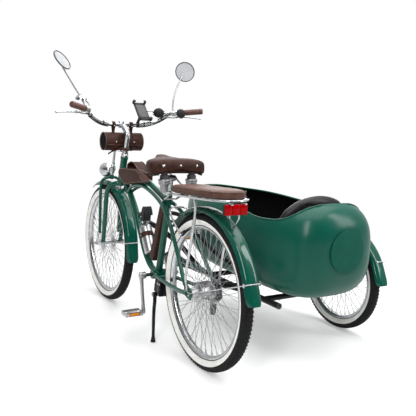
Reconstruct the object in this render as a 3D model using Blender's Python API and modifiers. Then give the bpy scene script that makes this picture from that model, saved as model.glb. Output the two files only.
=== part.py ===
"""Cruiser bicycle with a sidecar, as an assembly of solids in metres, +Z up.

Every place is given in the vehicle's own frame: +X forward, +Y to the rider's left, and the
origin on the floor below the rear axle. One parent empty then puts the origin of the whole
vehicle under the middle of its box.
"""
from math import acos, atan2, cos, hypot, pi, radians, sin

import bmesh
import bpy
from mathutils import Matrix, Vector

for old in list(bpy.data.objects):
    bpy.data.objects.remove(old, do_unlink=True)

# Clearances
GAP = 0.0003              # between pieces that touch
BORE_GAP = 0.0006         # around a shaft or a bar in its bore

# Bicycle wheels, 26 inch
WHEELBASE = 1.094
TYRE_RADIUS = 0.333
TYRE_HALF_WIDTH = 0.027
TYRE_HEIGHT = 0.0525      # from the rim's seat to the tread
RIM_RADIUS = TYRE_RADIUS - TYRE_HEIGHT
RIM_DEPTH = 0.016
RIM_HALF_WIDTH = 0.0150
SPOKES = 24
WHEEL_STEPS = 40
SPOKE_RADIUS = 0.0011
FLANGE_THICKNESS = 0.0034
LACING_OFFSET = 0.0034    # between the spokes that cross on one side
AXLE_RADIUS = 0.0048

# Front hub and rear hub
FRONT_FLANGE_Y = 0.032
FRONT_FLANGE_RADIUS = 0.024
FRONT_HUB_HALF = 0.058
REAR_FLANGE_Y = 0.030
REAR_FLANGE_RADIUS = 0.036
REAR_HUB_HALF = 0.0655
REAR_HUB_RADIUS = 0.021
SPROCKET_RADIUS = 0.042
SPROCKET_THICKNESS = 0.0030

# Sidecar wheel, 20 inch
SIDE_WHEEL_X = 0.139
SIDE_WHEEL_Y = -0.919
SIDE_TYRE_RADIUS = 0.260
SIDE_RIM_RADIUS = SIDE_TYRE_RADIUS - TYRE_HEIGHT
SIDE_HUB_HALF = 0.040

# Steering
HEAD_ANGLE = radians(74.0)
HEAD_X = 0.8917           # where the steering axis crosses HEAD_Z
HEAD_Z = 0.800
HEAD_TUBE_LOW = -0.100    # along the steering axis, from HEAD_Z
HEAD_TUBE_HIGH = 0.046
HEAD_TUBE_RADIUS = 0.0190
STEERER_RADIUS = 0.0140
HEADSET_HEIGHT = 0.016
HEADSET_RADIUS = 0.0185
QUILL_RADIUS = 0.0111
BRACKET_COLLAR = 0.0090    # height of the spring bracket's collar
QUILL_TOP = 0.172

# Frame tubes
SEAT_TUBE_RADIUS = 0.0156
DOWN_TUBE_RADIUS = 0.0160
TOP_TUBE_RADIUS = 0.0145
TWIN_TUBE_RADIUS = 0.0092
TWIN_TUBE_Y = 0.029
CHAIN_STAY_RADIUS = 0.0092
BRACKET_X = 0.435
BRACKET_Z = 0.305
BRACKET_RADIUS = 0.0225
BRACKET_HALF = 0.036
DROPOUT_Y = 0.0710
DROPOUT_THICKNESS = 0.0060
SEAT_TOP_X = 0.354
SEAT_TOP_Z = 0.700

# Fork
LEG_RADIUS = 0.0130
STRUT_RADIUS = 0.0085
ROCKER_Y = 0.0680
ROCKER_THICKNESS = 0.0040
SPRING_RADIUS = 0.0135
SPRING_ROD_RADIUS = 0.0070

# Mudguards
GUARD_CLEARANCE = 0.0280   # between a tyre and its mudguard
GUARD_RADIUS = TYRE_RADIUS + GUARD_CLEARANCE
GUARD_HALF_WIDTH = 0.0350
GUARD_DEPTH = 0.0170
GUARD_THICKNESS = 0.0016
GUARD_FLARE = 0.0120
SIDE_GUARD_RADIUS = SIDE_TYRE_RADIUS + GUARD_CLEARANCE + 0.0020
STAY_RADIUS = 0.0022

# Handlebar
BAR_RADIUS = 0.0111
BAR_X = 0.920
BAR_Z = 1.013
CLAMP_RADIUS = 0.0190
CLAMP_HALF = 0.0190
GRIP_START = (0.770, 0.265, 1.086)
GRIP_END = (0.680, 0.357, 1.100)
GRIP_RADIUS = 0.0158
LEVER_BALL_RADIUS = 0.0060
LEVER_TIP_Y = 0.4030
MIRROR_RADIUS = 0.0550
MIRROR_DEPTH = 0.0120
MIRROR_X = 0.873
MIRROR_Y = 0.348
MIRROR_Z = 1.316

# Cranks
CRANK_LENGTH = 0.170
CRANK_ANGLE = radians(-102.0)   # of the left arm, from +X up
CRANK_Y = 0.0920
CRANK_THICKNESS = 0.0130
CRANK_AXLE_RADIUS = 0.0085
CHAIN_Y = -0.0545
CHAINRING_RADIUS = 0.0830
CHAIN_HALF_HEIGHT = 0.0040
CHAIN_HALF_WIDTH = 0.0035
CHAIN_RUN = 0.0010        # between the chain and the wheels that it runs on
PEDAL_LENGTH = 0.0900
PEDAL_WIDTH = 0.0560
PEDAL_HEIGHT = 0.0200
PEDAL_PIN_RADIUS = 0.0060

# Kickstand
STAND_X = 0.372
STAND_Z = 0.224
STAND_Y = 0.0480
STAND_RADIUS = 0.0080
STAND_PIN_RADIUS = 0.0050
STAND_FOOT_Z = 0.0015

# Saddle, carrier and bags
SADDLE_HALF_WIDTH = 0.140
SADDLE_REAR_X = 0.268
SADDLE_NOSE_X = 0.500
SADDLE_TOP_Z = 0.878
SADDLE_DEPTH = 0.052
SEAT_POST_RADIUS = 0.0130
RACK_ROD_RADIUS = 0.0048
RACK_HALF_WIDTH = 0.088
RACK_FRONT_X = 0.225
RACK_REAR_X = -0.252
RACK_Z = 0.738
CUSHION_THICKNESS = 0.036
BAG_RADIUS = 0.0495
BAG_HALF_LENGTH = 0.1085
BAG_X = 0.9215
BAG_Z = 0.9220
TANK_HALF_WIDTH = 0.0560
BATTERY_HALF_WIDTH = 0.0180
BATTERY_DEPTH = 0.0340
BOTTLE_RADIUS = 0.0310
BOTTLE_LENGTH = 0.1550
LOCK_RADIUS = 0.0360
LOCK_LENGTH = 0.0850

# Sidecar body
TUB_MIDDLE_X = 0.415
TUB_HALF_LENGTH = 0.665
TUB_Y = -0.560
TUB_HALF_WIDTH = 0.268
TUB_MIDDLE_Z = 0.500
TUB_HALF_HEIGHT = 0.232
TUB_WALL = 0.0040
BADGE_RADIUS = 0.095

# Sidecar chassis
RAIL_RADIUS = 0.0140
LEFT_RAIL_Y = -0.330
RIGHT_RAIL_Y = -0.842

# Places that follow from the sizes above
LEG_Y = ROCKER_Y - ROCKER_THICKNESS / 2 - GAP - LEG_RADIUS
STRUT_Y = ROCKER_Y - ROCKER_THICKNESS / 2 - GAP - STRUT_RADIUS
REAR_AXLE_Z = TYRE_RADIUS
TILT = pi / 2 - HEAD_ANGLE
AXIS = Vector((-sin(TILT), 0.0, cos(TILT)))
GUARD_TAIL = radians(173.5)
LEFT_END = LEVER_TIP_Y + LEVER_BALL_RADIUS
SIDE_AXLE_END = SIDE_WHEEL_Y - 0.058
FRONT_END = WHEELBASE + TYRE_RADIUS
REAR_END = (GUARD_RADIUS + GUARD_FLARE) * cos(GUARD_TAIL)
MIDDLE = Vector(((FRONT_END + REAR_END) / 2, (LEFT_END + SIDE_AXLE_END) / 2, 0.0))


def on_axis(height, forward=0.0):
    """A point beside the steering axis, by its height along the axis."""
    side = Vector((cos(TILT), 0.0, sin(TILT)))
    return Vector((HEAD_X, 0.0, HEAD_Z)) + AXIS * height + side * forward


# Collections
parts = bpy.data.collections.new("bicycle_with_sidecar")
bpy.context.scene.collection.children.link(parts)
helpers = bpy.data.collections.new("helpers")
bpy.context.scene.collection.children.link(helpers)
frames = {}


def joint_frame(name, place, parent=None, rotation=(0.0, 0.0, 0.0)):
    """An empty on a joint's axis. Pieces ride on it but keep places in the vehicle's frame."""
    empty = bpy.data.objects.new(name, None)
    parts.objects.link(empty)
    empty.empty_display_size = 0.05
    empty.location = place
    empty.rotation_euler = rotation
    basis = Matrix.LocRotScale(Vector(place), Matrix.Rotation(rotation[1], 3, "Y"), None)
    if parent is not None:
        empty.parent = parent
        empty.matrix_parent_inverse = frames[parent.name].inverted()
    frames[name] = basis
    return empty


vehicle = bpy.data.objects.new("vehicle", None)
parts.objects.link(vehicle)
vehicle.location = -MIDDLE
frames["vehicle"] = Matrix.Identity(4)
steering = joint_frame("steering_axis", (HEAD_X, 0.0, HEAD_Z), vehicle, (0.0, -TILT, 0.0))
front_axle = joint_frame("front_axle_line", (WHEELBASE, 0.0, REAR_AXLE_Z), steering)
rear_axle = joint_frame("rear_axle_line", (0.0, 0.0, REAR_AXLE_Z), vehicle)
side_axle = joint_frame("side_axle_line", (SIDE_WHEEL_X, SIDE_WHEEL_Y, SIDE_TYRE_RADIUS), vehicle)
crank_axis = joint_frame("crank_axis", (BRACKET_X, 0.0, BRACKET_Z), vehicle)
stand_axis = joint_frame("stand_axis", (STAND_X, STAND_Y, STAND_Z), vehicle)

materials = {}


def material(name, colour, roughness, metallic):
    """One Principled material, made once and shared by its pieces."""
    if name not in materials:
        made = bpy.data.materials.new(name)
        made.use_nodes = True
        shader = made.node_tree.nodes["Principled BSDF"]
        shader.inputs["Base Color"].default_value = (*colour, 1.0)
        shader.inputs["Roughness"].default_value = roughness
        shader.inputs["Metallic"].default_value = metallic
        made.diffuse_color = (*colour, 1.0)
        materials[name] = made
    return materials[name]


GREEN = ("green_paint", (0.010, 0.150, 0.085), 0.22, 0.0)
CHROME = ("chrome", (0.75, 0.76, 0.77), 0.12, 1.0)
STEEL = ("steel", (0.55, 0.56, 0.57), 0.35, 1.0)
TYRE = ("tyre_rubber", (0.020, 0.020, 0.022), 0.75, 0.0)
BLACK = ("black_paint", (0.018, 0.018, 0.020), 0.40, 0.0)
PLASTIC = ("black_plastic", (0.025, 0.025, 0.028), 0.50, 0.0)
LEATHER = ("brown_leather", (0.085, 0.040, 0.028), 0.50, 0.0)
VINYL = ("black_vinyl", (0.015, 0.015, 0.016), 0.55, 0.0)
RED = ("red_reflector", (0.600, 0.010, 0.015), 0.20, 0.0)


def place(obj, parent, paint=None):
    """Put a piece in the vehicle's collection, on its joint's empty, with its material."""
    for collection in list(obj.users_collection):
        collection.objects.unlink(obj)
    parts.objects.link(obj)
    obj.parent = parent
    obj.matrix_parent_inverse = frames[parent.name].inverted()
    if paint is not None:
        obj.data.materials.clear()
        obj.data.materials.append(material(*paint))
    return obj


def direction_rotation(direction):
    """The rotation that turns +Z to a direction."""
    return Vector(direction).to_track_quat("Z", "Y").to_euler()


def mesh_object(name, bm):
    """An object from a bmesh, with its faces outward."""
    bmesh.ops.recalc_face_normals(bm, faces=bm.faces[:])
    mesh = bpy.data.meshes.new(name)
    bm.to_mesh(mesh)
    bm.free()
    obj = bpy.data.objects.new(name, mesh)
    helpers.objects.link(obj)
    return obj


def cylinder(name, centre, direction, radius, length, sides=10, end_radius=None):
    """A cylinder or cone about a centre, along a direction."""
    bm = bmesh.new()
    top = radius if end_radius is None else end_radius
    bmesh.ops.create_cone(bm, cap_ends=True, segments=sides, radius1=radius, radius2=top, depth=length)
    obj = mesh_object(name, bm)
    obj.location = centre
    obj.rotation_euler = direction_rotation(direction)
    return obj


def rod(name, start, end, radius, sides=6):
    """A straight rod from one point to another."""
    start, end = Vector(start), Vector(end)
    return cylinder(name, (start + end) / 2, end - start, radius, (end - start).length, sides)


def block(name, centre, size, rotation=(0.0, 0.0, 0.0), bevel=0.0):
    """A box, with rounded edges where bevel is set."""
    bm = bmesh.new()
    bmesh.ops.create_cube(bm, size=1.0)
    bmesh.ops.scale(bm, vec=Vector(size), verts=bm.verts)
    obj = mesh_object(name, bm)
    obj.location = centre
    obj.rotation_euler = rotation
    if bevel > 0.0:
        rounding = obj.modifiers.new("rounded edges", "BEVEL")
        rounding.width = bevel
        rounding.segments = 1
        rounding.limit_method = "ANGLE"
    return obj


def ball(name, centre, radius, scale=(1.0, 1.0, 1.0), rings=6):
    """A sphere or an ellipsoid."""
    bm = bmesh.new()
    bmesh.ops.create_uvsphere(bm, u_segments=2 * rings, v_segments=rings, radius=radius)
    bmesh.ops.scale(bm, vec=Vector(scale), verts=bm.verts)
    obj = mesh_object(name, bm)
    obj.location = centre
    return obj


def turned(name, centre, direction, profile, steps=16, ring=False):
    """A turned piece. The profile has (radius, height) pairs, down its outer side."""
    mesh = bpy.data.meshes.new(name)
    points = [(radius, 0.0, height) for radius, height in profile]
    edges = [(i, i + 1) for i in range(len(points) - 1)]
    if ring:
        edges.append((len(points) - 1, 0))
    mesh.from_pydata(points, edges, [])
    obj = bpy.data.objects.new(name, mesh)
    helpers.objects.link(obj)
    obj.location = centre
    obj.rotation_euler = direction_rotation(direction)
    spin = obj.modifiers.new("turn", "SCREW")
    spin.steps = steps
    spin.render_steps = steps
    spin.use_merge_vertices = True
    spin.merge_threshold = 0.00002
    return obj


def curve_solid(name, curve):
    """A mesh object from a curve, welded at its caps."""
    carrier = bpy.data.objects.new(name + "_line", curve)
    helpers.objects.link(carrier)
    bpy.context.view_layer.update()
    graph = bpy.context.evaluated_depsgraph_get()
    mesh = bpy.data.meshes.new_from_object(carrier.evaluated_get(graph))
    mesh.name = name
    bm = bmesh.new()
    bm.from_mesh(mesh)
    bmesh.ops.remove_doubles(bm, verts=bm.verts, dist=0.00001)
    bmesh.ops.recalc_face_normals(bm, faces=bm.faces[:])
    bm.to_mesh(mesh)
    bm.free()
    mesh.materials.clear()
    obj = bpy.data.objects.new(name, mesh)
    helpers.objects.link(obj)
    obj.matrix_world = carrier.matrix_world.copy()
    bpy.data.objects.remove(carrier, do_unlink=True)
    bpy.data.curves.remove(curve)
    return obj


def tube(name, points, radius, closed=False, smooth=2, sides=1):
    """A bent tube through points. smooth is the number of steps between two points."""
    curve = bpy.data.curves.new(name, "CURVE")
    curve.dimensions = "3D"
    curve.bevel_depth = radius
    curve.bevel_resolution = sides
    curve.use_fill_caps = True
    curve.resolution_u = smooth
    if smooth > 1:
        line = curve.splines.new("BEZIER")
        line.bezier_points.add(len(points) - 1)
        for knot, point in zip(line.bezier_points, points):
            knot.co = point
            knot.handle_left_type = "AUTO"
            knot.handle_right_type = "AUTO"
    else:
        line = curve.splines.new("POLY")
        line.points.add(len(points) - 1)
        for knot, point in zip(line.points, points):
            knot.co = (*point, 1.0)
    line.use_cyclic_u = closed
    return curve_solid(name, curve)


def plate(name, outline, thickness, centre=(0.0, 0.0, 0.0), direction=(0.0, 0.0, 1.0), holes=()):
    """A flat plate from its outline, across a direction."""
    curve = bpy.data.curves.new(name, "CURVE")
    curve.dimensions = "2D"
    curve.fill_mode = "BOTH"
    curve.extrude = thickness / 2
    for loop in (outline, *holes):
        line = curve.splines.new("POLY")
        line.points.add(len(loop) - 1)
        for knot, point in zip(line.points, loop):
            knot.co = (point[0], point[1], 0.0, 1.0)
        line.use_cyclic_u = True
    obj = curve_solid(name, curve)
    obj.location = centre
    if Vector(direction).z < 0.999:
        obj.rotation_euler = direction_rotation(direction)
    return obj


def side_plate(name, outline, thickness, y):
    """A flat plate that stands along the vehicle, its outline in (x, z)."""
    obj = plate(name, outline, thickness)
    obj.location = (0.0, y, 0.0)
    obj.rotation_euler = (pi / 2, 0.0, 0.0)
    return obj


def combine(body, pieces, operation, solver="EXACT"):
    """Boolean each piece with a body. The pieces stay as hidden helpers."""
    for piece in pieces:
        piece.hide_render = True
        piece.display_type = "WIRE"
        piece.parent = body.parent
        if body.parent is not None:
            piece.matrix_parent_inverse = frames[body.parent.name].inverted()
        step = body.modifiers.new(operation.lower(), "BOOLEAN")
        step.operation = operation
        step.solver = solver
        step.object = piece
    return body


def union(body, *pieces):
    """Join pieces to a body."""
    return combine(body, pieces, "UNION")


def cut(body, *pieces):
    """Cut pieces out of a body."""
    return combine(body, pieces, "DIFFERENCE")


def both_sides(points):
    """A line from its middle to the left, mirrored into one from right to left."""
    right = [(x, -y, z) for x, y, z in reversed(points)]
    if abs(points[0][1]) < 1e-9:
        right = right[:-1]
    return right + list(points)


def arc(centre, radius, start, end, steps):
    """Points (x, z) on an arc, both ends included."""
    turns = [start + (end - start) * i / steps for i in range(steps + 1)]
    return [(centre[0] + radius * cos(a), centre[1] + radius * sin(a)) for a in turns]


# Wheels

def spokes(name, flange_y, flange_radius, rim_radius):
    """All spokes of a wheel as one mesh about the origin, laced three-cross."""
    bm = bmesh.new()
    for number in range(SPOKES):
        side = 1 if number % 2 == 0 else -1
        leading = 1 if (number // 2) % 2 == 0 else -1
        at_rim = 2 * pi * number / SPOKES
        at_hub = at_rim + leading * radians(60.0)
        hub_y = side * flange_y + leading * LACING_OFFSET
        low = Vector(((flange_radius - 0.003) * cos(at_hub), hub_y, (flange_radius - 0.003) * sin(at_hub)))
        high = Vector((rim_radius * cos(at_rim), side * 0.003, rim_radius * sin(at_rim)))
        line = high - low
        pose = Matrix.Translation((low + high) / 2) @ line.to_track_quat("Z", "Y").to_matrix().to_4x4()
        bmesh.ops.create_cone(bm, cap_ends=True, segments=3, radius1=SPOKE_RADIUS,
                              radius2=SPOKE_RADIUS, depth=line.length, matrix=pose)
    return mesh_object(name, bm)


def hub_profile(half, barrel, flange_y, flange_radius):
    """Half section of a hub shell with its bore, as (radius, height) pairs."""
    bore = AXLE_RADIUS + BORE_GAP
    thick = FLANGE_THICKNESS + 2 * LACING_OFFSET
    upper = [(bore, half), (barrel, half), (barrel, flange_y + thick / 2 + 0.002),
             (flange_radius, flange_y + thick / 2), (flange_radius, flange_y - thick / 2),
             (barrel, flange_y - thick / 2 - 0.002)]
    lower = [(radius, -height) for radius, height in reversed(upper)]
    return upper + lower


def wire_wheel(name, axle, centre, rim_radius, flange_y, flange_radius, half, barrel):
    """A rim, a hub and their spokes, as one piece."""
    outer = rim_radius
    inner = rim_radius - RIM_DEPTH
    section = [(outer, RIM_HALF_WIDTH), (outer, -RIM_HALF_WIDTH), (inner, -RIM_HALF_WIDTH * 0.6),
               (inner, RIM_HALF_WIDTH * 0.6)]
    across = (0.0, 1.0, 0.0)
    wheel = place(turned(name, centre, across, section, WHEEL_STEPS, ring=True), axle, CHROME)
    hub = turned(name + "_hub", centre, across, hub_profile(half, barrel, flange_y, flange_radius), 12, True)
    laced = spokes(name + "_spokes", flange_y, flange_radius, inner + RIM_DEPTH * 0.4)
    laced.location = centre
    union(wheel, laced, hub)
    return wheel


def tyre(name, axle, centre, outer_radius, rim_radius, half_width):
    """A balloon tyre on its rim."""
    seat = rim_radius + GAP
    rise = outer_radius - seat
    left = [(outer_radius, -0.30 * half_width), (outer_radius - 0.20 * rise, -0.82 * half_width),
            (outer_radius - 0.50 * rise, -half_width), (seat, -0.50 * half_width)]
    section = [(radius, -height) for radius, height in reversed(left)] + left
    return place(turned(name, centre, (0.0, 1.0, 0.0), section, WHEEL_STEPS, ring=True), axle, TYRE)


front_centre = (WHEELBASE, 0.0, REAR_AXLE_Z)
rear_centre = (0.0, 0.0, REAR_AXLE_Z)
side_centre = (SIDE_WHEEL_X, SIDE_WHEEL_Y, SIDE_TYRE_RADIUS)

tyre("front_tyre", front_axle, front_centre, TYRE_RADIUS, RIM_RADIUS, TYRE_HALF_WIDTH)
tyre("rear_tyre", rear_axle, rear_centre, TYRE_RADIUS, RIM_RADIUS, TYRE_HALF_WIDTH)
tyre("sidecar_tyre", side_axle, side_centre, SIDE_TYRE_RADIUS, SIDE_RIM_RADIUS, TYRE_HALF_WIDTH)
wire_wheel("front_wheel", front_axle, front_centre, RIM_RADIUS, FRONT_FLANGE_Y,
           FRONT_FLANGE_RADIUS, FRONT_HUB_HALF, 0.013)
rear_wheel = wire_wheel("rear_wheel", rear_axle, rear_centre, RIM_RADIUS, REAR_FLANGE_Y,
                        REAR_FLANGE_RADIUS, REAR_HUB_HALF, REAR_HUB_RADIUS)
wire_wheel("sidecar_wheel", side_axle, side_centre, SIDE_RIM_RADIUS, FRONT_FLANGE_Y - 0.003,
           FRONT_FLANGE_RADIUS, SIDE_HUB_HALF, 0.013)

# Rear sprocket: a disc on the hub's right end
sprocket = cylinder("rear_sprocket", (0.0, CHAIN_Y, REAR_AXLE_Z), (0, 1, 0), SPROCKET_RADIUS,
                    SPROCKET_THICKNESS, 24)
sprocket_bore = cylinder("sprocket_bore", rear_centre, (0, 1, 0), AXLE_RADIUS + BORE_GAP, 0.200, 12)
union(rear_wheel, sprocket)
cut(rear_wheel, sprocket_bore)

# Main frame: the tubes are brazed into one piece

REAR_AXLE = Vector((0.0, 0.0, REAR_AXLE_Z))
TWIN_LINE = [(0.795, 0.0100, 0.664), (0.743, TWIN_TUBE_Y * 0.7, 0.692), (0.670, TWIN_TUBE_Y, 0.711),
             (0.597, TWIN_TUBE_Y, 0.719), (0.492, TWIN_TUBE_Y, 0.703), (0.383, TWIN_TUBE_Y + 0.001, 0.666),
             (0.310, 0.040, 0.634), (0.227, 0.050, 0.570), (0.131, 0.061, 0.463), (0.052, 0.070, 0.368),
             (0.029, DROPOUT_Y, 0.351)]
CHAIN_STAY_LINE = [(BRACKET_X - 0.005, 0.024, BRACKET_Z + 0.002), (0.381, 0.034, 0.309),
                   (0.330, 0.0400, 0.309), (0.209, 0.053, 0.310), (0.079, 0.066, 0.320),
                   (0.029, DROPOUT_Y - 0.001, 0.3252)]
DOWN_LINE = [(0.905, 0.0, 0.730), (0.865, 0.0, 0.712), (0.811, 0.0, 0.670), (0.715, 0.0, 0.571),
             (0.645, 0.0, 0.467), (0.580, 0.0, 0.375), (0.512, 0.0, 0.323), (BRACKET_X + 0.006, 0.0, BRACKET_Z + 0.003)]
TOP_LINE = [(0.897, 0.0, 0.770), (0.820, 0.0, 0.772), (0.700, 0.0, 0.763), (0.604, 0.0, 0.745),
            (0.478, 0.0, 0.708), (0.360, 0.0, 0.668)]
SEAT_LINE = [(BRACKET_X - 0.002, 0.0, BRACKET_Z + 0.009), (0.389, 0.0, 0.505), (SEAT_TOP_X, 0.0, SEAT_TOP_Z)]
STAY_BRIDGE_ANGLE = radians(45.0)
BRIDGE_RADIUS = 0.0070


def mirrored(points):
    """The same line on the right side."""
    return [(x, -y, z) for x, y, z in points]


def guard_point(centre, angle, radius):
    """A point (x, z) at an angle about a wheel."""
    return centre[0] + radius * cos(angle), centre[2] + radius * sin(angle)


def main_frame():
    frame = place(tube("main_frame", DOWN_LINE, DOWN_TUBE_RADIUS, smooth=1, sides=3), vehicle, GREEN)
    head = rod("head_tube", on_axis(HEAD_TUBE_LOW), on_axis(HEAD_TUBE_HIGH), HEAD_TUBE_RADIUS, 14)
    seat = tube("seat_tube", SEAT_LINE, SEAT_TUBE_RADIUS, smooth=1, sides=3)
    top = tube("top_tube", TOP_LINE, TOP_TUBE_RADIUS, smooth=1, sides=2)
    shell = cylinder("bracket_shell", (BRACKET_X, 0.0, BRACKET_Z), (0, 1, 0), BRACKET_RADIUS,
                     2 * BRACKET_HALF, 14)
    union(frame, head, seat, top, shell)
    for side, flip in (("left", list), ("right", mirrored)):
        twin = tube("twin_tube_" + side, flip(TWIN_LINE), TWIN_TUBE_RADIUS, smooth=1, sides=2)
        stay = tube("chain_stay_" + side, flip(CHAIN_STAY_LINE), CHAIN_STAY_RADIUS, smooth=1, sides=2)
        sign = 1 if side == "left" else -1
        outline = [(-0.014, -0.012), (-0.006, -0.026), (0.012, -0.026), (0.044, -0.016), (0.050, 0.004),
                   (0.046, 0.036), (0.026, 0.030), (-0.008, 0.014), (-0.015, 0.002)]
        end = side_plate("dropout_" + side, outline, DROPOUT_THICKNESS, sign * DROPOUT_Y)
        end.location.z = REAR_AXLE_Z
        union(frame, twin, stay, end)
    lug = cylinder("seat_lug", (0.3685, 0.0, 0.6605), (0, 1, 0), 0.0105, 2 * TWIN_TUBE_Y - 0.003, 12)
    reach = GUARD_RADIUS + GAP + BRIDGE_RADIUS
    bridge_x, bridge_z = guard_point(rear_centre, STAY_BRIDGE_ANGLE, reach)
    stay_bridge = cylinder("stay_bridge", (bridge_x, 0.0, bridge_z), (0, 1, 0), BRIDGE_RADIUS, 0.089, 10)
    chain_bridge = cylinder("chain_stay_bridge", (0.3623, 0.0, 0.3085), (0, 1, 0), 0.0068, 0.069, 10)
    union(frame, lug, stay_bridge, chain_bridge)
    bore = rod("steerer_bore", on_axis(HEAD_TUBE_LOW - 0.03), on_axis(HEAD_TUBE_HIGH + 0.03),
               STEERER_RADIUS + BORE_GAP, 14)
    bracket_bore = cylinder("bracket_bore", (BRACKET_X, 0.0, BRACKET_Z), (0, 1, 0), CRANK_AXLE_RADIUS + BORE_GAP,
                            2 * BRACKET_HALF + 0.02, 12)
    axle_bore = cylinder("axle_bore", REAR_AXLE, (0, 1, 0), AXLE_RADIUS + BORE_GAP,
                         2 * DROPOUT_Y + 0.03, 10)
    return cut(frame, bore, bracket_bore, axle_bore)


main_frame()

# Axles, each with its nuts


def axle(name, joint, centre, left, right, nut_left, nut_right):
    """An axle along Y with a nut at each end. left and right are where the nuts begin."""
    low = Vector((centre[0], right - 0.012, centre[2]))
    high = Vector((centre[0], left + 0.012, centre[2]))
    shaft = place(rod(name, low, high, AXLE_RADIUS, 10), joint, STEEL)
    for side, y in ((1, nut_left), (-1, nut_right)):
        nut = cylinder(name + "_nut", (centre[0], y, centre[2]), (0, 1, 0), 0.0095, 0.008, 6)
        union(shaft, nut)
    return shaft


nut_y = DROPOUT_Y + DROPOUT_THICKNESS / 2 + GAP + 0.004
rear_shaft = axle("rear_axle", vehicle, rear_centre, nut_y, -nut_y, nut_y, -nut_y)
for sign in (1, -1):
    inner = REAR_HUB_HALF + GAP
    outer = DROPOUT_Y - DROPOUT_THICKNESS / 2 - GAP
    cone = cylinder("rear_cone", (0.0, sign * (inner + outer) / 2, REAR_AXLE_Z), (0, 1, 0), 0.0085,
                    outer - inner, 8)
    union(rear_shaft, cone)

# Fork: steerer, crown and two legs, with the front struts and their yoke


def fork():
    body = rod("fork", on_axis(HEAD_TUBE_LOW - 0.022), on_axis(HEAD_TUBE_HIGH + HEADSET_HEIGHT - GAP),
               STEERER_RADIUS, 14)
    place(body, steering, GREEN)
    crown = rod("fork_crown", on_axis(HEAD_TUBE_LOW - 0.020), on_axis(HEAD_TUBE_LOW - GAP),
                HEAD_TUBE_RADIUS - 0.0004, 12)
    line = both_sides([(0.926, 0.0, 0.694), (0.936, 0.026, 0.692), (0.957, 0.046, 0.678),
                       (0.985, LEG_Y, 0.645), (1.001, LEG_Y, 0.600), (1.012, LEG_Y, 0.500),
                       (1.036, LEG_Y, 0.350)])
    legs = tube("fork_legs", line, LEG_RADIUS, smooth=1, sides=2)
    hub = Vector(front_centre)
    way = (on_axis(HEAD_TUBE_LOW - 0.010) - hub).normalized()
    tab = rod("guard_tab", on_axis(HEAD_TUBE_LOW - 0.012), hub + way * (GUARD_RADIUS + GAP), 0.0080, 8)
    return union(body, crown, legs, tab)


def struts():
    line = both_sides([(1.056, 0.0, 0.714), (1.062, 0.026, 0.712), (1.070, 0.050, 0.694),
                       (1.075, STRUT_Y, 0.640), (1.077, STRUT_Y, 0.520), (1.080, STRUT_Y, 0.392)])
    body = place(tube("fork_struts", line, STRUT_RADIUS, smooth=1, sides=2), steering, GREEN)
    yoke = rod("strut_yoke", (1.052, 0.0, 0.728), (1.0565, 0.0, 0.706), 0.0120, 10)
    return union(body, yoke)


def rockers():
    """The front axle with the two rocker plates that carry it at the fork's ends."""
    offsets = [(-0.070, 0.013), (-0.064, 0.001), (-0.034, -0.011), (-0.002, -0.014), (0.013, -0.006),
               (0.012, 0.011), (-0.001, 0.033), (-0.005, 0.063), (-0.016, 0.070), (-0.025, 0.062),
               (-0.032, 0.035), (-0.058, 0.029)]
    outline = [(WHEELBASE + x, REAR_AXLE_Z + z) for x, z in offsets]
    nut = ROCKER_Y + ROCKER_THICKNESS / 2 + 0.0035
    body = axle("front_axle", steering, front_centre, nut, -nut, nut, -nut)
    for sign in (1, -1):
        union(body, side_plate("rocker_plate", outline, ROCKER_THICKNESS, sign * ROCKER_Y))
        for x, z in ((-0.0575, 0.0175), (-0.0145, 0.0600)):
            pin = cylinder("rocker_pin", (WHEELBASE + x, sign * (ROCKER_Y + 0.004), REAR_AXLE_Z + z), (0, 1, 0),
                           0.0065, 0.006, 8)
            union(body, pin)
    return body


def fork_spring():
    """The spring rod in front of the head tube, with the bracket from the headset to its top."""
    start = HEAD_TUBE_HIGH + HEADSET_HEIGHT + GAP
    middle = Vector((1.036, 0.0, 0.792))
    low = Vector((1.0505, 0.0, 0.7355))
    body = rod("fork_spring", on_axis(start), on_axis(start + BRACKET_COLLAR), 0.0165, 12)
    place(body, steering, CHROME)
    arm = block("spring_bracket", (0.956, 0.0, 0.8682), (0.143, 0.024, 0.0040))
    stem_rod = rod("spring_rod", (1.018, 0.0, 0.874), middle, SPRING_ROD_RADIUS, 8)
    collar = rod("spring_collar", middle + Vector((-0.002, 0, 0.010)), middle + Vector((0.002, 0, -0.010)),
                 0.0100, 8)
    coil = rod("spring_cylinder", middle + Vector((0.0015, 0, -0.006)), low, SPRING_RADIUS, 12)
    foot = rod("spring_foot", low + Vector((-0.002, 0, 0.008)), low + Vector((0.0015, 0, -0.0065)), 0.0085, 8)
    return union(body, arm, stem_rod, collar, coil, foot)


def headset():
    """The upper head bearing's cup on the head tube."""
    low = HEAD_TUBE_HIGH + GAP
    high = HEAD_TUBE_HIGH + HEADSET_HEIGHT - GAP
    middle = (high - low) / 2
    bore = STEERER_RADIUS + BORE_GAP
    profile = [(bore, middle), (HEADSET_RADIUS - 0.002, middle), (HEADSET_RADIUS, 0.2 * middle),
               (HEADSET_RADIUS, -0.4 * middle), (HEAD_TUBE_RADIUS, -middle), (bore, -middle)]
    return place(turned("headset", on_axis((low + high) / 2), AXIS, profile, 14, ring=True), vehicle, CHROME)


fork()
struts()
front_shaft = rockers()
fork_spring()
headset()

# Mudguards: a curved section swept about the wheel


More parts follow.
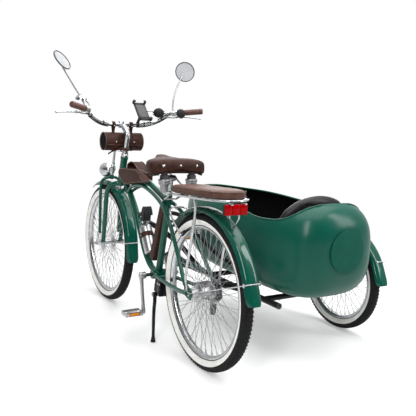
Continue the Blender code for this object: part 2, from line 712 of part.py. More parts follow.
def mudguard(name, joint, centre, radius, half_width, first, last, flare, steps):
    """A mudguard between two angles about its wheel, flared over its last part."""
    wall = GUARD_THICKNESS
    outer = [(0.30, radius), (0.80, radius - 0.30 * GUARD_DEPTH), (1.0, radius - GUARD_DEPTH)]
    section = [(share * half_width, r) for share, r in outer]
    section += [(section[-1][0] - wall, section[-1][1])]
    section += [(share * (half_width - wall), r - wall) for share, r in reversed(outer[:-1])]
    loop = section + [(-y, r) for y, r in reversed(section)]
    bm = bmesh.new()
    rings = []
    for step in range(steps + 1):
        share = step / steps
        angle = first + (last - first) * share
        rise = flare * max(0.0, (share - 0.88) / 0.12) ** 2
        ring = []
        for y, r in loop:
            x, z = guard_point(centre, angle, r + rise)
            ring.append(bm.verts.new((x, centre[1] + y, z)))
        rings.append([bm.edges.new((ring[i], ring[(i + 1) % len(ring)])) for i in range(len(ring))])
    for near, far in zip(rings[:-1], rings[1:]):
        bmesh.ops.bridge_loops(bm, edges=near + far)
    for end in (rings[0], rings[-1]):
        bmesh.ops.triangle_fill(bm, edges=end, use_beauty=True)
    return place(mesh_object(name, bm), joint, GREEN)


mudguard("front_mudguard", steering, front_centre, GUARD_RADIUS, GUARD_HALF_WIDTH,
         radians(60.5), radians(186.5), GUARD_FLARE, 20)
mudguard("rear_mudguard", vehicle, rear_centre, GUARD_RADIUS, GUARD_HALF_WIDTH,
         radians(40.0), GUARD_TAIL, GUARD_FLARE, 21)
mudguard("sidecar_mudguard", vehicle, side_centre, SIDE_GUARD_RADIUS, GUARD_HALF_WIDTH + 0.003,
         radians(22.0), radians(173.0), GUARD_FLARE, 21)


def guard_stay(body, centre, angle, radius, half_width, hub_left, hub_right, low):
    """A wire from an axle's left end round the outside of a mudguard to its right end."""
    reach = radius + GAP + STAY_RADIUS
    edge = radius - GUARD_DEPTH * 0.5
    side = half_width + 0.0006 + STAY_RADIUS
    x0, z0 = guard_point(centre, angle, low)
    x1, z1 = guard_point(centre, angle, edge)
    x2, z2 = guard_point(centre, angle, reach)
    line = [(x0, hub_left, z0), (x1, centre[1] + side, z1), (x2, centre[1] + side * 0.80, z2),
            (x2, centre[1] - side * 0.80, z2), (x1, centre[1] - side, z1), (x0, hub_right, z0)]
    return union(body, tube(body.name + "_stay", line, STAY_RADIUS, smooth=1))


guard_stay(front_shaft, front_centre, radians(170.0), GUARD_RADIUS, GUARD_HALF_WIDTH,
           ROCKER_Y + 0.0050, -ROCKER_Y - 0.0050, 0.008)
guard_stay(rear_shaft, rear_centre, radians(160.5), GUARD_RADIUS, GUARD_HALF_WIDTH,
           nut_y, -nut_y, 0.006)

# Stem, handlebar, grips and levers

BAR_LINE = [(BAR_X, 0.0, BAR_Z), (BAR_X, 0.062, BAR_Z), (0.9085, 0.103, 1.016), (0.890, 0.138, 1.023),
            (0.873, 0.171, 1.036), (0.860, 0.198, 1.051), (0.849, 0.219, 1.066), (0.830, 0.230, 1.0765)]
GRIP_WAY = (Vector(GRIP_END) - Vector(GRIP_START)).normalized()


def on_grip(distance, side=1, offset=(0.0, 0.0, 0.0)):
    """A point along a grip's axis, from its inner end."""
    point = Vector(GRIP_START) + GRIP_WAY * distance + Vector(offset)
    return Vector((point.x, side * point.y, point.z))


def grip_way(side):
    return Vector((GRIP_WAY.x, side * GRIP_WAY.y, GRIP_WAY.z))


GRIP_LENGTH = (Vector(GRIP_END) - Vector(GRIP_START)).length
BAR_TAIL = -0.044          # where the bar's last bend ends, along the grip's axis


def on_bar(number, share, side):
    """A point on one straight length of the bar, and the way that the bar runs there."""
    line = BAR_LINE + [tuple(on_grip(BAR_TAIL))]
    start = Vector(line[number])
    run = Vector(line[number + 1]) - start
    point = start + run * share
    way = run.normalized()
    return Vector((point.x, side * point.y, point.z)), Vector((way.x, side * way.y, way.z))


def handlebar():
    tail = [tuple(on_grip(BAR_TAIL)), tuple(on_grip(GRIP_LENGTH - 0.012))]
    body = tube("handlebar", both_sides(BAR_LINE + tail), BAR_RADIUS, smooth=1, sides=2)
    return place(body, steering, CHROME)


def stem():
    start = HEAD_TUBE_HIGH + HEADSET_HEIGHT + BRACKET_COLLAR + 2 * GAP
    knee = on_axis(QUILL_TOP)
    line = [on_axis(start), on_axis(QUILL_TOP - 0.020), knee, knee + Vector((0.030, 0, 0.022)),
            Vector((BAR_X - 0.004, 0.0, BAR_Z - 0.003))]
    body = place(tube("stem", [tuple(p) for p in line], QUILL_RADIUS, smooth=2, sides=2), steering, CHROME)
    clamp = cylinder("stem_clamp", (BAR_X, 0.0, BAR_Z), (0, 1, 0), CLAMP_RADIUS, 2 * CLAMP_HALF, 12)
    bore = cylinder("clamp_bore", (BAR_X, 0.0, BAR_Z), (0, 1, 0), BAR_RADIUS + BORE_GAP,
                    2 * CLAMP_HALF + 0.01, 12)
    union(body, clamp)
    return cut(body, bore)


def grip(side, name):
    bore = BAR_RADIUS + BORE_GAP
    half = GRIP_LENGTH / 2
    depth = half - 0.008
    profile = [(0.0, half), (GRIP_RADIUS * 0.8, half), (GRIP_RADIUS, half - 0.004),
               (GRIP_RADIUS, -half + 0.004), (GRIP_RADIUS + 0.002, -half), (bore, -half), (bore, depth),
               (0.0, depth)]
    body = turned(name, on_grip(half, side), grip_way(side), profile, 12)
    return place(body, steering, LEATHER)


def brake_lever(side, name):
    start = on_grip(-0.016, side)
    body = cylinder(name, start, grip_way(side), 0.0150, 0.016, 10)
    place(body, steering, CHROME)
    perch = tube(name + "_perch", [tuple(start), (0.806, side * 0.272, 1.069), (0.800, side * 0.300, 1.067)],
                 0.0055, smooth=1)
    blade = tube(name + "_blade", [(0.803, side * 0.290, 1.0675), (0.795, side * 0.335, 1.0665),
                                   (0.786, side * 0.372, 1.0635), (0.780, side * LEVER_TIP_Y, 1.061)],
                 0.0042, smooth=1)
    tip = ball(name + "_tip", (0.780, side * LEVER_TIP_Y, 1.061), LEVER_BALL_RADIUS, rings=4)
    union(body, perch, blade, tip)
    bore = cylinder(name + "_bore", start, grip_way(side), BAR_RADIUS + BORE_GAP, 0.040, 12)
    return cut(body, bore)


def mirror(side, name, facing, knots, foot, way):
    """A round mirror on its arm. The arm's foot is a clamp on the bar."""
    centre = Vector((MIRROR_X, side * MIRROR_Y, MIRROR_Z))
    facing = Vector(facing).normalized()
    half = MIRROR_DEPTH / 2
    profile = [(0.0, half), (MIRROR_RADIUS, half), (MIRROR_RADIUS, 0.0), (MIRROR_RADIUS * 0.65, -half * 1.5),
               (0.0, -half * 2.1)]
    body = place(turned(name, centre, facing, profile, 14), steering, CHROME)
    clamp = cylinder(name + "_clamp", foot, way, 0.0155, 0.012, 10)
    end = centre - facing * half * 1.2
    arm = tube(name + "_arm", [tuple(foot + Vector((0.0, 0.0, 0.012))), *knots, tuple(end)], 0.0036, smooth=1)
    union(body, arm, clamp)
    bore = cylinder(name + "_bore", foot, way, BAR_RADIUS + BORE_GAP, 0.030, 12)
    return cut(body, bore)


stem()
handlebar()
for side, word in ((1, "left"), (-1, "right")):
    grip(side, "grip_" + word)
    brake_lever(side, "brake_lever_" + word)
mirror(1, "mirror_left", (-0.63, -0.52, 0.58), [(0.850, 0.214, 1.112), (0.878, 0.250, 1.150), (0.872, 0.310, 1.232)],
       *on_bar(7, 0.48, 1))
mirror(-1, "mirror_right", (-0.95, 0.28, 0.10), [(0.806, -0.244, 1.110), (0.815, -0.252, 1.160),
                                                 (0.845, -0.285, 1.225)],
       on_grip(-0.0335, -1), grip_way(-1))

# What is clamped to the handlebar


def clamp_on(body, point, way, length, *arms):
    """Join a clamp ring on the bar to a piece, with its arms, and bore it for the bar."""
    ring = cylinder(body.name + "_clamp", point, way, 0.0155, length, 10)
    union(body, ring, *arms)
    return cut(body, cylinder(body.name + "_bore", point, way, BAR_RADIUS + BORE_GAP, length + 0.016, 12))


def bell():
    """A domed bell on the left bend, on a post from its clamp."""
    top = Vector((0.826, 0.262, 1.139))
    up = Vector((-0.25, 0.10, 1.0)).normalized()
    profile = [(0.0, 0.016), (0.018, 0.0125), (0.0280, 0.003), (0.0310, -0.0070), (0.0, -0.0075)]
    body = place(turned("bell", top, up, profile, 14), steering, CHROME)
    point = on_grip(-0.0335, 1)
    post = rod("bell_post", point, top - up * 0.004, 0.0048)
    return clamp_on(body, point, grip_way(1), 0.012, post)


def horn():
    """A rubber bulb with the brass horn that it blows, on a post from its clamp."""
    bulb = place(ball("horn", (0.825, -0.170, 1.083), 0.0265, (1.0, 1.15, 1.0), 6), steering, PLASTIC)
    pipe = tube("horn_pipe", [(0.825, -0.185, 1.083), (0.835, -0.215, 1.090), (0.862, -0.222, 1.094),
                              (0.886, -0.195, 1.094), (0.900, -0.150, 1.092)], 0.0038, smooth=1)
    way = Vector((0.25, 0.95, 0.0)).normalized()
    mouth = cylinder("horn_mouth", Vector((0.900, -0.150, 1.092)) + way * 0.020, way, 0.0040, 0.044, 12, 0.017)
    union(bulb, pipe, mouth)
    point, run = on_bar(3, 0.5, -1)
    post = rod("horn_post", point, (0.8930, -0.1725, 1.0930), 0.0040)
    return clamp_on(bulb, point, run, 0.012, post)


def thumb_control():
    """A black domed control just inside the right grip."""
    way = Vector((-0.80, -0.10, 0.30)).normalized()
    centre = Vector((0.724, -0.252, 1.084))
    profile = [(0.0, 0.022), (0.012, 0.019), (0.0215, 0.010), (0.0255, -0.002), (0.0255, -0.008), (0.0, -0.008)]
    body = place(turned("thumb_control", centre, way, profile, 12), steering, PLASTIC)
    point = on_grip(-0.0042, -1)
    arm = tube("thumb_arm", [tuple(point), (0.7542, -0.2442, 1.0828), tuple(centre)], 0.0034, smooth=1)
    return clamp_on(body, point, grip_way(-1), 0.0058, arm)


def phone_holder():
    """A padded plate with four corner claws, clamped to the bar beside the stem."""
    tilt = Vector((-0.72, 0.0, 0.69)).normalized()
    centre = Vector((0.873, -0.092, 1.087))
    turn = direction_rotation(tilt)
    body = place(block("phone_holder", centre, (0.066, 0.128, 0.010), turn), steering, PLASTIC)
    across = Vector((0.0, 1.0, 0.0))
    up = tilt.cross(across).normalized()
    for a in (1, -1):
        for b in (1, -1):
            corner = centre + across * a * 0.033 + up * b * 0.061 + tilt * 0.007
            union(body, block("claw", corner, (0.016, 0.018, 0.022), turn))
    point, run = on_bar(1, 0.60, -1)
    neck = rod("phone_neck", centre - tilt * 0.002, point, 0.0090, 8)
    return clamp_on(body, point, run, 0.014, neck)


def handlebar_bag():
    """A leather roll under the bar, on two straps that go round the bar."""
    half = BAG_HALF_LENGTH
    profile = [(0.0, half), (BAG_RADIUS * 0.90, half), (BAG_RADIUS, half - 0.006),
               (BAG_RADIUS, -half + 0.006), (BAG_RADIUS * 0.90, -half), (0.0, -half)]
    body = place(turned("handlebar_bag", (BAG_X, 0.0, BAG_Z), (0, 1, 0), profile, 16), steering, LEATHER)
    for y in (0.051, -0.051):
        ring = cylinder("strap_ring", (BAR_X, y, BAR_Z), (0, 1, 0), BAR_RADIUS + 0.0040, 0.018, 10)
        tab = block("strap_tab", (BAR_X, y, (BAR_Z + BAG_Z + BAG_RADIUS) / 2 - 0.006),
                    (0.006, 0.018, BAR_Z - BAG_Z - BAG_RADIUS - 0.006))
        union(body, ring, tab)
        cut(body, cylinder("strap_bore", (BAR_X, y, BAR_Z), (0, 1, 0), BAR_RADIUS + BORE_GAP + 0.0003, 0.03, 14))
    return body


def headlamp():
    """A chrome ball lamp in front of the spring."""
    way = Vector((1.0, 0.0, -0.03)).normalized()
    centre = Vector((1.112, 0.0, 0.751))
    profile = [(0.0, 0.040), (0.034, 0.038), (0.0415, 0.028), (0.0425, 0.018), (0.0395, 0.000),
               (0.031, -0.020), (0.018, -0.034), (0.0, -0.040)]
    body = place(turned("headlamp", centre, way, profile, 14), steering, CHROME)
    arm = rod("lamp_arm", centre - way * 0.034, (1.0505, 0.0, 0.7640), 0.0060, 8)
    strap = cylinder("lamp_strap", (1.0435, 0.0, 0.7640), Vector((0.245, 0.0, -0.955)), SPRING_RADIUS + 0.0038,
                     0.016, 12)
    union(body, arm, strap)
    bore = cylinder("lamp_bore", (1.0435, 0.0, 0.7640), Vector((0.245, 0.0, -0.955)),
                    SPRING_RADIUS + 2 * BORE_GAP, 0.04, 12)
    return cut(body, bore)


bell()
horn()
thumb_control()
phone_holder()
handlebar_bag()
headlamp()

# Cranks, pedals and chain

CRANK_WAY = Vector((cos(CRANK_ANGLE), 0.0, sin(CRANK_ANGLE)))


def crank_end(side):
    """Where a pedal's pin crosses its crank arm."""
    return Vector((BRACKET_X, side * CRANK_Y, BRACKET_Z)) + CRANK_WAY * CRANK_LENGTH * side


def crankset():
    """Axle, two arms and the chainring, which turn as one."""
    centre = Vector((BRACKET_X, 0.0, BRACKET_Z))
    body = place(cylinder("crankset", centre, (0, 1, 0), CRANK_AXLE_RADIUS, 2 * CRANK_Y, 12), crank_axis, CHROME)
    for side in (1, -1):
        start = centre + Vector((0.0, side * CRANK_Y, 0.0))
        boss = cylinder("crank_boss", centre + Vector((0.0, side * (CRANK_Y - 0.006), 0.0)), (0, 1, 0),
                        0.0175, 0.030, 10)
        end = crank_end(side)
        arm = block("crank_arm", (start + end) / 2, (CRANK_THICKNESS - 0.0012, 0.0190, CRANK_LENGTH - 0.006),
                    direction_rotation(CRANK_WAY * side))
        eye = cylinder("crank_eye", end, (0, 1, 0), 0.0135, CRANK_THICKNESS, 10)
        union(body, boss, arm, eye)
    ring = cylinder("chainring", (BRACKET_X, CHAIN_Y, BRACKET_Z), (0, 1, 0), CHAINRING_RADIUS, 0.0030, 24)
    union(body, ring)
    for number in range(5):
        turn = 2 * pi * number / 5 + 0.3
        spot = (BRACKET_X + 0.052 * cos(turn), CHAIN_Y, BRACKET_Z + 0.052 * sin(turn))
        cut(body, cylinder("ring_hole", spot, (0, 1, 0), 0.0190, 0.0200, 6))
    for side in (1, -1):
        cut(body, cylinder("pedal_bore", crank_end(side), (0, 1, 0), PEDAL_PIN_RADIUS + BORE_GAP, 0.05, 10))
    return body


def pedal(side, name):
    """A platform pedal on its pin, which turns in the crank's eye."""
    centre = crank_end(side)
    joint = joint_frame(name + "_axis", tuple(centre), crank_axis)
    inner = CRANK_Y + CRANK_THICKNESS / 2 + 0.0015
    middle = Vector((centre.x, side * (inner + 0.004 + PEDAL_LENGTH / 2), centre.z))
    body = block(name, middle, (PEDAL_WIDTH, PEDAL_LENGTH, PEDAL_HEIGHT), bevel=0.0030)
    place(body, joint, STEEL)
    pin = rod(name + "_pin", (centre.x, side * (CRANK_Y - CRANK_THICKNESS / 2 - 0.002), centre.z),
              (centre.x, side * (inner + 0.010), centre.z), PEDAL_PIN_RADIUS, 8)
    collar = rod(name + "_collar", (centre.x, side * inner, centre.z),
                 (centre.x, side * (inner + 0.008), centre.z), 0.0085, 8)
    union(body, pin, collar)
    for a in (1, -1):
        window = block(name + "_window", middle + Vector((a * PEDAL_WIDTH * 0.25, 0.0, 0.0)),
                       (PEDAL_WIDTH * 0.28, PEDAL_LENGTH * 0.62, PEDAL_HEIGHT + 0.01))
        cut(body, window)
    return joint


def chain():
    """The chain's whole loop as one fixed band, round the chainring and the rear sprocket."""
    half = CHAIN_HALF_HEIGHT
    big = CHAINRING_RADIUS + CHAIN_RUN + half
    small = SPROCKET_RADIUS + CHAIN_RUN + half
    rear = (0.0, REAR_AXLE_Z)
    front = (BRACKET_X, BRACKET_Z)
    reach = hypot(front[0] - rear[0], front[1] - rear[1])
    lean = atan2(front[1] - rear[1], front[0] - rear[0])
    spread = acos((small - big) / reach)

    def loop(offset):
        first = arc(front, big + offset, lean - spread, lean + spread, 16)
        second = arc(rear, small + offset, lean + spread, lean + 2 * pi - spread, 10)
        return first + second

    band = side_plate("chain", loop(half), 2 * CHAIN_HALF_WIDTH, CHAIN_Y)
    place(band, vehicle, STEEL)
    hole = side_plate("chain_inside", loop(-half), 2 * CHAIN_HALF_WIDTH + 0.01, CHAIN_Y)
    return cut(band, hole)


def chain_guard():
    """A long painted plate outboard of the chain's upper run, held by two tabs."""
    outline = arc((BRACKET_X, BRACKET_Z), 0.103, radians(20.0), radians(100.0), 8)
    outline += [(0.250, 0.404), (0.110, 0.402), (0.098, 0.392), (0.100, 0.372), (0.250, 0.368), (0.360, 0.352)]
    outline += arc((BRACKET_X, BRACKET_Z), 0.070, radians(110.0), radians(20.0), 8)
    plate_y = CHAIN_Y - CHAIN_HALF_WIDTH - 0.0060
    body = place(side_plate("chain_guard", outline, 0.0020, plate_y), vehicle, GREEN)
    for x in (0.150, 0.290):
        y, z = stay_place(x)
        top = z + CHAIN_STAY_RADIUS + GAP
        bend = [(x, plate_y, 0.3745), (x, plate_y + 0.0030, 0.3560), (x, -y, 0.3480), (x, -y, top)]
        union(body, tube("guard_tab", bend, 0.0030, smooth=1))
    return body


def stay_place(x):
    """Where the chain stay runs at a distance x, as its |y| and z."""
    for (x1, y1, z1), (x2, y2, z2) in zip(CHAIN_STAY_LINE[:-1], CHAIN_STAY_LINE[1:]):
        if x2 <= x <= x1:
            share = (x1 - x) / (x1 - x2)
            return y1 + (y2 - y1) * share, z1 + (z2 - z1) * share
    return CHAIN_STAY_LINE[-1][1], CHAIN_STAY_LINE[-1][2]


crankset()
pedal(1, "pedal_left")
pedal(-1, "pedal_right")
chain()
chain_guard()

# Gear hanger, stand and brake


def derailleur():
    """The gear arm below the right dropout, with its cage."""
    y = -DROPOUT_Y - DROPOUT_THICKNESS / 2 - GAP - 0.0060
    body = place(cylinder("derailleur", (0.004, y, REAR_AXLE_Z - 0.030), (0, 1, 0), 0.0125, 0.012, 10),
                 vehicle, PLASTIC)
    link = rod("gear_link", (0.004, y, REAR_AXLE_Z - 0.030), (0.046, y, REAR_AXLE_Z - 0.064), 0.0055, 8)
    knuckle = cylinder("gear_knuckle", (0.046, y, REAR_AXLE_Z - 0.064), (0, 1, 0), 0.0140, 0.018, 10)
    cage = side_plate("gear_cage", [(0.036, 0.272), (0.054, 0.276), (0.070, 0.262), (0.074, 0.222),
                                    (0.062, 0.204), (0.044, 0.206), (0.036, 0.224)], 0.0040, y)
    hook = cylinder("gear_hook", (0.004, y + 0.004, REAR_AXLE_Z - 0.018), (0, 1, 0), 0.0070, 0.004, 8)
    return union(body, link, knuckle, cage, hook)


def stand_mount():
    """A clamp block between the chain stays that carries the stand's pin."""
    y, z = stay_place(STAND_X)
    top = z - CHAIN_STAY_RADIUS - GAP + 0.0011
    height = top - (STAND_Z - 0.012)
    body = block("stand_mount", (STAND_X, 0.0, top - height / 2), (0.034, 0.062, height), bevel=0.0020)
    place(body, vehicle, BLACK)
    pin = rod("stand_pin", (STAND_X, 0.0, STAND_Z), (STAND_X, STAND_Y + 0.012, STAND_Z), STAND_PIN_RADIUS, 8)
    head = rod("stand_pin_head", (STAND_X, STAND_Y + 0.0105, STAND_Z), (STAND_X, STAND_Y + 0.014, STAND_Z),
               0.0085, 8)
    return union(body, pin, head)


def kickstand():
    """The leg, with the eye that turns on the stand's pin."""
    line = [(STAND_X, STAND_Y, STAND_Z), (STAND_X - 0.006, STAND_Y + 0.002, STAND_Z - 0.030),
            (STAND_X - 0.020, STAND_Y + 0.012, STAND_Z - 0.070), (0.346, 0.063, 0.060), (0.344, 0.0635, 0.014)]
    body = place(tube("kickstand", line, STAND_RADIUS, smooth=1, sides=2), stand_axis, BLACK)
    eye = cylinder("stand_eye", (STAND_X, STAND_Y, STAND_Z), (0, 1, 0), 0.0125, 0.0200, 12)
    foot = cylinder("stand_foot", (0.3440, 0.0640, (STAND_FOOT_Z + 0.018) / 2), (0, 0, 1), 0.0120,
                    0.018 - STAND_FOOT_Z, 12, 0.0095)
    union(body, eye, foot)
    return cut(body, cylinder("stand_bore", (STAND_X, STAND_Y, STAND_Z), (0, 1, 0),
                              STAND_PIN_RADIUS + BORE_GAP, 0.05, 10))


def rear_brake():
    """The caliper arms from a bolt on the stay bridge, over the stays, to their pads at the rim."""
    top = Vector((0.270, 0.0, 0.656))
    pad_x, pad_z = guard_point(rear_centre, radians(56.0), RIM_RADIUS - 0.008)
    line = both_sides([tuple(top), (0.266, 0.032, 0.654), (0.241, 0.050, 0.640), (0.201, 0.0500, 0.601),
                       (0.161, 0.0490, 0.572), (0.132, 0.0450, 0.552), (pad_x, 0.0330, pad_z)])
    body = place(tube("rear_brake", line, 0.0042, smooth=1), vehicle, CHROME)
    low = guard_point3(STAY_BRIDGE_ANGLE, GUARD_RADIUS + GAP + BRIDGE_RADIUS) + Vector((0.0006, 0.0, BRIDGE_RADIUS + 0.0002))
    union(body, rod("brake_bolt", top, low, 0.0060))
    for side in (1, -1):
        pad = block("brake_pad", (pad_x, side * 0.0275, pad_z), (0.034, 0.0170, 0.010),
                    (0.0, radians(90.0 - 56.0), 0.0))
        union(body, pad)
    return body


def guard_point3(angle, radius):
    """A point in the rear wheel's middle plane, at an angle about its axle."""
    x, z = guard_point(rear_centre, angle, radius)
    return Vector((x, 0.0, z))


derailleur()
stand_mount()
kickstand()
rear_brake()

# Saddle, seat post, carrier

POST_WAY = (Vector((SEAT_TOP_X, 0.0, SEAT_TOP_Z)) - Vector(SEAT_LINE[1])).normalized()
POST_LOW = Vector((SEAT_TOP_X, 0.0, SEAT_TOP_Z)) + POST_WAY * GAP
POST_TOP = POST_LOW + POST_WAY * 0.082


def seat_post():
    """The post with its collar, and the saddle's clamp, rails and two barrel springs."""
    body = place(rod("seat_post", POST_LOW, POST_TOP, SEAT_POST_RADIUS, 12), vehicle, CHROME)
    collar = rod("seat_collar", POST_LOW, POST_LOW + POST_WAY * 0.022, SEAT_TUBE_RADIUS + 0.0020, 12)
    clamp = cylinder("saddle_clamp", POST_TOP, (0, 1, 0), 0.0150, 0.046, 10)
    union(body, collar, clamp)
    for side in (1, -1):
        rail = tube("saddle_rail", [(0.262, side * 0.069, 0.7440), (0.300, side * 0.040, 0.752),
                                    (POST_TOP.x, side * 0.0215, POST_TOP.z + 0.004),
                                    (0.400, side * 0.019, 0.800), (0.440, side * 0.010, 0.8270)],
                    0.0040, smooth=1)
        union(body, rail)
    nose = block("saddle_nose_plate", (0.446, 0.0, 0.8300), (0.030, 0.036, 0.0060))
    plate_bar = block("spring_plate", (0.263, 0.0, 0.8237), (0.026, 0.150, 0.0040))
    union(body, nose, plate_bar)
    for side in (1, -1):
        profile = [(0.0, 0.0370), (0.0195, 0.0370), (0.0200, 0.0230), (0.0275, 0.0120), (0.0220, -0.0010),
                   (0.0205, -0.0210), (0.0175, -0.0430), (0.0, -0.0430)]
        union(body, turned("spring_barrel", (0.263, side * 0.069, 0.7870), (0.0, 0.0, 1.0), profile, 10))
    return body


def saddle():
    """The saddle's padded top as one closed solid."""
    length = SADDLE_NOSE_X - SADDLE_REAR_X
    half = SADDLE_HALF_WIDTH
    back, front = SADDLE_REAR_X, SADDLE_NOSE_X
    side = [(back, 0.0), (back + 0.004, 0.55 * half), (back + 0.022, 0.88 * half), (back + 0.055, half),
            (back + 0.095, 0.93 * half), (back + 0.135, 0.66 * half), (back + 0.168, 0.38 * half),
            (back + 0.200, 0.24 * half), (front - 0.014, 0.19 * half), (front, 0.08 * half)]
    outline = [(x, y) for x, y in side] + [(x, -y) for x, y in reversed(side[1:])]
    body = plate("saddle", outline, SADDLE_DEPTH, (0.0, 0.0, SADDLE_TOP_Z - SADDLE_DEPTH / 2))
    place(body, vehicle, LEATHER)
    rounding = body.modifiers.new("rounded edges", "BEVEL")
    rounding.width = 0.008
    rounding.segments = 2
    rounding.limit_method = "ANGLE"
    return cut(body, block("saddle_hollow", (0.395, 0.0, SADDLE_TOP_Z - SADDLE_DEPTH + 0.0033),
                           (0.16, 0.0440, 0.0080)))


RACK_SLOPE = 0.045


def rack_z(x):
    """The height of the carrier's loop, which rises a little to the rear."""
    return RACK_Z - RACK_SLOPE * x


def rack():
    """The carrier: a wire loop with cross rods, two struts to the dropouts and two to the seat post."""
    half = RACK_HALF_WIDTH
    loop = [(RACK_REAR_X, 0.0), (RACK_REAR_X + 0.018, 0.52 * half), (RACK_REAR_X + 0.060, 0.88 * half),
            (RACK_REAR_X + 0.130, half), (0.060, half), (0.170, 0.88 * half), (RACK_FRONT_X, 0.62 * half),
            (0.290, 0.0330), (0.3346, 0.0300)]
    line = both_sides([(x, y, rack_z(x) if x < 0.26 else rack_z(0.24) - 0.45 * (x - 0.24)) for x, y in loop])
    body = place(tube("rack", line, RACK_ROD_RADIUS, smooth=1), vehicle, CHROME)
    for x in (-0.170, -0.035, 0.110):
        width = half if x > -0.1 else 0.93 * half
        union(body, rod("rack_rod", (x, -width, rack_z(x)), (x, width, rack_z(x)), 0.0036, 6))
    for side in (1, -1):
        foot_y = DROPOUT_Y + DROPOUT_THICKNESS / 2 + GAP + 0.0052
        strut = tube("rack_strut", [(-0.035, side * half, rack_z(-0.035)), (-0.038, side * 0.083, 0.676),
                                    (0.018, side * 0.0845, 0.400), (0.0105, side * foot_y, 0.3520)],
                     0.0046, smooth=1)
        union(body, strut)
    tie = cylinder("rack_tie", (0.3346, 0.0, rack_z(0.24) - 0.45 * 0.0946), (0, 1, 0), 0.0046, 0.062, 8)
    union(body, tie)
    return body


def rack_cushion():
    """The carrier's cushion, a half-oval pad."""
    back, front = RACK_REAR_X - 0.004, 0.222
    half = RACK_HALF_WIDTH - 0.001
    side = [(back, 0.0), (back + 0.010, 0.40 * half), (back + 0.035, 0.70 * half), (back + 0.080, 0.90 * half),
            (back + 0.150, half), (0.120, half), (0.180, 0.93 * half), (0.210, 0.78 * half), (front, 0.45 * half)]
    outline = [(x, y) for x, y in side] + [(x, -y) for x, y in reversed(side[1:])]
    low = RACK_ROD_RADIUS + GAP
    lean = atan2(RACK_SLOPE, 1.0)
    body = plate("rack_cushion", outline, CUSHION_THICKNESS)
    body.location = (0.0, 0.0, RACK_Z + (low + CUSHION_THICKNESS / 2) / cos(lean))
    body.rotation_euler = (0.0, lean, 0.0)
    place(body, vehicle, LEATHER)
    rounding = body.modifiers.new("rounded edges", "BEVEL")
    rounding.width = 0.009
    rounding.segments = 2
    rounding.limit_method = "ANGLE"
    return body


def tail_reflector():
    """The red reflector on its two tabs under the carrier's rear."""
    x = -0.232
    top = rack_z(x) - RACK_ROD_RADIUS - GAP
    body = block("tail_reflector", (x, 0.024, top - 0.0225), (0.016, 0.100, 0.036), bevel=0.0015)
    place(body, vehicle, RED)
    for y in (-0.012, 0.050):
        union(body, block("reflector_tab", (x - 0.008, y, top - 0.0030), (0.022, 0.010, 0.0060)))
    return body


seat_post()
saddle()
rack()
rack_cushion()
tail_reflector()

# Bags, battery, bottle and lock


def tank_bag():
    """The bag that straddles the top tube, with its rounded lid."""
    outline = [(0.742, 0.7055), (0.798, 0.733), (0.838, 0.778), (0.832, 0.790), (0.797, 0.799), (0.690, 0.799),
               (0.655, 0.822), (0.618, 0.836), (0.575, 0.822), (0.545, 0.796), (0.512, 0.746), (0.518, 0.738),
               (0.560, 0.7375), (0.640, 0.7320), (0.700, 0.7215)]
    body = side_plate("tank_bag", outline, 2 * TANK_HALF_WIDTH, 0.0)
    place(body, vehicle, LEATHER)
    rounding = body.modifiers.new("rounded edges", "BEVEL")
    rounding.width = 0.006
    rounding.segments = 2
    rounding.limit_method = "ANGLE"
    rounding.angle_limit = radians(60.0)
    way = tube("tank_channel", TOP_LINE, TOP_TUBE_RADIUS + 0.0004, smooth=1, sides=2)
    return cut(body, way)


def battery():
    """The slim battery case in front of the seat tube."""
    middle = Vector(SEAT_LINE[1])
    way = Vector((-0.20, 0.0, 0.98)).normalized()
    off = SEAT_TUBE_RADIUS + GAP + BATTERY_DEPTH / 2 + 0.0026
    centre = middle + way * -0.002 + Vector((way.z, 0.0, -way.x)) * off
    body = block("battery", centre, (BATTERY_DEPTH, 2 * BATTERY_HALF_WIDTH, 0.270),
                 (0.0, atan2(way.x, way.z), 0.0), 0.005)
    return place(body, vehicle, LEATHER)


BOTTLE_WAY = Vector((0.535, 0.0, 0.845)).normalized()
BOTTLE_OUT = Vector((-BOTTLE_WAY.z, 0.0, BOTTLE_WAY.x))
BOTTLE_SEAT = Vector((0.613, 0.0, 0.421))


def bottle():
    """The steel bottle, its axis beside the down tube."""
    centre = BOTTLE_SEAT + BOTTLE_OUT * (DOWN_TUBE_RADIUS + 0.0120 + BOTTLE_RADIUS)
    half = BOTTLE_LENGTH / 2
    profile = [(0.0, half + 0.014), (0.012, half + 0.014), (0.014, half + 0.002), (0.024, half - 0.002),
               (BOTTLE_RADIUS, half - 0.012), (BOTTLE_RADIUS, -half + 0.003), (BOTTLE_RADIUS - 0.003, -half),
               (0.0, -half)]
    return place(turned("bottle", centre, BOTTLE_WAY, profile, 14), vehicle, STEEL)


def bottle_cage():
    """The collar round the bottle, on a block that is bolted to the down tube."""
    centre = BOTTLE_SEAT + BOTTLE_OUT * (DOWN_TUBE_RADIUS + 0.0120 + BOTTLE_RADIUS) + BOTTLE_WAY * 0.020
    inner = BOTTLE_RADIUS + GAP
    profile = [(inner + 0.0030, 0.012), (inner + 0.0030, -0.012), (inner, -0.012), (inner, 0.012)]
    body = place(turned("bottle_cage", centre, BOTTLE_WAY, profile, 14, ring=True), vehicle, LEATHER)
    start = centre - BOTTLE_OUT * (inner + 0.0015)
    end = centre - BOTTLE_OUT * (BOTTLE_RADIUS + 0.0127)
    return union(body, rod("cage_foot", start, end, 0.0080, 8))


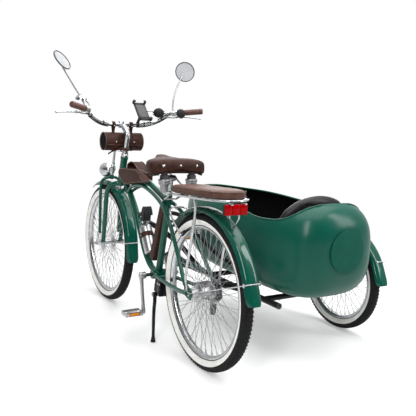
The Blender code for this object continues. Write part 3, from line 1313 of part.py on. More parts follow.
def cable_lock():
    """The coiled cable lock, as one ribbed roll on its strap."""
    centre = Vector((0.560, 0.0, 0.5855))
    way = Vector((0.97, 0.0, -0.22)).normalized()
    half = LOCK_LENGTH / 2
    ribs = 3
    pitch = LOCK_LENGTH / ribs
    profile = [(0.0, half)]
    for rib in range(ribs):
        top = half - rib * pitch
        profile += [(LOCK_RADIUS - 0.004, top), (LOCK_RADIUS, top - 0.5 * pitch)]
    profile += [(LOCK_RADIUS - 0.003, -half), (0.0, -half)]
    body = place(turned("cable_lock", centre, way, profile, 12), vehicle, PLASTIC)
    strap = rod("lock_strap", centre + way * (half - 0.004), (0.6758, 0.0, 0.5577), 0.0085, 8)
    return union(body, strap, ball("lock_head", (0.6762, 0.0, 0.5577), 0.0100, rings=5))


def controller():
    """The small box below the crank bearing."""
    body = block("controller", (0.4225, 0.0, 0.2494), (0.030, 0.040, 0.066), (0.0, radians(-12.0), 0.0), 0.004)
    return place(body, vehicle, LEATHER)


tank_bag()
battery()
bottle()
bottle_cage()
cable_lock()
controller()

# Sidecar: the tub, what is in it, and the chassis that carries it


def hull(name, offset, across=20, along=22):
    """The tub's closed outer form, blunt at the rear and drawn out to a nose at the front."""
    bm = bmesh.new()
    bmesh.ops.create_uvsphere(bm, u_segments=across, v_segments=along, radius=1.0)
    squareness = 2.6
    for vert in bm.verts:
        share, side, up = vert.co.z, vert.co.x, vert.co.y
        turn = atan2(up, side)
        if share < 0.0:
            wide = (1.0 - min(1.0, abs(share)) ** 6) ** (1 / 3)
            tall = (1.0 - min(1.0, abs(share)) ** 9) ** (1 / 3)
            lift = 0.0
        else:
            wide = 1.0 - min(1.0, share) ** 2.5
            tall = (1.0 - min(1.0, share) ** 2.6) ** 0.75
            lift = 0.050 * share ** 2
        y = abs(cos(turn)) ** (2 / squareness) * (1 if cos(turn) > 0 else -1)
        z = abs(sin(turn)) ** (2 / squareness) * (1 if sin(turn) > 0 else -1)
        vert.co = Vector((TUB_MIDDLE_X + (TUB_HALF_LENGTH + offset) * share,
                          TUB_Y + (TUB_HALF_WIDTH + offset) * wide * y,
                          TUB_MIDDLE_Z + lift + (TUB_HALF_HEIGHT + offset) * tall * z))
    return mesh_object(name, bm)


OPENING = [(-0.130, 0.900), (-0.108, 0.742), (-0.092, 0.700), (-0.062, 0.664), (-0.010, 0.648), (0.100, 0.647),
           (0.300, 0.656), (0.600, 0.667), (0.820, 0.673), (0.900, 0.684), (0.950, 0.712), (0.975, 0.760),
           (0.985, 0.900)]


def tub():
    """The shell with its opening cut by the line of its rim."""
    body = place(hull("sidecar_tub", 0.0), vehicle, GREEN)
    wall = body.modifiers.new("wall", "SOLIDIFY")
    wall.thickness = TUB_WALL
    wall.offset = -1.0
    return cut(body, side_plate("tub_opening", OPENING, 0.800, TUB_Y))


def within_tub(name, centre, size, paint):
    """A piece that fills the tub from wall to wall inside a box."""
    body = place(hull(name, -TUB_WALL - 0.0008), vehicle, paint)
    return combine(body, [block(name + "_box", centre, size)], "INTERSECT")


FLOOR_Z = 0.300
FLOOR_THICKNESS = 0.010
SEAT_HEIGHT = 0.095


def tub_inside():
    """The floor, the seat cushion and the padded back with its roll."""
    seat = place(hull("sidecar_seat", -TUB_WALL - 0.0008), vehicle, VINYL)
    space = block("floor_box", (0.330, TUB_Y, FLOOR_Z + FLOOR_THICKNESS / 2), (0.940, 0.600, FLOOR_THICKNESS))
    cushion = block("cushion_box", (0.145, TUB_Y, FLOOR_Z + SEAT_HEIGHT / 2 + 0.002), (0.400, 0.400, SEAT_HEIGHT))
    combine(seat, [space], "INTERSECT")
    union(space, cushion)
    low = FLOOR_Z + FLOOR_THICKNESS + GAP
    high = 0.630
    back = within_tub("sidecar_backrest", (-0.102, TUB_Y, (low + high) / 2), (0.092, 0.360, high - low), VINYL)
    roll = tube("backrest_roll", [(-0.018, TUB_Y + 0.178, 0.628), (-0.040, TUB_Y + 0.115, 0.672),
                                  (-0.050, TUB_Y, 0.698), (-0.040, TUB_Y - 0.115, 0.672),
                                  (-0.018, TUB_Y - 0.178, 0.628)], 0.0330, smooth=2, sides=3)
    neck = block("backrest_neck", (-0.070, TUB_Y, 0.650), (0.026, 0.200, 0.060))
    union(back, roll, neck)


def badge():
    """The blank disc on the tub's rear end."""
    body = place(hull("sidecar_badge", 0.0026), vehicle, BADGE)
    middle = (TUB_MIDDLE_X - TUB_HALF_LENGTH, TUB_Y, 0.513)
    combine(body, [cylinder("badge_round", middle, (1, 0, 0), BADGE_RADIUS, 0.100, 28)], "INTERSECT")
    return cut(body, hull("badge_inside", GAP))


BADGE = ("badge_green", (0.020, 0.120, 0.075), 0.35, 0.0)
CHASSIS_Z = TUB_MIDDLE_Z - TUB_HALF_HEIGHT - GAP - RAIL_RADIUS


def chassis():
    """Two rails and three cross tubes under the tub, the axle boss and the braces to the bicycle."""
    z = CHASSIS_Z
    left, right = LEFT_RAIL_Y, RIGHT_RAIL_Y
    body = tube("sidecar_chassis", [(-0.094, left, z), (0.020, left, z), (0.440, left, z), (0.560, left, z + 0.006),
                                    (0.640, left + 0.020, z + 0.045), (0.664, -0.250, 0.375),
                                    (0.672, -0.120, 0.478), (0.676, -0.045, 0.520)], RAIL_RADIUS, smooth=1)
    place(body, vehicle, BLACK)
    right_rail = tube("right_rail", [(0.000, right, z), (0.250, right, z), (0.500, right, z)], RAIL_RADIUS,
                      smooth=1)
    union(body, right_rail)
    for x in (0.020, 0.260, 0.490):
        union(body, rod("cross_tube", (x, left, z), (x, right, z), RAIL_RADIUS * 0.96, 8))
    boss_end = SIDE_WHEEL_Y + SIDE_HUB_HALF + GAP
    boss = rod("axle_boss", (SIDE_WHEEL_X, right + 0.010, SIDE_TYRE_RADIUS), (SIDE_WHEEL_X, boss_end, SIDE_TYRE_RADIUS),
               0.0175, 12)
    union(body, boss)
    post_y = (TUB_Y - TUB_HALF_WIDTH + SIDE_WHEEL_Y + GUARD_HALF_WIDTH + 0.003) / 2
    tab_z = SIDE_TYRE_RADIUS + SIDE_GUARD_RADIUS - GUARD_DEPTH * 0.75
    post = tube("guard_post", [(SIDE_WHEEL_X, right, z), (SIDE_WHEEL_X, post_y, z + 0.040),
                               (SIDE_WHEEL_X, post_y, tab_z + 0.004)], 0.0070, smooth=1)
    tab = rod("guard_tab", (SIDE_WHEEL_X, post_y, tab_z),
              (SIDE_WHEEL_X, SIDE_WHEEL_Y + GUARD_HALF_WIDTH + 0.003 + GAP, tab_z), 0.0045, 8)
    union(body, post, tab)
    # The lower brace ends at the right chain stay, the upper brace at the seat tube
    y, stay_z = stay_place(0.170)
    pad_y = -(y + CHAIN_STAY_RADIUS + GAP + 0.0013)
    lower = tube("lower_brace", [(0.130, left, z), (0.160, left + 0.090, z + 0.030), (0.170, -0.120, stay_z),
                                 (0.170, pad_y, stay_z)], 0.0110, smooth=1)
    union(body, lower)
    upper_y = -(SEAT_TUBE_RADIUS + GAP)
    upper = tube("upper_brace", [(0.130, left, z), (0.140, left + 0.016, z + 0.080), (0.240, -0.190, 0.440),
                                 (0.340, -0.060, 0.6020), (0.3665, -0.030, 0.6120), (0.3665, upper_y, 0.6120)],
                 0.0100, smooth=1)
    union(body, upper)
    front_pad = cylinder("front_pad", (0.688, -0.0250, 0.5320), (0, 1, 0), 0.0120, 0.0170, 10)
    link = rod("front_link", (0.676, -0.045, 0.5200), (0.688, -0.0290, 0.5320), 0.0110, 8)
    union(body, link, front_pad)
    bore = cylinder("axle_bore", (SIDE_WHEEL_X, right - 0.020, SIDE_TYRE_RADIUS), (0, 1, 0),
                    AXLE_RADIUS + BORE_GAP, 0.0600, 10)
    return cut(body, bore)


def side_axle_piece():
    """The sidecar wheel's stub axle, with its outer nut."""
    end = SIDE_AXLE_END
    inner = RIGHT_RAIL_Y + 0.008
    body = rod("sidecar_axle", (SIDE_WHEEL_X, inner, SIDE_TYRE_RADIUS), (SIDE_WHEEL_X, end, SIDE_TYRE_RADIUS),
               AXLE_RADIUS, 8)
    place(body, vehicle, STEEL)
    start = SIDE_WHEEL_Y - SIDE_HUB_HALF - GAP
    union(body, rod("axle_nut", (SIDE_WHEEL_X, start, SIDE_TYRE_RADIUS),
                    (SIDE_WHEEL_X, end + 0.004, SIDE_TYRE_RADIUS), 0.0095, 6))
    reach = SIDE_GUARD_RADIUS + GAP + STAY_RADIUS
    x1, z1 = guard_point(side_centre, radians(150.0), SIDE_GUARD_RADIUS - GUARD_DEPTH * 0.5)
    x2, z2 = guard_point(side_centre, radians(150.0), reach)
    half = GUARD_HALF_WIDTH + 0.003 + 0.0006 + STAY_RADIUS
    wire = [(SIDE_WHEEL_X, start - 0.004, SIDE_TYRE_RADIUS), (x1, SIDE_WHEEL_Y - half, z1),
            (x2, SIDE_WHEEL_Y - half * 0.80, z2), (x2, SIDE_WHEEL_Y + half * 0.80, z2)]
    return union(body, tube("side_stay", wire, STAY_RADIUS, smooth=1))


tub()
tub_inside()
badge()
chassis()
side_axle_piece()

bpy.context.view_layer.update()
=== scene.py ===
# %% [markdown]
# # A cruiser bicycle with a sidecar
#
# This lesson dresses a plain solid model of the vehicle. The plain model gives every place and
# every joint. Here each piece gets its finished shape and its surface: enamel, chrome, rubber
# and leather. All sizes are metres.

# %% Load the plain model
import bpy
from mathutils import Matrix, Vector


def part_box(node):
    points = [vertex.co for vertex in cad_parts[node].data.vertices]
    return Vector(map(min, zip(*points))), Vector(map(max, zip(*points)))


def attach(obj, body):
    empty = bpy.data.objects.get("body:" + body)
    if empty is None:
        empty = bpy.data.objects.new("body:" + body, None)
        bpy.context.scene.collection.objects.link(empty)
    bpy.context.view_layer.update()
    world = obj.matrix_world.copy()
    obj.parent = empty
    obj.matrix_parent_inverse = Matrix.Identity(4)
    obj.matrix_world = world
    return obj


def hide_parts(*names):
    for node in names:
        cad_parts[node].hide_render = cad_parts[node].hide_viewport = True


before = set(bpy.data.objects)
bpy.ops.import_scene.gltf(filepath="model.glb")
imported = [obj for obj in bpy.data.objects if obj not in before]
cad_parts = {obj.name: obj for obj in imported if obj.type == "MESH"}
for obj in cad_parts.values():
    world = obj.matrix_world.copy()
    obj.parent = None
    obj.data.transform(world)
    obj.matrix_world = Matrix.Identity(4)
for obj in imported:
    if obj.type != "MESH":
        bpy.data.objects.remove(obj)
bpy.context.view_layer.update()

from math import acos, asin, atan2, cos, hypot, pi, radians, sin

import bmesh
import bpy
from mathutils import Matrix, Vector

low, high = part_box("rear_tyre")
ORIGIN = Vector(((low[0] + high[0]) / 2, (low[1] + high[1]) / 2, 0.0))
print("floor point below the rear axle:", tuple(round(value, 4) for value in ORIGIN))

# %% [markdown]
# ## Places
#
# A bicycle is drawn from its rear axle: +X forward, +Y to the rider's left, +Z up, and zero on
# the floor below the axle. The plain model has its zero below the middle of its box. One small
# function turns a drawn place into a place in the model, so every number below can be read on
# a side view of the bicycle.


# %% Place a point
def at(point):
    """A drawn place, as a place in the model."""
    return Vector(point) + ORIGIN


def mirrored(points):
    """The same line on the right side."""
    return [(x, -y, z) for x, y, z in points]


def both_sides(points):
    """A left half line, made whole by its mirror image."""
    right = mirrored(reversed(points))
    return (right[:-1] if abs(points[0][1]) < 1e-6 else right) + list(points)


REAR = (0.0, 0.0, 0.333)
FRONT = (1.094, 0.0, 0.333)
SIDE = (0.139, -0.919, 0.26)
print("wheel centres:", [tuple(round(value, 3) for value in at(point)) for point in (REAR, FRONT, SIDE)])

# %% [markdown]
# ## Camera
#
# The photograph was taken from behind the left side at standing height. Its viewing angle was
# found by fitting the three wheels and the bars. The lens is given as the focal length on a
# 36 mm frame, and the camera leans by two degrees, as a hand-held one does.

# %% The camera
camera_data = bpy.data.cameras.new("camera")
camera_data.sensor_width = 36.0
camera_data.lens = 575.97 / 416.0 * 36.0
camera = bpy.data.objects.new("camera", camera_data)
bpy.context.scene.collection.objects.link(camera)
bpy.context.scene.camera = camera
yaw, pitch, roll = radians(-31.625), radians(-8.192), radians(2.427)
forward = Vector((cos(pitch) * cos(yaw), cos(pitch) * sin(yaw), sin(pitch)))
level = forward.cross(Vector((0.0, 0.0, 1.0))).normalized()
above = level.cross(forward)
right = level * cos(roll) + above * sin(roll)
upward = above * cos(roll) - level * sin(roll)
camera.matrix_world = Matrix.Translation(at((-2.0054, 1.2359, 1.0298))) @ Matrix((right, upward,
    -forward)).transposed().to_4x4()
print("lens:", round(camera_data.lens, 2), "mm")

# %% [markdown]
# ## Surfaces
#
# Every finish is a small graph of nodes. Noise that is fixed to the object breaks up each
# colour, shifts its gloss a little and adds fine relief, because no real surface is even.
# Values that are the same everywhere are set on the shader itself.


# %% Mix a finish
def finish(name, colour, second, rough, scale=40.0, relief=0.0, relief_scale=400.0, grain=False, depth=0.0006,
        spread=(0.35, 0.65), **fixed):
    """A procedural finish: two colours and two roughness values mixed by noise, with fine relief."""
    made = bpy.data.materials.new(name)
    made.use_nodes = True
    tree = made.node_tree
    shader = tree.nodes["Principled BSDF"]
    place = tree.nodes.new("ShaderNodeTexCoord")
    noise = tree.nodes.new("ShaderNodeTexNoise")
    noise.inputs["Scale"].default_value = scale
    noise.inputs["Detail"].default_value = 6.0
    tree.links.new(place.outputs["Object"], noise.inputs["Vector"])
    ramp = tree.nodes.new("ShaderNodeValToRGB")
    ramp.color_ramp.elements[0].position = spread[0]
    ramp.color_ramp.elements[1].position = spread[1]
    ramp.color_ramp.elements[0].color = (*colour, 1.0)
    ramp.color_ramp.elements[1].color = (*second, 1.0)
    tree.links.new(noise.outputs["Fac"], ramp.inputs["Fac"])
    tree.links.new(ramp.outputs["Color"], shader.inputs["Base Color"])
    gloss = tree.nodes.new("ShaderNodeMapRange")
    gloss.inputs["From Min"].default_value = 0.3
    gloss.inputs["From Max"].default_value = 0.7
    gloss.inputs["To Min"].default_value = rough[0]
    gloss.inputs["To Max"].default_value = rough[1]
    tree.links.new(noise.outputs["Fac"], gloss.inputs["Value"])
    tree.links.new(gloss.outputs["Result"], shader.inputs["Roughness"])
    if relief > 0.0:
        texture = tree.nodes.new("ShaderNodeTexVoronoi" if grain else "ShaderNodeTexNoise")
        texture.inputs["Scale"].default_value = relief_scale
        if grain:
            texture.feature = "DISTANCE_TO_EDGE"
        tree.links.new(place.outputs["Object"], texture.inputs["Vector"])
        raised = tree.nodes.new("ShaderNodeBump")
        raised.inputs["Strength"].default_value = relief
        raised.inputs["Distance"].default_value = depth
        tree.links.new(texture.outputs["Distance" if grain else "Fac"], raised.inputs["Height"])
        tree.links.new(raised.outputs["Normal"], shader.inputs["Normal"])
    for socket, value in fixed.items():
        shader.inputs[socket.replace("_", " ")].default_value = value
    made.diffuse_color = (*colour, 1.0)
    return made


# %% [markdown]
# ## Paint, metal and rubber
#
# The enamel is a deep green under a clear coat. Chrome is a bright metal with a trace of haze,
# while cast and forged pieces are duller. Tyre rubber is matt, and the white side walls are a
# little warm, because white rubber never stays pure white.

# %% Paint, metal and rubber
GREEN = finish("green enamel", (0.001, 0.06, 0.038), (0.002, 0.074, 0.048), (0.22, 0.32), 9.0, 0.04, 260.0,
    Specular_IOR_Level=0.05, Coat_Weight=0.6, Coat_Roughness=0.08)
TUB_GREEN = finish("green tub enamel", (0.002, 0.066, 0.044), (0.003, 0.078, 0.052), (0.36, 0.46), 5.0, 0.05,
    180.0, Specular_IOR_Level=0.05, Coat_Weight=0.34, Coat_Roughness=0.24)
BADGE_GREEN = finish("green disc", (0.004, 0.066, 0.044), (0.005, 0.078, 0.052), (0.55, 0.65), 30.0, 0.15,
    700.0, Specular_IOR_Level=0.1)
CHROME = finish("chrome plate", (0.54, 0.55, 0.56), (0.43, 0.44, 0.45), (0.18, 0.28), 60.0, Metallic=1.0)
SATIN = finish("satin steel", (0.5, 0.5, 0.51), (0.38, 0.38, 0.39), (0.3, 0.42), 90.0, 0.1, 900.0,
    Metallic=1.0)
SPOKE = finish("spoke steel", (0.34, 0.34, 0.35), (0.27, 0.27, 0.28), (0.4, 0.5), 120.0, Metallic=0.9)
DARK_STEEL = finish("dark steel", (0.025, 0.025, 0.027), (0.055, 0.055, 0.058), (0.35, 0.5), 120.0, 0.15,
    800.0, Metallic=0.6)
TREAD = finish("tread rubber", (0.007, 0.007, 0.008), (0.016, 0.016, 0.017), (0.65, 0.85), 120.0, 0.4, 900.0,
    Specular_IOR_Level=0.12)
WHITEWALL = finish("white rubber", (0.86, 0.85, 0.82), (0.76, 0.75, 0.72), (0.45, 0.6), 35.0, 0.15, 600.0)
BLACK = finish("black enamel", (0.005, 0.005, 0.006), (0.01, 0.01, 0.011), (0.3, 0.42), 40.0, 0.08, 500.0,
    Specular_IOR_Level=0.1, Coat_Weight=0.15, Coat_Roughness=0.1)
PLASTIC = finish("black plastic", (0.014, 0.014, 0.015), (0.028, 0.028, 0.03), (0.42, 0.6), 150.0, 0.25,
    1400.0, Specular_IOR_Level=0.14)
RUBBER = finish("black rubber", (0.012, 0.012, 0.012), (0.022, 0.021, 0.021), (0.5, 0.7), 80.0, 0.2, 1200.0,
    Specular_IOR_Level=0.12)
CABLE = finish("cable sleeve", (0.01, 0.01, 0.011), (0.022, 0.022, 0.023), (0.35, 0.5), 200.0, 0.2, 2500.0,
    Specular_IOR_Level=0.15)
print("paint, metal and rubber:", len(bpy.data.materials))

# %% [markdown]
# ## Leather, vinyl, lenses
#
# Leather gets cells of grain from a Voronoi pattern, dark in the creases and worn paler along
# its cut edges. Lenses are glossy with small facets, which a Voronoi pattern also gives.

# %% Leather, vinyl, lenses
LEATHER = finish("brown leather", (0.026, 0.01, 0.007), (0.05, 0.02, 0.014), (0.46, 0.6), 45.0, 0.55, 620.0,
    True, Specular_IOR_Level=0.12)
PALE_LEATHER = finish("cushion leather", (0.08, 0.038, 0.028), (0.125, 0.064, 0.048), (0.42, 0.54), 35.0, 0.5,
    560.0, True, Specular_IOR_Level=0.14)
EDGE_LEATHER = finish("worn leather edge", (0.1, 0.05, 0.032), (0.055, 0.026, 0.018), (0.45, 0.65), 140.0,
    0.4, 900.0)
GRIP_LEATHER = finish("wrapped grip leather", (0.07, 0.026, 0.018), (0.11, 0.045, 0.03), (0.35, 0.55), 70.0,
    0.6, 800.0, True)
THREAD = finish("waxed thread", (0.17, 0.11, 0.07), (0.24, 0.16, 0.1), (0.6, 0.8), 300.0, 0.4, 2000.0)
VINYL = finish("black vinyl", (0.008, 0.008, 0.009), (0.017, 0.017, 0.018), (0.42, 0.55), 50.0, 0.35, 700.0,
    True, Specular_IOR_Level=0.1, Coat_Weight=0.2, Coat_Roughness=0.3)
LINING = finish("black lining", (0.004, 0.004, 0.004), (0.008, 0.008, 0.008), (0.7, 0.85), 60.0, 0.3, 900.0,
    Specular_IOR_Level=0.05)
CARPET = finish("black carpet", (0.01, 0.01, 0.01), (0.028, 0.027, 0.026), (0.85, 1.0), 300.0, 0.8, 1500.0)
RED = finish("red lens", (0.4, 0.001, 0.002), (0.22, 0.0, 0.001), (0.22, 0.34), 160.0, 0.4, 420.0, True,
    Specular_IOR_Level=0.03, Coat_Weight=0.12, Coat_Roughness=0.05)
AMBER = finish("amber lens", (0.72, 0.27, 0.02), (0.58, 0.19, 0.01), (0.2, 0.32), 200.0, 0.4, 500.0, True,
    Specular_IOR_Level=0.2, Coat_Weight=0.2, Coat_Roughness=0.08)
# The mirror glass gets a grey base colour that is a painted reflection, standing in for what the glass
# mirrors.
MIRROR_PAINTED_REFLECTION = finish("mirror glass with painted reflection", (0.4, 0.41, 0.42), (0.34, 0.35, 0.36), (0.08, 0.14), 20.0,
    Specular_IOR_Level=0.2, Coat_Weight=0.2, Coat_Roughness=0.02)
LENS = finish("lamp glass", (0.8, 0.82, 0.84), (0.7, 0.73, 0.76), (0.04, 0.12), 60.0, 0.4, 160.0, True,
    Coat_Weight=1.0, Coat_Roughness=0.03, Metallic=0.5)
FOAM = finish("grey foam mesh", (0.045, 0.045, 0.048), (0.11, 0.11, 0.115), (0.7, 0.9), 500.0, 0.8, 1200.0,
    True)
print("all finishes:", len(bpy.data.materials))

# %% [markdown]
# ## Making shapes
#
# Bicycle makers bend tube, turn parts on a lathe, punch plates and forge blocks. The helpers
# here do the same with bmesh operators: a circle is extruded along a line, a profile is spun
# about an axis, an outline is extruded, and a cube is bevelled. Each shape is made on its own
# and then taken into one mesh for the piece, because operators get slow in a large mesh.


# %% A smooth line for a tube
def smooth_line(knots, sizes, steps, loop=False):
    """Points on a smooth curve through the knots, with sizes that change evenly between them."""
    if steps <= 1:
        return list(knots), list(sizes)
    count = len(knots)
    line, radii = [], []
    for i in range(count if loop else count - 1):
        p1, p2 = knots[i], knots[(i + 1) % count]
        p0 = knots[i - 1] if (i > 0 or loop) else p1 * 2 - p2
        p3 = knots[(i + 2) % count] if (i + 2 < count or loop) else p2 * 2 - p1
        d1, d2, d3 = [max((b - a).length, 1e-6) ** 0.5 for a, b in ((p0, p1), (p1, p2), (p2, p3))]
        m1 = (p2 - p1) + ((p1 - p0) / d1 - (p2 - p0) / (d1 + d2)) * d2
        m2 = (p2 - p1) + ((p3 - p2) / d3 - (p3 - p1) / (d2 + d3)) * d2
        for step in range(steps):
            t = step / steps
            line.append(p1 * (2 * t ** 3 - 3 * t ** 2 + 1) + m1 * (t ** 3 - 2 * t ** 2 + t)
                + p2 * (3 * t ** 2 - 2 * t ** 3) + m2 * (t ** 3 - t ** 2))
            radii.append(sizes[i] * (1 - t) + sizes[(i + 1) % count] * t)
    if not loop:
        line.append(knots[-1])
        radii.append(sizes[-1])
    return line, radii


def stations(line, loop, start):
    """A turning matrix at each point of a line, whose Z axis runs along it without twisting."""
    count = len(line)
    ways = []
    for i in range(count):
        before = line[i - 1] if (i > 0 or loop) else line[i]
        after = line[(i + 1) % count] if (i < count - 1 or loop) else line[i]
        ways.append((after - before).normalized())
    side = Vector(start) if start else (ways[0].orthogonal() if abs(ways[0].z) > 0.99
        else ways[0].cross(Vector((0.0, 0.0, 1.0))))
    sides = []
    for way in ways:
        side = (side - way * side.dot(way)).normalized()
        sides.append(side)
    twist = 0.0
    if loop:
        last = (side - ways[0] * side.dot(ways[0])).normalized()
        twist = atan2(ways[0].dot(last.cross(sides[0])), last.dot(sides[0]))
    turns = []
    for i, (way, side) in enumerate(zip(ways, sides)):
        side = Matrix.Rotation(twist * i / count, 3, way) @ side
        turns.append(Matrix((side, way.cross(side), way)).transposed().to_4x4())
    return turns


def turned_to(way, centre):
    """The matrix that puts a shape made about +Z at a drawn place, along a direction."""
    return Matrix.Translation(at(centre)) @ Vector(way).to_track_quat("Z", "Y").to_matrix().to_4x4()


# %% A piece that collects shapes
class Piece:
    """One mesh that is built up from shapes, each with one of the piece's finishes."""

    def __init__(self, name, *finishes):
        self.name = name
        self.finishes = finishes
        self.whole = bmesh.new()

    def take(self, shape, paint=0):
        """Take a finished shape in, with its faces turned outwards."""
        bmesh.ops.recalc_face_normals(shape, faces=shape.faces[:])
        for face in shape.faces:
            face.smooth = True
            if paint is not None:
                face.material_index = paint
        carrier = bpy.data.meshes.new("shape")
        shape.to_mesh(carrier)
        shape.free()
        self.whole.from_mesh(carrier)
        bpy.data.meshes.remove(carrier)

    def tube(self, points, radius, paint=0, sides=14, steps=6, loop=False, flat=1.0, start=None):
        """A bent tube through drawn points. radius is one value, or one for each point."""
        sizes = list(radius) if isinstance(radius, (list, tuple)) else [radius] * len(points)
        line, sizes = smooth_line([at(point) for point in points], sizes, steps, loop)
        places = [Matrix.Translation(point) @ turn @ Matrix.Diagonal((size * flat, size, size, 1.0))
            for point, turn, size in zip(line, stations(line, loop, start), sizes)]
        shape = bmesh.new()
        bmesh.ops.create_circle(shape, segments=sides, radius=1.0)
        bmesh.ops.transform(shape, matrix=places[0], verts=shape.verts)
        first = edges = shape.edges[:]
        for before, here in zip(places, places[1:]):
            new = bmesh.ops.extrude_edge_only(shape, edges=edges)["geom"]
            verts = {item for item in new if isinstance(item, bmesh.types.BMVert)}
            edges = [item for item in new if isinstance(item, bmesh.types.BMEdge)
                and set(item.verts) <= verts]
            bmesh.ops.transform(shape, matrix=here @ before.inverted(), verts=list(verts))
        if loop:
            bmesh.ops.bridge_loops(shape, edges=first + edges)
        else:
            bmesh.ops.holes_fill(shape, edges=shape.edges[:], sides=0)
        self.take(shape, paint)

    def turned(self, centre, way, profile, paint=0, sides=40, ring=False):
        """A turned shape. The profile has (radius, height) pairs, each with a finish if it differs."""
        shape = bmesh.new()
        points = [shape.verts.new((item[0], 0.0, item[1])) for item in profile]
        for i in range(len(points) if ring else len(points) - 1):
            shape.edges.new((points[i], points[(i + 1) % len(points)]))
        bmesh.ops.spin(shape, geom=shape.verts[:] + shape.edges[:], axis=(0, 0, 1), cent=(0, 0, 0),
            angle=2 * pi, steps=sides, use_merge=True)
        bmesh.ops.remove_doubles(shape, verts=shape.verts, dist=0.000001)
        if any(len(item) > 2 for item in profile):
            middles = []
            for i, item in enumerate(profile):
                before = profile[i - 1]
                middles.append(((item[0] + before[0]) / 2, (item[1] + before[1]) / 2,
                    item[2] if len(item) > 2 else paint))
            for face in shape.faces:
                spots = {(round(hypot(v.co.x, v.co.y), 5), round(v.co.z, 5)) for v in face.verts}
                r = sum(spot[0] for spot in spots) / len(spots)
                z = sum(spot[1] for spot in spots) / len(spots)
                face.material_index = min(middles, key=lambda m: hypot(m[0] - r, m[1] - z))[2]
            paint = None
        bmesh.ops.transform(shape, matrix=turned_to(way, centre), verts=shape.verts)
        self.take(shape, paint)

    def block(self, centre, size, axes=None, round_by=0.002, paint=0, segments=2):
        """A block with rounded edges. axes are its own X, Y and Z directions."""
        shape = bmesh.new()
        bmesh.ops.create_cube(shape, size=1.0)
        bmesh.ops.scale(shape, vec=Vector(size), verts=shape.verts)
        if round_by > 0.0:
            bmesh.ops.bevel(shape, geom=shape.edges[:], offset=round_by, offset_type="OFFSET",
                segments=segments, profile=0.5, affect="EDGES", material=-1, clamp_overlap=True)
        turn = Matrix.Identity(3)
        if axes:
            turn = Matrix([Vector(axis).normalized() for axis in axes]).transposed()
        bmesh.ops.transform(shape, matrix=Matrix.Translation(at(centre)) @ turn.to_4x4(), verts=shape.verts)
        self.take(shape, paint)

    def ball(self, centre, radius, stretch=(1.0, 1.0, 1.0), paint=0, rings=12):
        """A ball, stretched along the vehicle's axes."""
        shape = bmesh.new()
        bmesh.ops.create_uvsphere(shape, u_segments=2 * rings, v_segments=rings, radius=radius)
        bmesh.ops.scale(shape, vec=Vector(stretch), verts=shape.verts)
        bmesh.ops.translate(shape, vec=at(centre), verts=shape.verts)
        self.take(shape, paint)

    def plate(self, outline, y, thickness, paint=0, round_by=0.0006, holes=()):
        """A punched plate that stands along the vehicle, from its outline in (x, z)."""
        shape = bmesh.new()
        edges = []
        for loop in (outline, *holes):
            corners = [shape.verts.new(at((x, y - thickness / 2, z))) for x, z in loop]
            edges += [shape.edges.new((corners[i - 1], corners[i])) for i in range(len(corners))]
        if holes:
            bmesh.ops.triangle_fill(shape, edges=edges, use_beauty=True, use_dissolve=False)
        else:
            bmesh.ops.edgeloop_fill(shape, edges=edges)
        made = bmesh.ops.extrude_face_region(shape, geom=shape.faces[:])["geom"]
        moved = [item for item in made if isinstance(item, bmesh.types.BMVert)]
        bmesh.ops.translate(shape, verts=moved, vec=(0.0, thickness, 0.0))
        if round_by > 0.0:
            rims = [edge for edge in shape.edges if len(edge.link_faces) == 2
                and edge.calc_face_angle(0.0) > 1.2 and abs(edge.verts[0].co.y - edge.verts[1].co.y) < 1e-6]
            bmesh.ops.bevel(shape, geom=rims, offset=round_by, offset_type="OFFSET", segments=2, profile=0.5,
                affect="EDGES", material=-1, clamp_overlap=True)
        self.take(shape, paint)

    def bolt(self, centre, way, radius=0.005, height=0.004, paint=0):
        """A domed bolt head on its washer."""
        self.turned(centre, way, [(0.0, height), (radius * 0.55, height * 0.92),
            (radius * 0.9, height * 0.55), (radius, height * 0.25), (radius * 1.35, height * 0.22),
            (radius * 1.4, -height * 0.2), (0.0, -height * 0.2)], paint, 16)

    def nut(self, centre, way, radius=0.008, height=0.007, paint=0):
        """A hexagon nut with the end of its thread."""
        self.turned(centre, way, [(0.0, height / 2), (radius * 0.85, height / 2), (radius, height * 0.38),
            (radius, -height / 2), (0.0, -height / 2)], paint, 6)
        self.turned(centre, way, [(0.0, height * 0.95), (radius * 0.45, height * 0.9),
            (radius * 0.5, height * 0.4), (0.0, height * 0.4)], paint, 12)

    def done(self, body, *nodes, slot=None, sharp=35.0):
        """Make the object, let it ride on its body and stand for plain nodes."""
        mesh = bpy.data.meshes.new(self.name)
        self.whole.to_mesh(mesh)
        self.whole.free()
        for paint in self.finishes:
            mesh.materials.append(paint)
        mesh.set_sharp_from_angle(angle=radians(sharp))
        made = bpy.data.objects.new(self.name, mesh)
        bpy.context.scene.collection.objects.link(made)
        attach(made, body)
        if nodes:
            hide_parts(*nodes)
        print(f"{self.name}: {len(mesh.polygons)} faces, rides on {body}")
        return made


def about(centre, angle, radius, y=0.0):
    """A point at an angle about a wheel's axle, in the wheel's plane or beside it."""
    return centre[0] + radius * cos(angle), centre[1] + y, centre[2] + radius * sin(angle)

# %% [markdown]
# ## Tyres
#
# A balloon tyre is a torus with a broad white side wall and a black tread. A closed section is
# spun round the axle, and each stretch of the section carries its own finish. The tread blocks
# are five small cubes, copied round the tyre by spinning them.


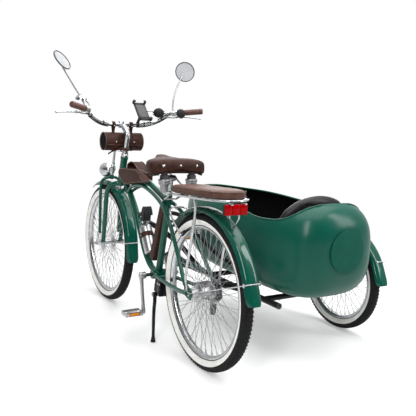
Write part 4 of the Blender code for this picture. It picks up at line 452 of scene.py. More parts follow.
# %% Tyres
def tyre(name, centre, outer, seat, body):
    """A balloon tyre with tread blocks and white side walls."""
    piece = Piece(name + "_dressed", TREAD, WHITEWALL)
    half = [(outer - 0.0016, 0.0, 0), (outer - 0.0026, 0.0095, 0), (outer - 0.0065, 0.017, 0),
        (outer - 0.013, 0.0228, 0), (outer - 0.02, 0.0258, 0), (outer - 0.0262, 0.0268, 0),
        (outer - 0.0285, 0.0266, 1), (outer - 0.034, 0.0256, 1), (outer - 0.04, 0.0232, 1),
        (outer - 0.0455, 0.0196, 1), (seat + 0.0035, 0.016, 1), (seat + 0.0025, 0.0148, 0),
        (seat + 0.0006, 0.0138, 0)]
    section = half + [(r, -y, paint) for r, y, paint in reversed(half[1:])]
    section = [(r, y, section[i - 1][2] if y < 0 else paint) for i, (r, y, paint) in enumerate(section)]
    piece.turned(centre, (0, 1, 0), section, sides=144, ring=True)
    shape = bmesh.new()
    for y, along, lean in ((0.0, 0.008, 0.0), (0.0088, 0.009, 0.18), (-0.0088, 0.009, 0.18),
            (0.0168, 0.007, 0.52), (-0.0168, 0.007, 0.52)):
        drop = {0.0: 0.0018, 0.0088: 0.003, 0.0168: 0.0072}[abs(y)]
        side = 1 if y > 0 else -1
        turn = Matrix.Translation((outer - drop, y, 0.0)) @ Matrix.Rotation(-side * lean, 4, "Z")
        bmesh.ops.create_cube(shape, size=1.0, matrix=turn @ Matrix.Diagonal((0.0032, 0.0062, along, 1.0)))
    count = round(2 * pi * outer / 0.0185)
    bmesh.ops.spin(shape, geom=shape.verts[:] + shape.edges[:] + shape.faces[:], axis=(0, 1, 0),
        cent=(0, 0, 0), angle=2 * pi * (count - 1) / count, steps=count - 1, use_duplicate=True)
    bmesh.ops.translate(shape, vec=at(centre), verts=shape.verts)
    piece.take(shape, 0)
    return piece.done(body, name, slot="tyre_rubber", sharp=50.0)


tyre("front_tyre", FRONT, 0.333, 0.2805, "front_wheel")
tyre("rear_tyre", REAR, 0.333, 0.2805, "rear_wheel")
tyre("sidecar_tyre", SIDE, 0.26, 0.2075, "sidecar_wheel")

# %% [markdown]
# ## Wire wheels
#
# A bicycle rim hangs on thin spokes that cross each other on their way from the hub's flanges
# to nipples in the rim. Four spokes, two on each side, are made once and copied round the
# wheel by spinning them, which makes seventy-two.


# %% Wire wheels
def wire_wheel(name, centre, seat, flange_y, flange_radius, half, barrel, body, sprocket=False):
    """A chromed rim, seventy-two spokes with nipples, and a turned hub."""
    piece = Piece(name + "_dressed", CHROME, SATIN, DARK_STEEL, BLACK, SPOKE)
    rim = [(seat, 0.015), (seat - 0.0016, 0.0158), (seat - 0.004, 0.015), (seat - 0.009, 0.0128),
        (seat - 0.013, 0.0085), (seat - 0.0156, 0.003)]
    inner = [(seat - 0.0118, 0.0), (seat - 0.006, 0.0118), (seat - 0.001, 0.0134)]
    section = rim + [(r, -y) for r, y in reversed(rim)] + [(r, -y) for r, y in reversed(inner)] + inner[1:]
    piece.turned(centre, (0, 1, 0), section, sides=144, ring=True)
    shape = bmesh.new()
    for number in range(4):
        side = 1 if number % 2 == 0 else -1
        leading = 1 if number < 2 else -1
        at_rim = radians(5.0) * number
        at_hub = at_rim + leading * radians(64.0)
        start = Vector(((flange_radius - 0.0035) * cos(at_hub), side * flange_y + leading * 0.0019,
            (flange_radius - 0.0035) * sin(at_hub)))
        end = Vector(((seat - 0.015) * cos(at_rim), side * 0.003, (seat - 0.015) * sin(at_rim)))
        way = end - start
        turn = way.to_track_quat("Z", "Y").to_matrix().to_4x4()
        for radius, near, far in ((0.00105, start, end), (0.0018, end - way.normalized() * 0.011, end)):
            bmesh.ops.create_cone(shape, cap_ends=True, segments=6, radius1=radius, radius2=radius,
                depth=(far - near).length, matrix=Matrix.Translation((near + far) / 2) @ turn)
    bmesh.ops.spin(shape, geom=shape.verts[:] + shape.edges[:] + shape.faces[:], axis=(0, 1, 0),
        cent=(0, 0, 0), angle=radians(340.0), steps=17, use_duplicate=True)
    bmesh.ops.translate(shape, vec=at(centre), verts=shape.verts)
    piece.take(shape, 4)
    hub = [(0.0054, half), (barrel * 0.72, half), (barrel * 0.78, half - 0.003),
        (barrel * 0.95, half - 0.006), (barrel, flange_y + 0.005), (flange_radius * 0.82, flange_y + 0.003),
        (flange_radius, flange_y + 0.0022), (flange_radius + 0.0006, flange_y),
        (flange_radius, flange_y - 0.0022), (flange_radius * 0.8, flange_y - 0.003),
        (barrel, flange_y - 0.0065), (barrel * 0.93, 0.0)]
    hub += [(r, -y) for r, y in reversed(hub[:-1])]
    piece.turned(centre, (0, 1, 0), hub, 1, 48, ring=True)
    if sprocket:
        teeth = 18
        outline = [(centre[0] + (0.0418 if i % 4 in (1, 2) else 0.0375) * cos(2 * pi * i / (4 * teeth)),
            centre[2] + (0.0418 if i % 4 in (1, 2) else 0.0375) * sin(2 * pi * i / (4 * teeth)))
            for i in range(4 * teeth)]
        piece.plate(outline, -0.0545, 0.0022, 2, 0.0)
        piece.turned((0.0, -0.052, centre[2]), (0, 1, 0), [(0.0054, -0.013), (0.015, -0.013), (0.03, -0.007),
            (0.033, -0.0066), (0.033, -0.0046), (0.03, -0.0042), (0.036, -0.001), (0.039, -0.0006),
            (0.039, 0.0014), (0.034, 0.0018), (0.042, 0.006), (0.044, 0.0064), (0.044, 0.0084),
            (0.034, 0.014), (0.0054, 0.014)], 2, 36, ring=True)
    piece.turned(about(centre, radians(25.0), seat - 0.048), (cos(radians(25.0)), 0, sin(radians(25.0))),
        [(0.0, 0.0), (0.0028, 0.0), (0.003, 0.009), (0.0023, 0.011), (0.0023, 0.035), (0.0, 0.035)], 3, 12)
    return piece.done(body, name, slot="chrome")


wire_wheel("front_wheel", FRONT, 0.2805, 0.032, 0.024, 0.058, 0.013, "front_wheel")
wire_wheel("rear_wheel", REAR, 0.2805, 0.03, 0.036, 0.0655, 0.021, "rear_wheel", sprocket=True)
wire_wheel("sidecar_wheel", SIDE, 0.2075, 0.029, 0.024, 0.04, 0.013, "sidecar_wheel")

# %% [markdown]
# ## The frame
#
# The frame is brazed from round tubes: a curved down tube, a top tube, a seat tube and two slim
# twin tubes that run from the head past the seat tube to the rear axle. Each tube is a circle
# that is extruded along the tube's line. The ends swell a little where they meet, as brazed
# joints do.

# %% Lines of the frame
TILT = radians(16.0)
AXIS = Vector((-sin(TILT), 0.0, cos(TILT)))
DOWN_LINE = [(0.905, 0.0, 0.73), (0.865, 0.0, 0.712), (0.811, 0.0, 0.67), (0.715, 0.0, 0.571),
    (0.645, 0.0, 0.467), (0.58, 0.0, 0.375), (0.512, 0.0, 0.323), (0.441, 0.0, 0.308)]
TOP_LINE = [(0.897, 0.0, 0.77), (0.82, 0.0, 0.772), (0.7, 0.0, 0.763), (0.604, 0.0, 0.745),
    (0.478, 0.0, 0.708), (0.36, 0.0, 0.668)]
SEAT_LINE = [(0.433, 0.0, 0.314), (0.389, 0.0, 0.505), (0.354, 0.0, 0.7)]
TWIN_LINE = [(0.795, 0.01, 0.664), (0.743, 0.0203, 0.692), (0.67, 0.029, 0.711), (0.597, 0.029, 0.719),
    (0.492, 0.029, 0.703), (0.383, 0.03, 0.666), (0.31, 0.04, 0.634), (0.227, 0.05, 0.57),
    (0.131, 0.061, 0.463), (0.052, 0.07, 0.368), (0.029, 0.071, 0.351)]
CHAIN_STAY_LINE = [(0.43, 0.024, 0.307), (0.381, 0.034, 0.309), (0.33, 0.04, 0.309), (0.209, 0.053, 0.31),
    (0.079, 0.066, 0.32), (0.029, 0.07, 0.3252)]


def on_axis(height, ahead=0.0):
    """A drawn place beside the steering axis, by its height along the axis."""
    return Vector((0.8917, 0.0, 0.8)) + AXIS * height + Vector((cos(TILT), 0.0, sin(TILT))) * ahead


print("head tube leans", round(TILT * 180 / pi, 1), "degrees from upright")

# %% The brazed frame
frame_piece = Piece("frame_tubes", GREEN, CHROME)
frame_piece.tube(DOWN_LINE, [0.0185] + [0.016] * 6 + [0.017], sides=24)
frame_piece.tube(TOP_LINE, [0.0165] + [0.0145] * 4 + [0.0155], sides=24)
frame_piece.tube(SEAT_LINE, [0.0172, 0.0156, 0.0156], sides=24)
frame_piece.turned(on_axis(-0.027), AXIS, [(0.0146, 0.073), (0.0196, 0.073), (0.0206, 0.07), (0.0206, 0.06),
    (0.019, 0.056), (0.019, -0.056), (0.0206, -0.06), (0.0206, -0.07), (0.0196, -0.073), (0.0146, -0.073)],
    ring=True)
frame_piece.turned((0.435, 0.0, 0.305), (0, 1, 0), [(0.0091, 0.036), (0.0215, 0.036), (0.0225, 0.0345),
    (0.0225, -0.0345), (0.0215, -0.036), (0.0091, -0.036)], ring=True)
frame_piece.turned(Vector(SEAT_LINE[2]) - Vector((-0.176, 0, 0.984)) * 0.016, (-0.176, 0, 0.984),
    [(0.0152, 0.016), (0.0172, 0.0156), (0.018, 0.012), (0.0176, -0.012), (0.016, -0.016), (0.0152, -0.016)],
    ring=True)
for flip in (list, mirrored):
    frame_piece.tube(flip(TWIN_LINE), [0.008] + [0.0092] * 10, sides=20)
    frame_piece.tube(flip(CHAIN_STAY_LINE), [0.011] + [0.0092] * 5, sides=20)
DROPOUT = [(-0.014, -0.012), (-0.006, -0.026), (0.012, -0.026), (0.044, -0.016), (0.05, 0.004),
    (0.046, 0.036), (0.026, 0.03), (-0.008, 0.014), (-0.015, 0.002)]
for y in (0.071, -0.071):
    frame_piece.plate([(x, 0.333 + z) for x, z in DROPOUT], y, 0.006, round_by=0.0015)
frame_piece.turned((0.3685, 0.0, 0.6605), (0, 1, 0), [(0.0, 0.0275), (0.0105, 0.027), (0.0105, -0.027),
    (0.0, -0.0275)])
bridge = about(REAR, radians(45.0), 0.3683)
frame_piece.turned(bridge, (0, 1, 0), [(0.0, 0.0445), (0.007, 0.0445), (0.0062, 0.01), (0.007, 0.0),
    (0.0062, -0.01), (0.007, -0.0445), (0.0, -0.0445)])
frame_piece.turned((0.3623, 0.0, 0.3085), (0, 1, 0), [(0.0, 0.0345), (0.0068, 0.0345), (0.0068, -0.0345),
    (0.0, -0.0345)])
frame_piece.bolt((0.344, 0.0, 0.69), (-1, 0, 0.2), 0.004, 0.003, 1)
frame_piece.done("frame", "main_frame", slot="green_paint")

# %% [markdown]
# ## Fork, struts and spring
#
# This is a springer fork. Two green legs come down behind the wheel's axle, two thinner struts
# ahead of them, and a rocker plate on each side joins both to the axle. The struts push a spring
# in front of the head tube. All of it turns with the steering.

# %% The fork and its struts
fork_piece = Piece("fork_legs", GREEN, SATIN)
fork_piece.turned(on_axis(-0.06), AXIS, [(0.0, 0.122), (0.014, 0.122), (0.014, -0.0403), (0.0186, -0.0403),
    (0.019, -0.046), (0.018, -0.0595), (0.014, -0.062), (0.0, -0.062)])
LEG_LINE = [(0.926, 0.0, 0.694), (0.936, 0.026, 0.692), (0.957, 0.046, 0.678), (0.985, 0.0527, 0.645),
    (1.001, 0.0527, 0.6), (1.012, 0.0527, 0.5), (1.036, 0.0527, 0.35)]
fork_piece.tube(both_sides(LEG_LINE), [0.0115, 0.013, 0.013, 0.013, 0.013, 0.013, 0.014, 0.013, 0.013, 0.013,
    0.013, 0.013, 0.0115], sides=22)
guard_seat = Vector(FRONT) + (on_axis(-0.11) - Vector(FRONT)).normalized() * 0.3613
fork_piece.tube([tuple(on_axis(-0.112)), tuple(guard_seat)], 0.008, 1, steps=1)
fork_piece.done("steering", "fork", slot="green_paint")

strut_piece = Piece("fork_front_struts", GREEN)
STRUT_LINE = [(1.056, 0.0, 0.714), (1.062, 0.026, 0.712), (1.07, 0.05, 0.694), (1.075, 0.0572, 0.64),
    (1.077, 0.0572, 0.52), (1.08, 0.0572, 0.392)]
strut_piece.tube(both_sides(STRUT_LINE), 0.0085, sides=18)
strut_piece.turned((1.0543, 0.0, 0.717), (-0.2, 0, 0.98), [(0.0, 0.0118), (0.0105, 0.0118), (0.012, 0.01),
    (0.012, -0.01), (0.0105, -0.0118), (0.0, -0.0118)])
strut_piece.done("steering", "fork_struts", slot="green_paint")

# %% The rocker plates and the front axle
rocker_piece = Piece("front_rockers", CHROME, SATIN, DARK_STEEL)
ROCKER = [(1.024, 0.346), (1.0262, 0.3385), (1.03, 0.334), (1.06, 0.322), (1.092, 0.319), (1.102, 0.3215),
    (1.107, 0.327), (1.1085, 0.335), (1.106, 0.344), (1.093, 0.366), (1.0895, 0.38), (1.089, 0.396),
    (1.085, 0.402), (1.078, 0.403), (1.072, 0.4005), (1.069, 0.395), (1.066, 0.38), (1.062, 0.368),
    (1.05, 0.3625), (1.036, 0.362), (1.027, 0.356)]
for sign in (1, -1):
    rocker_piece.plate(ROCKER, sign * 0.068, 0.004, round_by=0.001)
    for x, z in ((1.0365, 0.3505), (1.0795, 0.393)):
        rocker_piece.bolt((x, sign * 0.0702, z), (0, sign, 0), 0.0058, 0.0046, 1)
    rocker_piece.nut((1.094, sign * 0.0738, 0.333), (0, sign, 0), 0.0095, 0.0072, 0)
    rocker_piece.turned((1.094, sign * 0.062, 0.333), (0, sign, 0), [(0.0, 0.004), (0.01, 0.004),
        (0.0085, -0.0036), (0.0, -0.0036)], 2, 24)
rocker_piece.tube([(1.094, -0.088, 0.333), (1.094, 0.088, 0.333)], 0.0046, 1, 16, 1)


def guard_wire(piece, centre, angle, radius, half_width, low_left, low_right, low, paint, whole=True):
    """A stay of chromed wire from the axle up one side, over the mudguard and down the other."""
    reach, side = radius + 0.0025, half_width + 0.0028
    left = [about(centre, angle, low, low_left), about(centre, angle, radius - 0.075, side - 0.001),
        about(centre, angle, radius - 0.0085, side), about(centre, angle, reach - 0.0005, side * 0.86),
        about(centre, angle, reach + 0.0002, side * 0.55), about(centre, angle, reach + 0.0002, 0.0)]
    right_side = [about(centre, angle, reach + 0.0002, -side * 0.55),
        about(centre, angle, reach - 0.0005, -side * 0.86), about(centre, angle, radius - 0.0085, -side),
        about(centre, angle, radius - 0.075, -side + 0.001), about(centre, angle, low, low_right)]
    piece.tube(left + (right_side if whole else right_side[:2]), 0.0022, paint, 10, 5)
    piece.bolt(about(centre, angle, radius + 0.0022, 0.01), (cos(angle), 0, sin(angle)), 0.0034, 0.003, paint)


guard_wire(rocker_piece, FRONT, radians(170.0), 0.361, 0.035, 0.073, -0.073, 0.008, 0)
rocker_piece.done("steering", "front_axle", slot="steel")

# %% The spring and the headset
spring_piece = Piece("fork_spring_unit", CHROME, BLACK, SATIN)
spring_piece.turned(on_axis(0.0668), AXIS, [(0.0, 0.0046), (0.015, 0.0046), (0.0165, 0.0036),
    (0.0165, -0.0036), (0.015, -0.0045), (0.0, -0.0045)])
spring_piece.block((0.956, 0.0, 0.8682), (0.143, 0.024, 0.004), round_by=0.0012)
for x in (0.93, 1.016):
    spring_piece.bolt((x, 0.0, 0.8702), (0, 0, 1), 0.005, 0.004, 2)
spring_piece.tube([(1.018, 0.0, 0.872), (1.036, 0.0, 0.792)], 0.007, 2, 18, 1)
down = Vector((0.245, 0.0, -0.955)).normalized()
spring_piece.turned(Vector((1.036, 0.0, 0.792)), down, [(0.0, -0.01), (0.01, -0.01), (0.01, 0.004),
    (0.0128, 0.006), (0.0135, 0.008), (0.0135, 0.018), (0.013, 0.0188, 1), (0.013, 0.0224, 1),
    (0.0135, 0.0232), (0.0135, 0.052), (0.012, 0.057), (0.0085, 0.058), (0.0085, 0.064), (0.0, 0.064)], 0, 32)
spring_piece.done("steering", "fork_spring", slot="chrome")

headset_piece = Piece("head_bearing", CHROME)
headset_piece.turned(on_axis(0.054), AXIS, [(0.0146, 0.0076), (0.016, 0.0076), (0.0185, 0.005),
    (0.0188, 0.001), (0.0178, 0.0004), (0.0178, -0.0008), (0.0185, -0.0014), (0.019, -0.0076),
    (0.0146, -0.0076)], ring=True)
headset_piece.done("frame", "headset", slot="chrome")

# %% [markdown]
# ## Mudguards
#
# Each mudguard is rolled from sheet. Its section is an arch with a bead along both edges, swept
# round the wheel by a spin. The tail flares outwards over its last part. Solidify gives the
# sheet its thickness, and the beads are tubes that follow the edges.


# %% Mudguards
def mudguard(name, centre, radius, half_width, first, last, body):
    """A rolled mudguard between two angles about its wheel."""
    piece = Piece(name + "_rolled", GREEN)
    depth, flare = 0.017, 0.012

    def sheet_radius(angle, share):
        tail = max(0.0, ((angle - first) / (last - first) - 0.88) / 0.12)
        return radius + flare * tail ** 2 - depth * abs(share) ** 4.4

    def sheet_half(angle):
        tail = max(0.0, ((angle - first) / (last - first) - 0.96) / 0.04)
        return half_width * (1.0 - 0.22 * tail ** 4)

    shape = bmesh.new()
    count = 24
    points = []
    for i in range(count + 1):
        share = -1.0 + 2.0 * i / count
        points.append(shape.verts.new((radius, share * half_width, 0.0)))
    for near, far in zip(points[:-1], points[1:]):
        shape.edges.new((near, far))
    steps = 90
    bmesh.ops.spin(shape, geom=shape.verts[:] + shape.edges[:], axis=(0, 1, 0), cent=(0, 0, 0),
        angle=-(last - first), steps=steps)
    for vert in shape.verts:
        angle = first + atan2(vert.co.z, vert.co.x) % (2 * pi)
        reach = sheet_radius(min(angle, last), vert.co.y / half_width)
        vert.co = Vector((reach * cos(angle), vert.co.y * sheet_half(angle) / half_width, reach * sin(angle)))
    bmesh.ops.recalc_face_normals(shape, faces=shape.faces[:])
    if sum(face.normal.dot(face.calc_center_median()) for face in shape.faces) < 0:
        bmesh.ops.reverse_faces(shape, faces=shape.faces[:])
    bmesh.ops.solidify(shape, geom=shape.faces[:], thickness=0.0014)
    bmesh.ops.translate(shape, vec=at(centre), verts=shape.verts)
    piece.take(shape)
    for side in (1, -1):
        edge = []
        for i in range(46):
            angle = first + (last - first) * i / 45
            edge.append(about(centre, angle, sheet_radius(angle, 1.0) - 0.0004,
                side * (sheet_half(angle) - 0.0014)))
        piece.tube(edge, 0.0016, 0, 8, 2)
    return piece.done(body, name, slot="green_paint")


mudguard("front_mudguard", FRONT, 0.361, 0.035, radians(60.5), radians(186.5), "steering")
mudguard("rear_mudguard", REAR, 0.361, 0.035, radians(40.0), radians(173.5), "frame")
mudguard("sidecar_mudguard", SIDE, 0.29, 0.038, radians(22.0), radians(173.0), "frame")

# %% [markdown]
# ## Stem and handlebar
#
# The bar is one chromed tube with wide swept-back ends. It is drawn from its middle to the left
# and mirrored. The stem is a bent quill with a clamp round the bar and its bolts.

# %% Lines of the bar
GRIP_START = Vector((0.77, 0.265, 1.086))
GRIP_END = Vector((0.68, 0.357, 1.1))
GRIP_WAY = (GRIP_END - GRIP_START).normalized()
GRIP_LENGTH = (GRIP_END - GRIP_START).length
BAR_LINE = [(0.92, 0.0, 1.013), (0.92, 0.062, 1.013), (0.9085, 0.103, 1.016), (0.89, 0.138, 1.023),
    (0.873, 0.171, 1.036), (0.86, 0.198, 1.051), (0.849, 0.219, 1.066), (0.83, 0.23, 1.0765),
    (0.8006, 0.2338, 1.0812)]


def on_grip(distance, side=1):
    """A drawn place along a grip's axis, from its inner end."""
    point = GRIP_START + GRIP_WAY * distance
    return Vector((point.x, side * point.y, point.z))


def grip_way(side):
    """The way that a grip runs, outwards."""
    return Vector((GRIP_WAY.x, side * GRIP_WAY.y, GRIP_WAY.z))


def on_bar(number, share, side):
    """A drawn place on one stretch of the bar, and the way that the bar runs there."""
    start, end = Vector(BAR_LINE[number]), Vector(BAR_LINE[number + 1])
    point, way = start + (end - start) * share, (end - start).normalized()
    return Vector((point.x, side * point.y, point.z)), Vector((way.x, side * way.y, way.z))


def clamp_ring(piece, centre, way, length, paint=0, outer=0.0155):
    """A clamp ring round the bar."""
    half = length / 2
    piece.turned(centre, way, [(0.0118, half), (outer - 0.001, half), (outer, half - 0.001),
        (outer, 0.001 - half), (outer - 0.001, -half), (0.0118, -half)], paint, 32, ring=True)


# %% The bar and the stem
bar_piece = Piece("bar_tube", CHROME)
bar_piece.tube(both_sides(BAR_LINE + [tuple(on_grip(-0.01)), tuple(on_grip(GRIP_LENGTH - 0.012))]), 0.0111,
    sides=24, steps=5)
bar_piece.done("steering", "handlebar", slot="chrome")

stem_piece = Piece("stem_quill", CHROME, SATIN)
STEM_LINE = [tuple(on_axis(0.0716)), tuple(on_axis(0.13)), tuple(on_axis(0.158)),
    tuple(on_axis(0.172) + Vector((0.01, 0, 0.006))), tuple(on_axis(0.172) + Vector((0.034, 0, 0.024))),
    (0.912, 0.0, 1.009)]
stem_piece.tube(STEM_LINE, [0.0125, 0.014, 0.015, 0.0156, 0.0156, 0.015], sides=24)
stem_piece.turned((0.92, 0.0, 1.013), (0, 1, 0), [(0.0117, 0.019), (0.0178, 0.019), (0.019, 0.0175),
    (0.019, -0.0175), (0.0178, -0.019), (0.0117, -0.019)], ring=True)
stem_piece.bolt((0.904, 0.0, 1.0285), (-0.55, 0, 0.84), 0.0052, 0.005, 1)
stem_piece.bolt(on_axis(0.168) + Vector((-0.006, 0, 0.01)), (-0.28, 0, 0.96), 0.0062, 0.005, 1)
stem_piece.done("steering", "stem", slot="chrome")

# %% Grips
for side, word in ((1, "left"), (-1, "right")):
    grip = Piece("grip_" + word + "_wrapped", GRIP_LEATHER, EDGE_LEATHER)
    length = GRIP_LENGTH
    profile = [(0.0, length), (0.012, length), (0.015, length - 0.0015), (0.0158, length - 0.005)]
    turns = 17
    for i in range(turns):
        height = length - 0.008 - (length - 0.018) * i / turns
        step = (length - 0.018) / turns
        profile += [(0.0148, height), (0.0156, height - step * 0.25), (0.0156, height - step * 0.75)]
    profile += [(0.0148, 0.0085), (0.0168, 0.0075, 1), (0.0176, 0.004, 1), (0.0176, 0.0012, 1),
        (0.0165, 0.0, 1), (0.0117, 0.0, 1), (0.0117, 0.004)]
    grip.turned(on_grip(0.0, side), grip_way(side), profile, 0, 32)
    grip.done("steering", "grip_" + word, slot="brown_leather", sharp=60.0)

# %% Brake levers
for side, word in ((1, "left"), (-1, "right")):
    lever = Piece("lever_" + word, CHROME, DARK_STEEL)
    clamp_ring(lever, on_grip(-0.016, side), grip_way(side), 0.016, 0, 0.015)
    lever.tube([tuple(on_grip(-0.016, side) + Vector((0.006, 0.0, -0.01))), (0.806, side * 0.272, 1.069),
        (0.8, side * 0.3, 1.067)], [0.0062, 0.0055, 0.006], 0, 16, 4)
    lever.turned((0.802, side * 0.297, 1.067), (0, 0, 1), [(0.0, 0.0072), (0.0058, 0.0072), (0.0066, 0.006),
        (0.0066, -0.006), (0.0058, -0.0072), (0.0, -0.0072)], 0, 20)
    lever.bolt((0.802, side * 0.297, 1.074), (0, 0, 1), 0.003, 0.0018, 1)
    lever.tube([(0.803, side * 0.29, 1.0675), (0.799, side * 0.312, 1.0672), (0.795, side * 0.335, 1.0665),
        (0.79, side * 0.356, 1.0652), (0.786, side * 0.372, 1.0635), (0.78, side * 0.403, 1.061)],
        [0.0048, 0.005, 0.0046, 0.004, 0.0034, 0.0036], 0, 16, 5, flat=1.25)
    lever.ball((0.78, side * 0.403, 1.061), 0.006, rings=10)
    lever.done("steering", "brake_lever_" + word, slot="chrome")

# %% [markdown]
# ## Mirrors
#
# Each mirror is a shallow chromed dish with a glass in a rim, on a thin bent arm. A turned
# profile gives the dish, and the finish changes to glass inside the rim, whose grey colour is
# a painted reflection.


# %% Mirrors
def mirror(side, word, facing, knots, foot, way):
    """A round mirror on its arm. The arm's foot is a clamp on the bar."""
    piece = Piece("mirror_" + word + "_round", CHROME, MIRROR_PAINTED_REFLECTION, SATIN, SPOKE, DARK_STEEL)
    centre = Vector((0.873, side * 0.348, 1.316))
    facing = Vector(facing).normalized()
    # The glass inside the rim carries a grey colour that is a painted reflection.
    piece.turned(centre, facing, [(0.0, 0.004, 1), (0.03, 0.004, 1), (0.0505, 0.0036, 1), (0.0512, 0.0062, 4),
        (0.0535, 0.0066, 4), (0.055, 0.0048, 4), (0.055, 0.001, 4), (0.052, -0.0024), (0.044, -0.0056),
        (0.03, -0.0084), (0.014, -0.0104), (0.0, -0.011)], 0, 64)
    back = centre - facing * 0.0112
    piece.ball(back - facing * 0.002, 0.0064, paint=2, rings=8)
    piece.tube([tuple(foot + Vector((0.0, 0.0, 0.012))), *knots, tuple(back - facing * 0.003)], 0.0044, 3, 12,
        6)
    clamp_ring(piece, foot, way, 0.012)
    piece.nut(foot + Vector((0.0, 0.0, 0.0165)), (0, 0, 1), 0.0062, 0.006, 2)
    return piece.done("steering", "mirror_" + word, slot="chrome")


mirror(1, "left", (-0.63, -0.52, 0.58), [(0.85, 0.214, 1.112), (0.878, 0.25, 1.15), (0.872, 0.31, 1.232)],
    *on_bar(7, 0.48, 1))
mirror(-1, "right", (-0.95, 0.28, 0.1), [(0.806, -0.244, 1.11), (0.815, -0.252, 1.16),
    (0.845, -0.285, 1.225)], on_grip(-0.0335, -1), grip_way(-1))

# %% [markdown]
# ## Bell, horn and controls
#
# The left bend carries a domed bell, the right one a rubber-bulb horn with a bent steel tube,
# a thumb control and a padded phone holder with four corner claws.

# %% Bell
bell = Piece("bell_domed", CHROME, SATIN)
top, up = Vector((0.826, 0.262, 1.139)), Vector((-0.25, 0.1, 1.0)).normalized()
bell.turned(top, up, [(0.0, 0.0185, 1), (0.0026, 0.0182, 1), (0.003, 0.016, 1), (0.006, 0.0155),
    (0.014, 0.0135), (0.021, 0.0095), (0.0265, 0.004), (0.0295, -0.002), (0.031, -0.0066), (0.03, -0.0074),
    (0.027, -0.005), (0.0, -0.005)], 0, 56)
bell.turned(top - up * 0.0075, up, [(0.0, 0.003), (0.02, 0.002), (0.0205, -0.001), (0.012, -0.0035),
    (0.0, -0.0035)], 1, 32)
bell.tube([tuple(on_grip(-0.0335, 1) + Vector((0.002, 0.004, 0.01))), tuple(top - up * 0.006)], 0.0048, 1, 14,
    1)
clamp_ring(bell, on_grip(-0.0335, 1), grip_way(1), 0.012, 1)
bell.tube([tuple(top - up * 0.007 + Vector((-0.012, 0.008, 0.0))), tuple(top - up * 0.008
    + Vector((-0.026, 0.012, 0)))], [0.0022, 0.003], 0, 10, 1, flat=0.6)
bell.done("steering", "bell", slot="chrome")

# %% Horn
horn = Piece("horn_bulb_and_tube", RUBBER, SATIN, CHROME)
horn.turned((0.825, -0.17, 1.083), (0, 1, 0), [(0.0, 0.03), (0.008, 0.029), (0.015, 0.025), (0.0215, 0.017),
    (0.0252, 0.007), (0.0262, 0.0008), (0.0265, 0.0), (0.0262, -0.0008), (0.0252, -0.007), (0.0215, -0.017),
    (0.015, -0.024), (0.0085, -0.0285), (0.0072, -0.03), (0.0, -0.03)], 0, 40)
horn.turned((0.825, -0.203, 1.0846), (0.0, -1.0, 0.05), [(0.0, 0.006), (0.0052, 0.006), (0.006, 0.0046),
    (0.006, -0.0046), (0.0052, -0.0056), (0.0, -0.0056)], 1, 24)
horn.tube([(0.825, -0.19, 1.083), (0.827, -0.207, 1.0862), (0.835, -0.215, 1.09), (0.848, -0.2205, 1.0925),
    (0.862, -0.222, 1.094), (0.876, -0.2135, 1.0946), (0.886, -0.195, 1.0945), (0.8945, -0.172, 1.0935),
    (0.9, -0.15, 1.092)], 0.0038, 1, 14, 5)
mouth_way = Vector((0.25, 0.95, 0.0)).normalized()
horn.turned((0.9, -0.15, 1.092), mouth_way, [(0.0, -0.002), (0.004, -0.002), (0.0042, 0.006), (0.0056, 0.016),
    (0.008, 0.026), (0.0115, 0.034), (0.0165, 0.041), (0.0172, 0.0418), (0.0166, 0.042), (0.0108, 0.0335),
    (0.0072, 0.0255), (0.004, 0.015), (0.0, 0.012)], 1, 40)
post_foot, post_way = on_bar(3, 0.5, -1)
clamp_ring(horn, post_foot, post_way, 0.012, 2)
horn.tube([tuple(post_foot + Vector((0.0, 0.0, 0.011))), (0.8925, -0.169, 1.075), (0.893, -0.1725, 1.093)],
    0.004, 2, 12, 3)
horn.done("steering", "horn", slot="black_plastic")

# %% Thumb control
control = Piece("thumb_control_domed", PLASTIC, RUBBER)
way = Vector((-0.8, -0.1, 0.3)).normalized()
control.turned((0.724, -0.252, 1.084), way, [(0.0, 0.022), (0.006, 0.0216), (0.013, 0.0186, 1),
    (0.0132, 0.0176, 1), (0.017, 0.0146), (0.0215, 0.0098), (0.0245, 0.004), (0.0255, -0.002),
    (0.0255, -0.003), (0.0248, -0.0036), (0.0248, -0.0044), (0.0255, -0.005), (0.0255, -0.0076),
    (0.0245, -0.008), (0.0, -0.008)], 0, 48)
control.tube([tuple(on_grip(-0.0042, -1) + Vector((0.0, 0.006, -0.009))), (0.7542, -0.2442, 1.079),
    (0.73, -0.25, 1.0835)], 0.0034, 0, 12, 4)
clamp_ring(control, on_grip(-0.0042, -1), grip_way(-1), 0.0058, 0)
control.done("steering", "thumb_control", slot="black_plastic")

# %% Phone holder
holder = Piece("phone_holder_padded", PLASTIC, FOAM)
out = Vector((-0.72, 0.0, 0.69)).normalized()
across = Vector((0.0, 1.0, 0.0))
up = out.cross(across).normalized()
centre = Vector((0.873, -0.092, 1.087))
holder.block(centre - out * 0.001, (0.066, 0.128, 0.008), (across, up, out), 0.003, 0, 3)
holder.block(centre + out * 0.003, (0.05, 0.088, 0.0036), (across, up, out), 0.0015, 1, 2)
for a in (1, -1):
    for b in (1, -1):
        corner = centre + across * a * 0.0335 + up * b * 0.061
        holder.block(corner + out * 0.008, (0.008, 0.015, 0.022), (across, up, out), 0.0022)
        holder.block(corner + out * 0.0165 - across * a * 0.0035, (0.013, 0.015, 0.0045), (across, up, out),
            0.0018)
        holder.block(corner - up * b * 0.004 + out * 0.001 - across * a * 0.006, (0.018, 0.011, 0.009),
            (across + up * 0.5 * a * b, up - across * 0.5 * a * b, out), 0.002)
neck_foot, neck_way = on_bar(1, 0.6, -1)
clamp_ring(holder, neck_foot, neck_way, 0.014, 0)
holder.tube([tuple(neck_foot + Vector((-0.004, 0.0, 0.011))), (0.9, -0.0885, 1.044),
    tuple(centre - out * 0.004)], [0.0085, 0.007, 0.009], 0, 20, 5)
holder.ball((0.8885, -0.09, 1.064), 0.0098, paint=0)
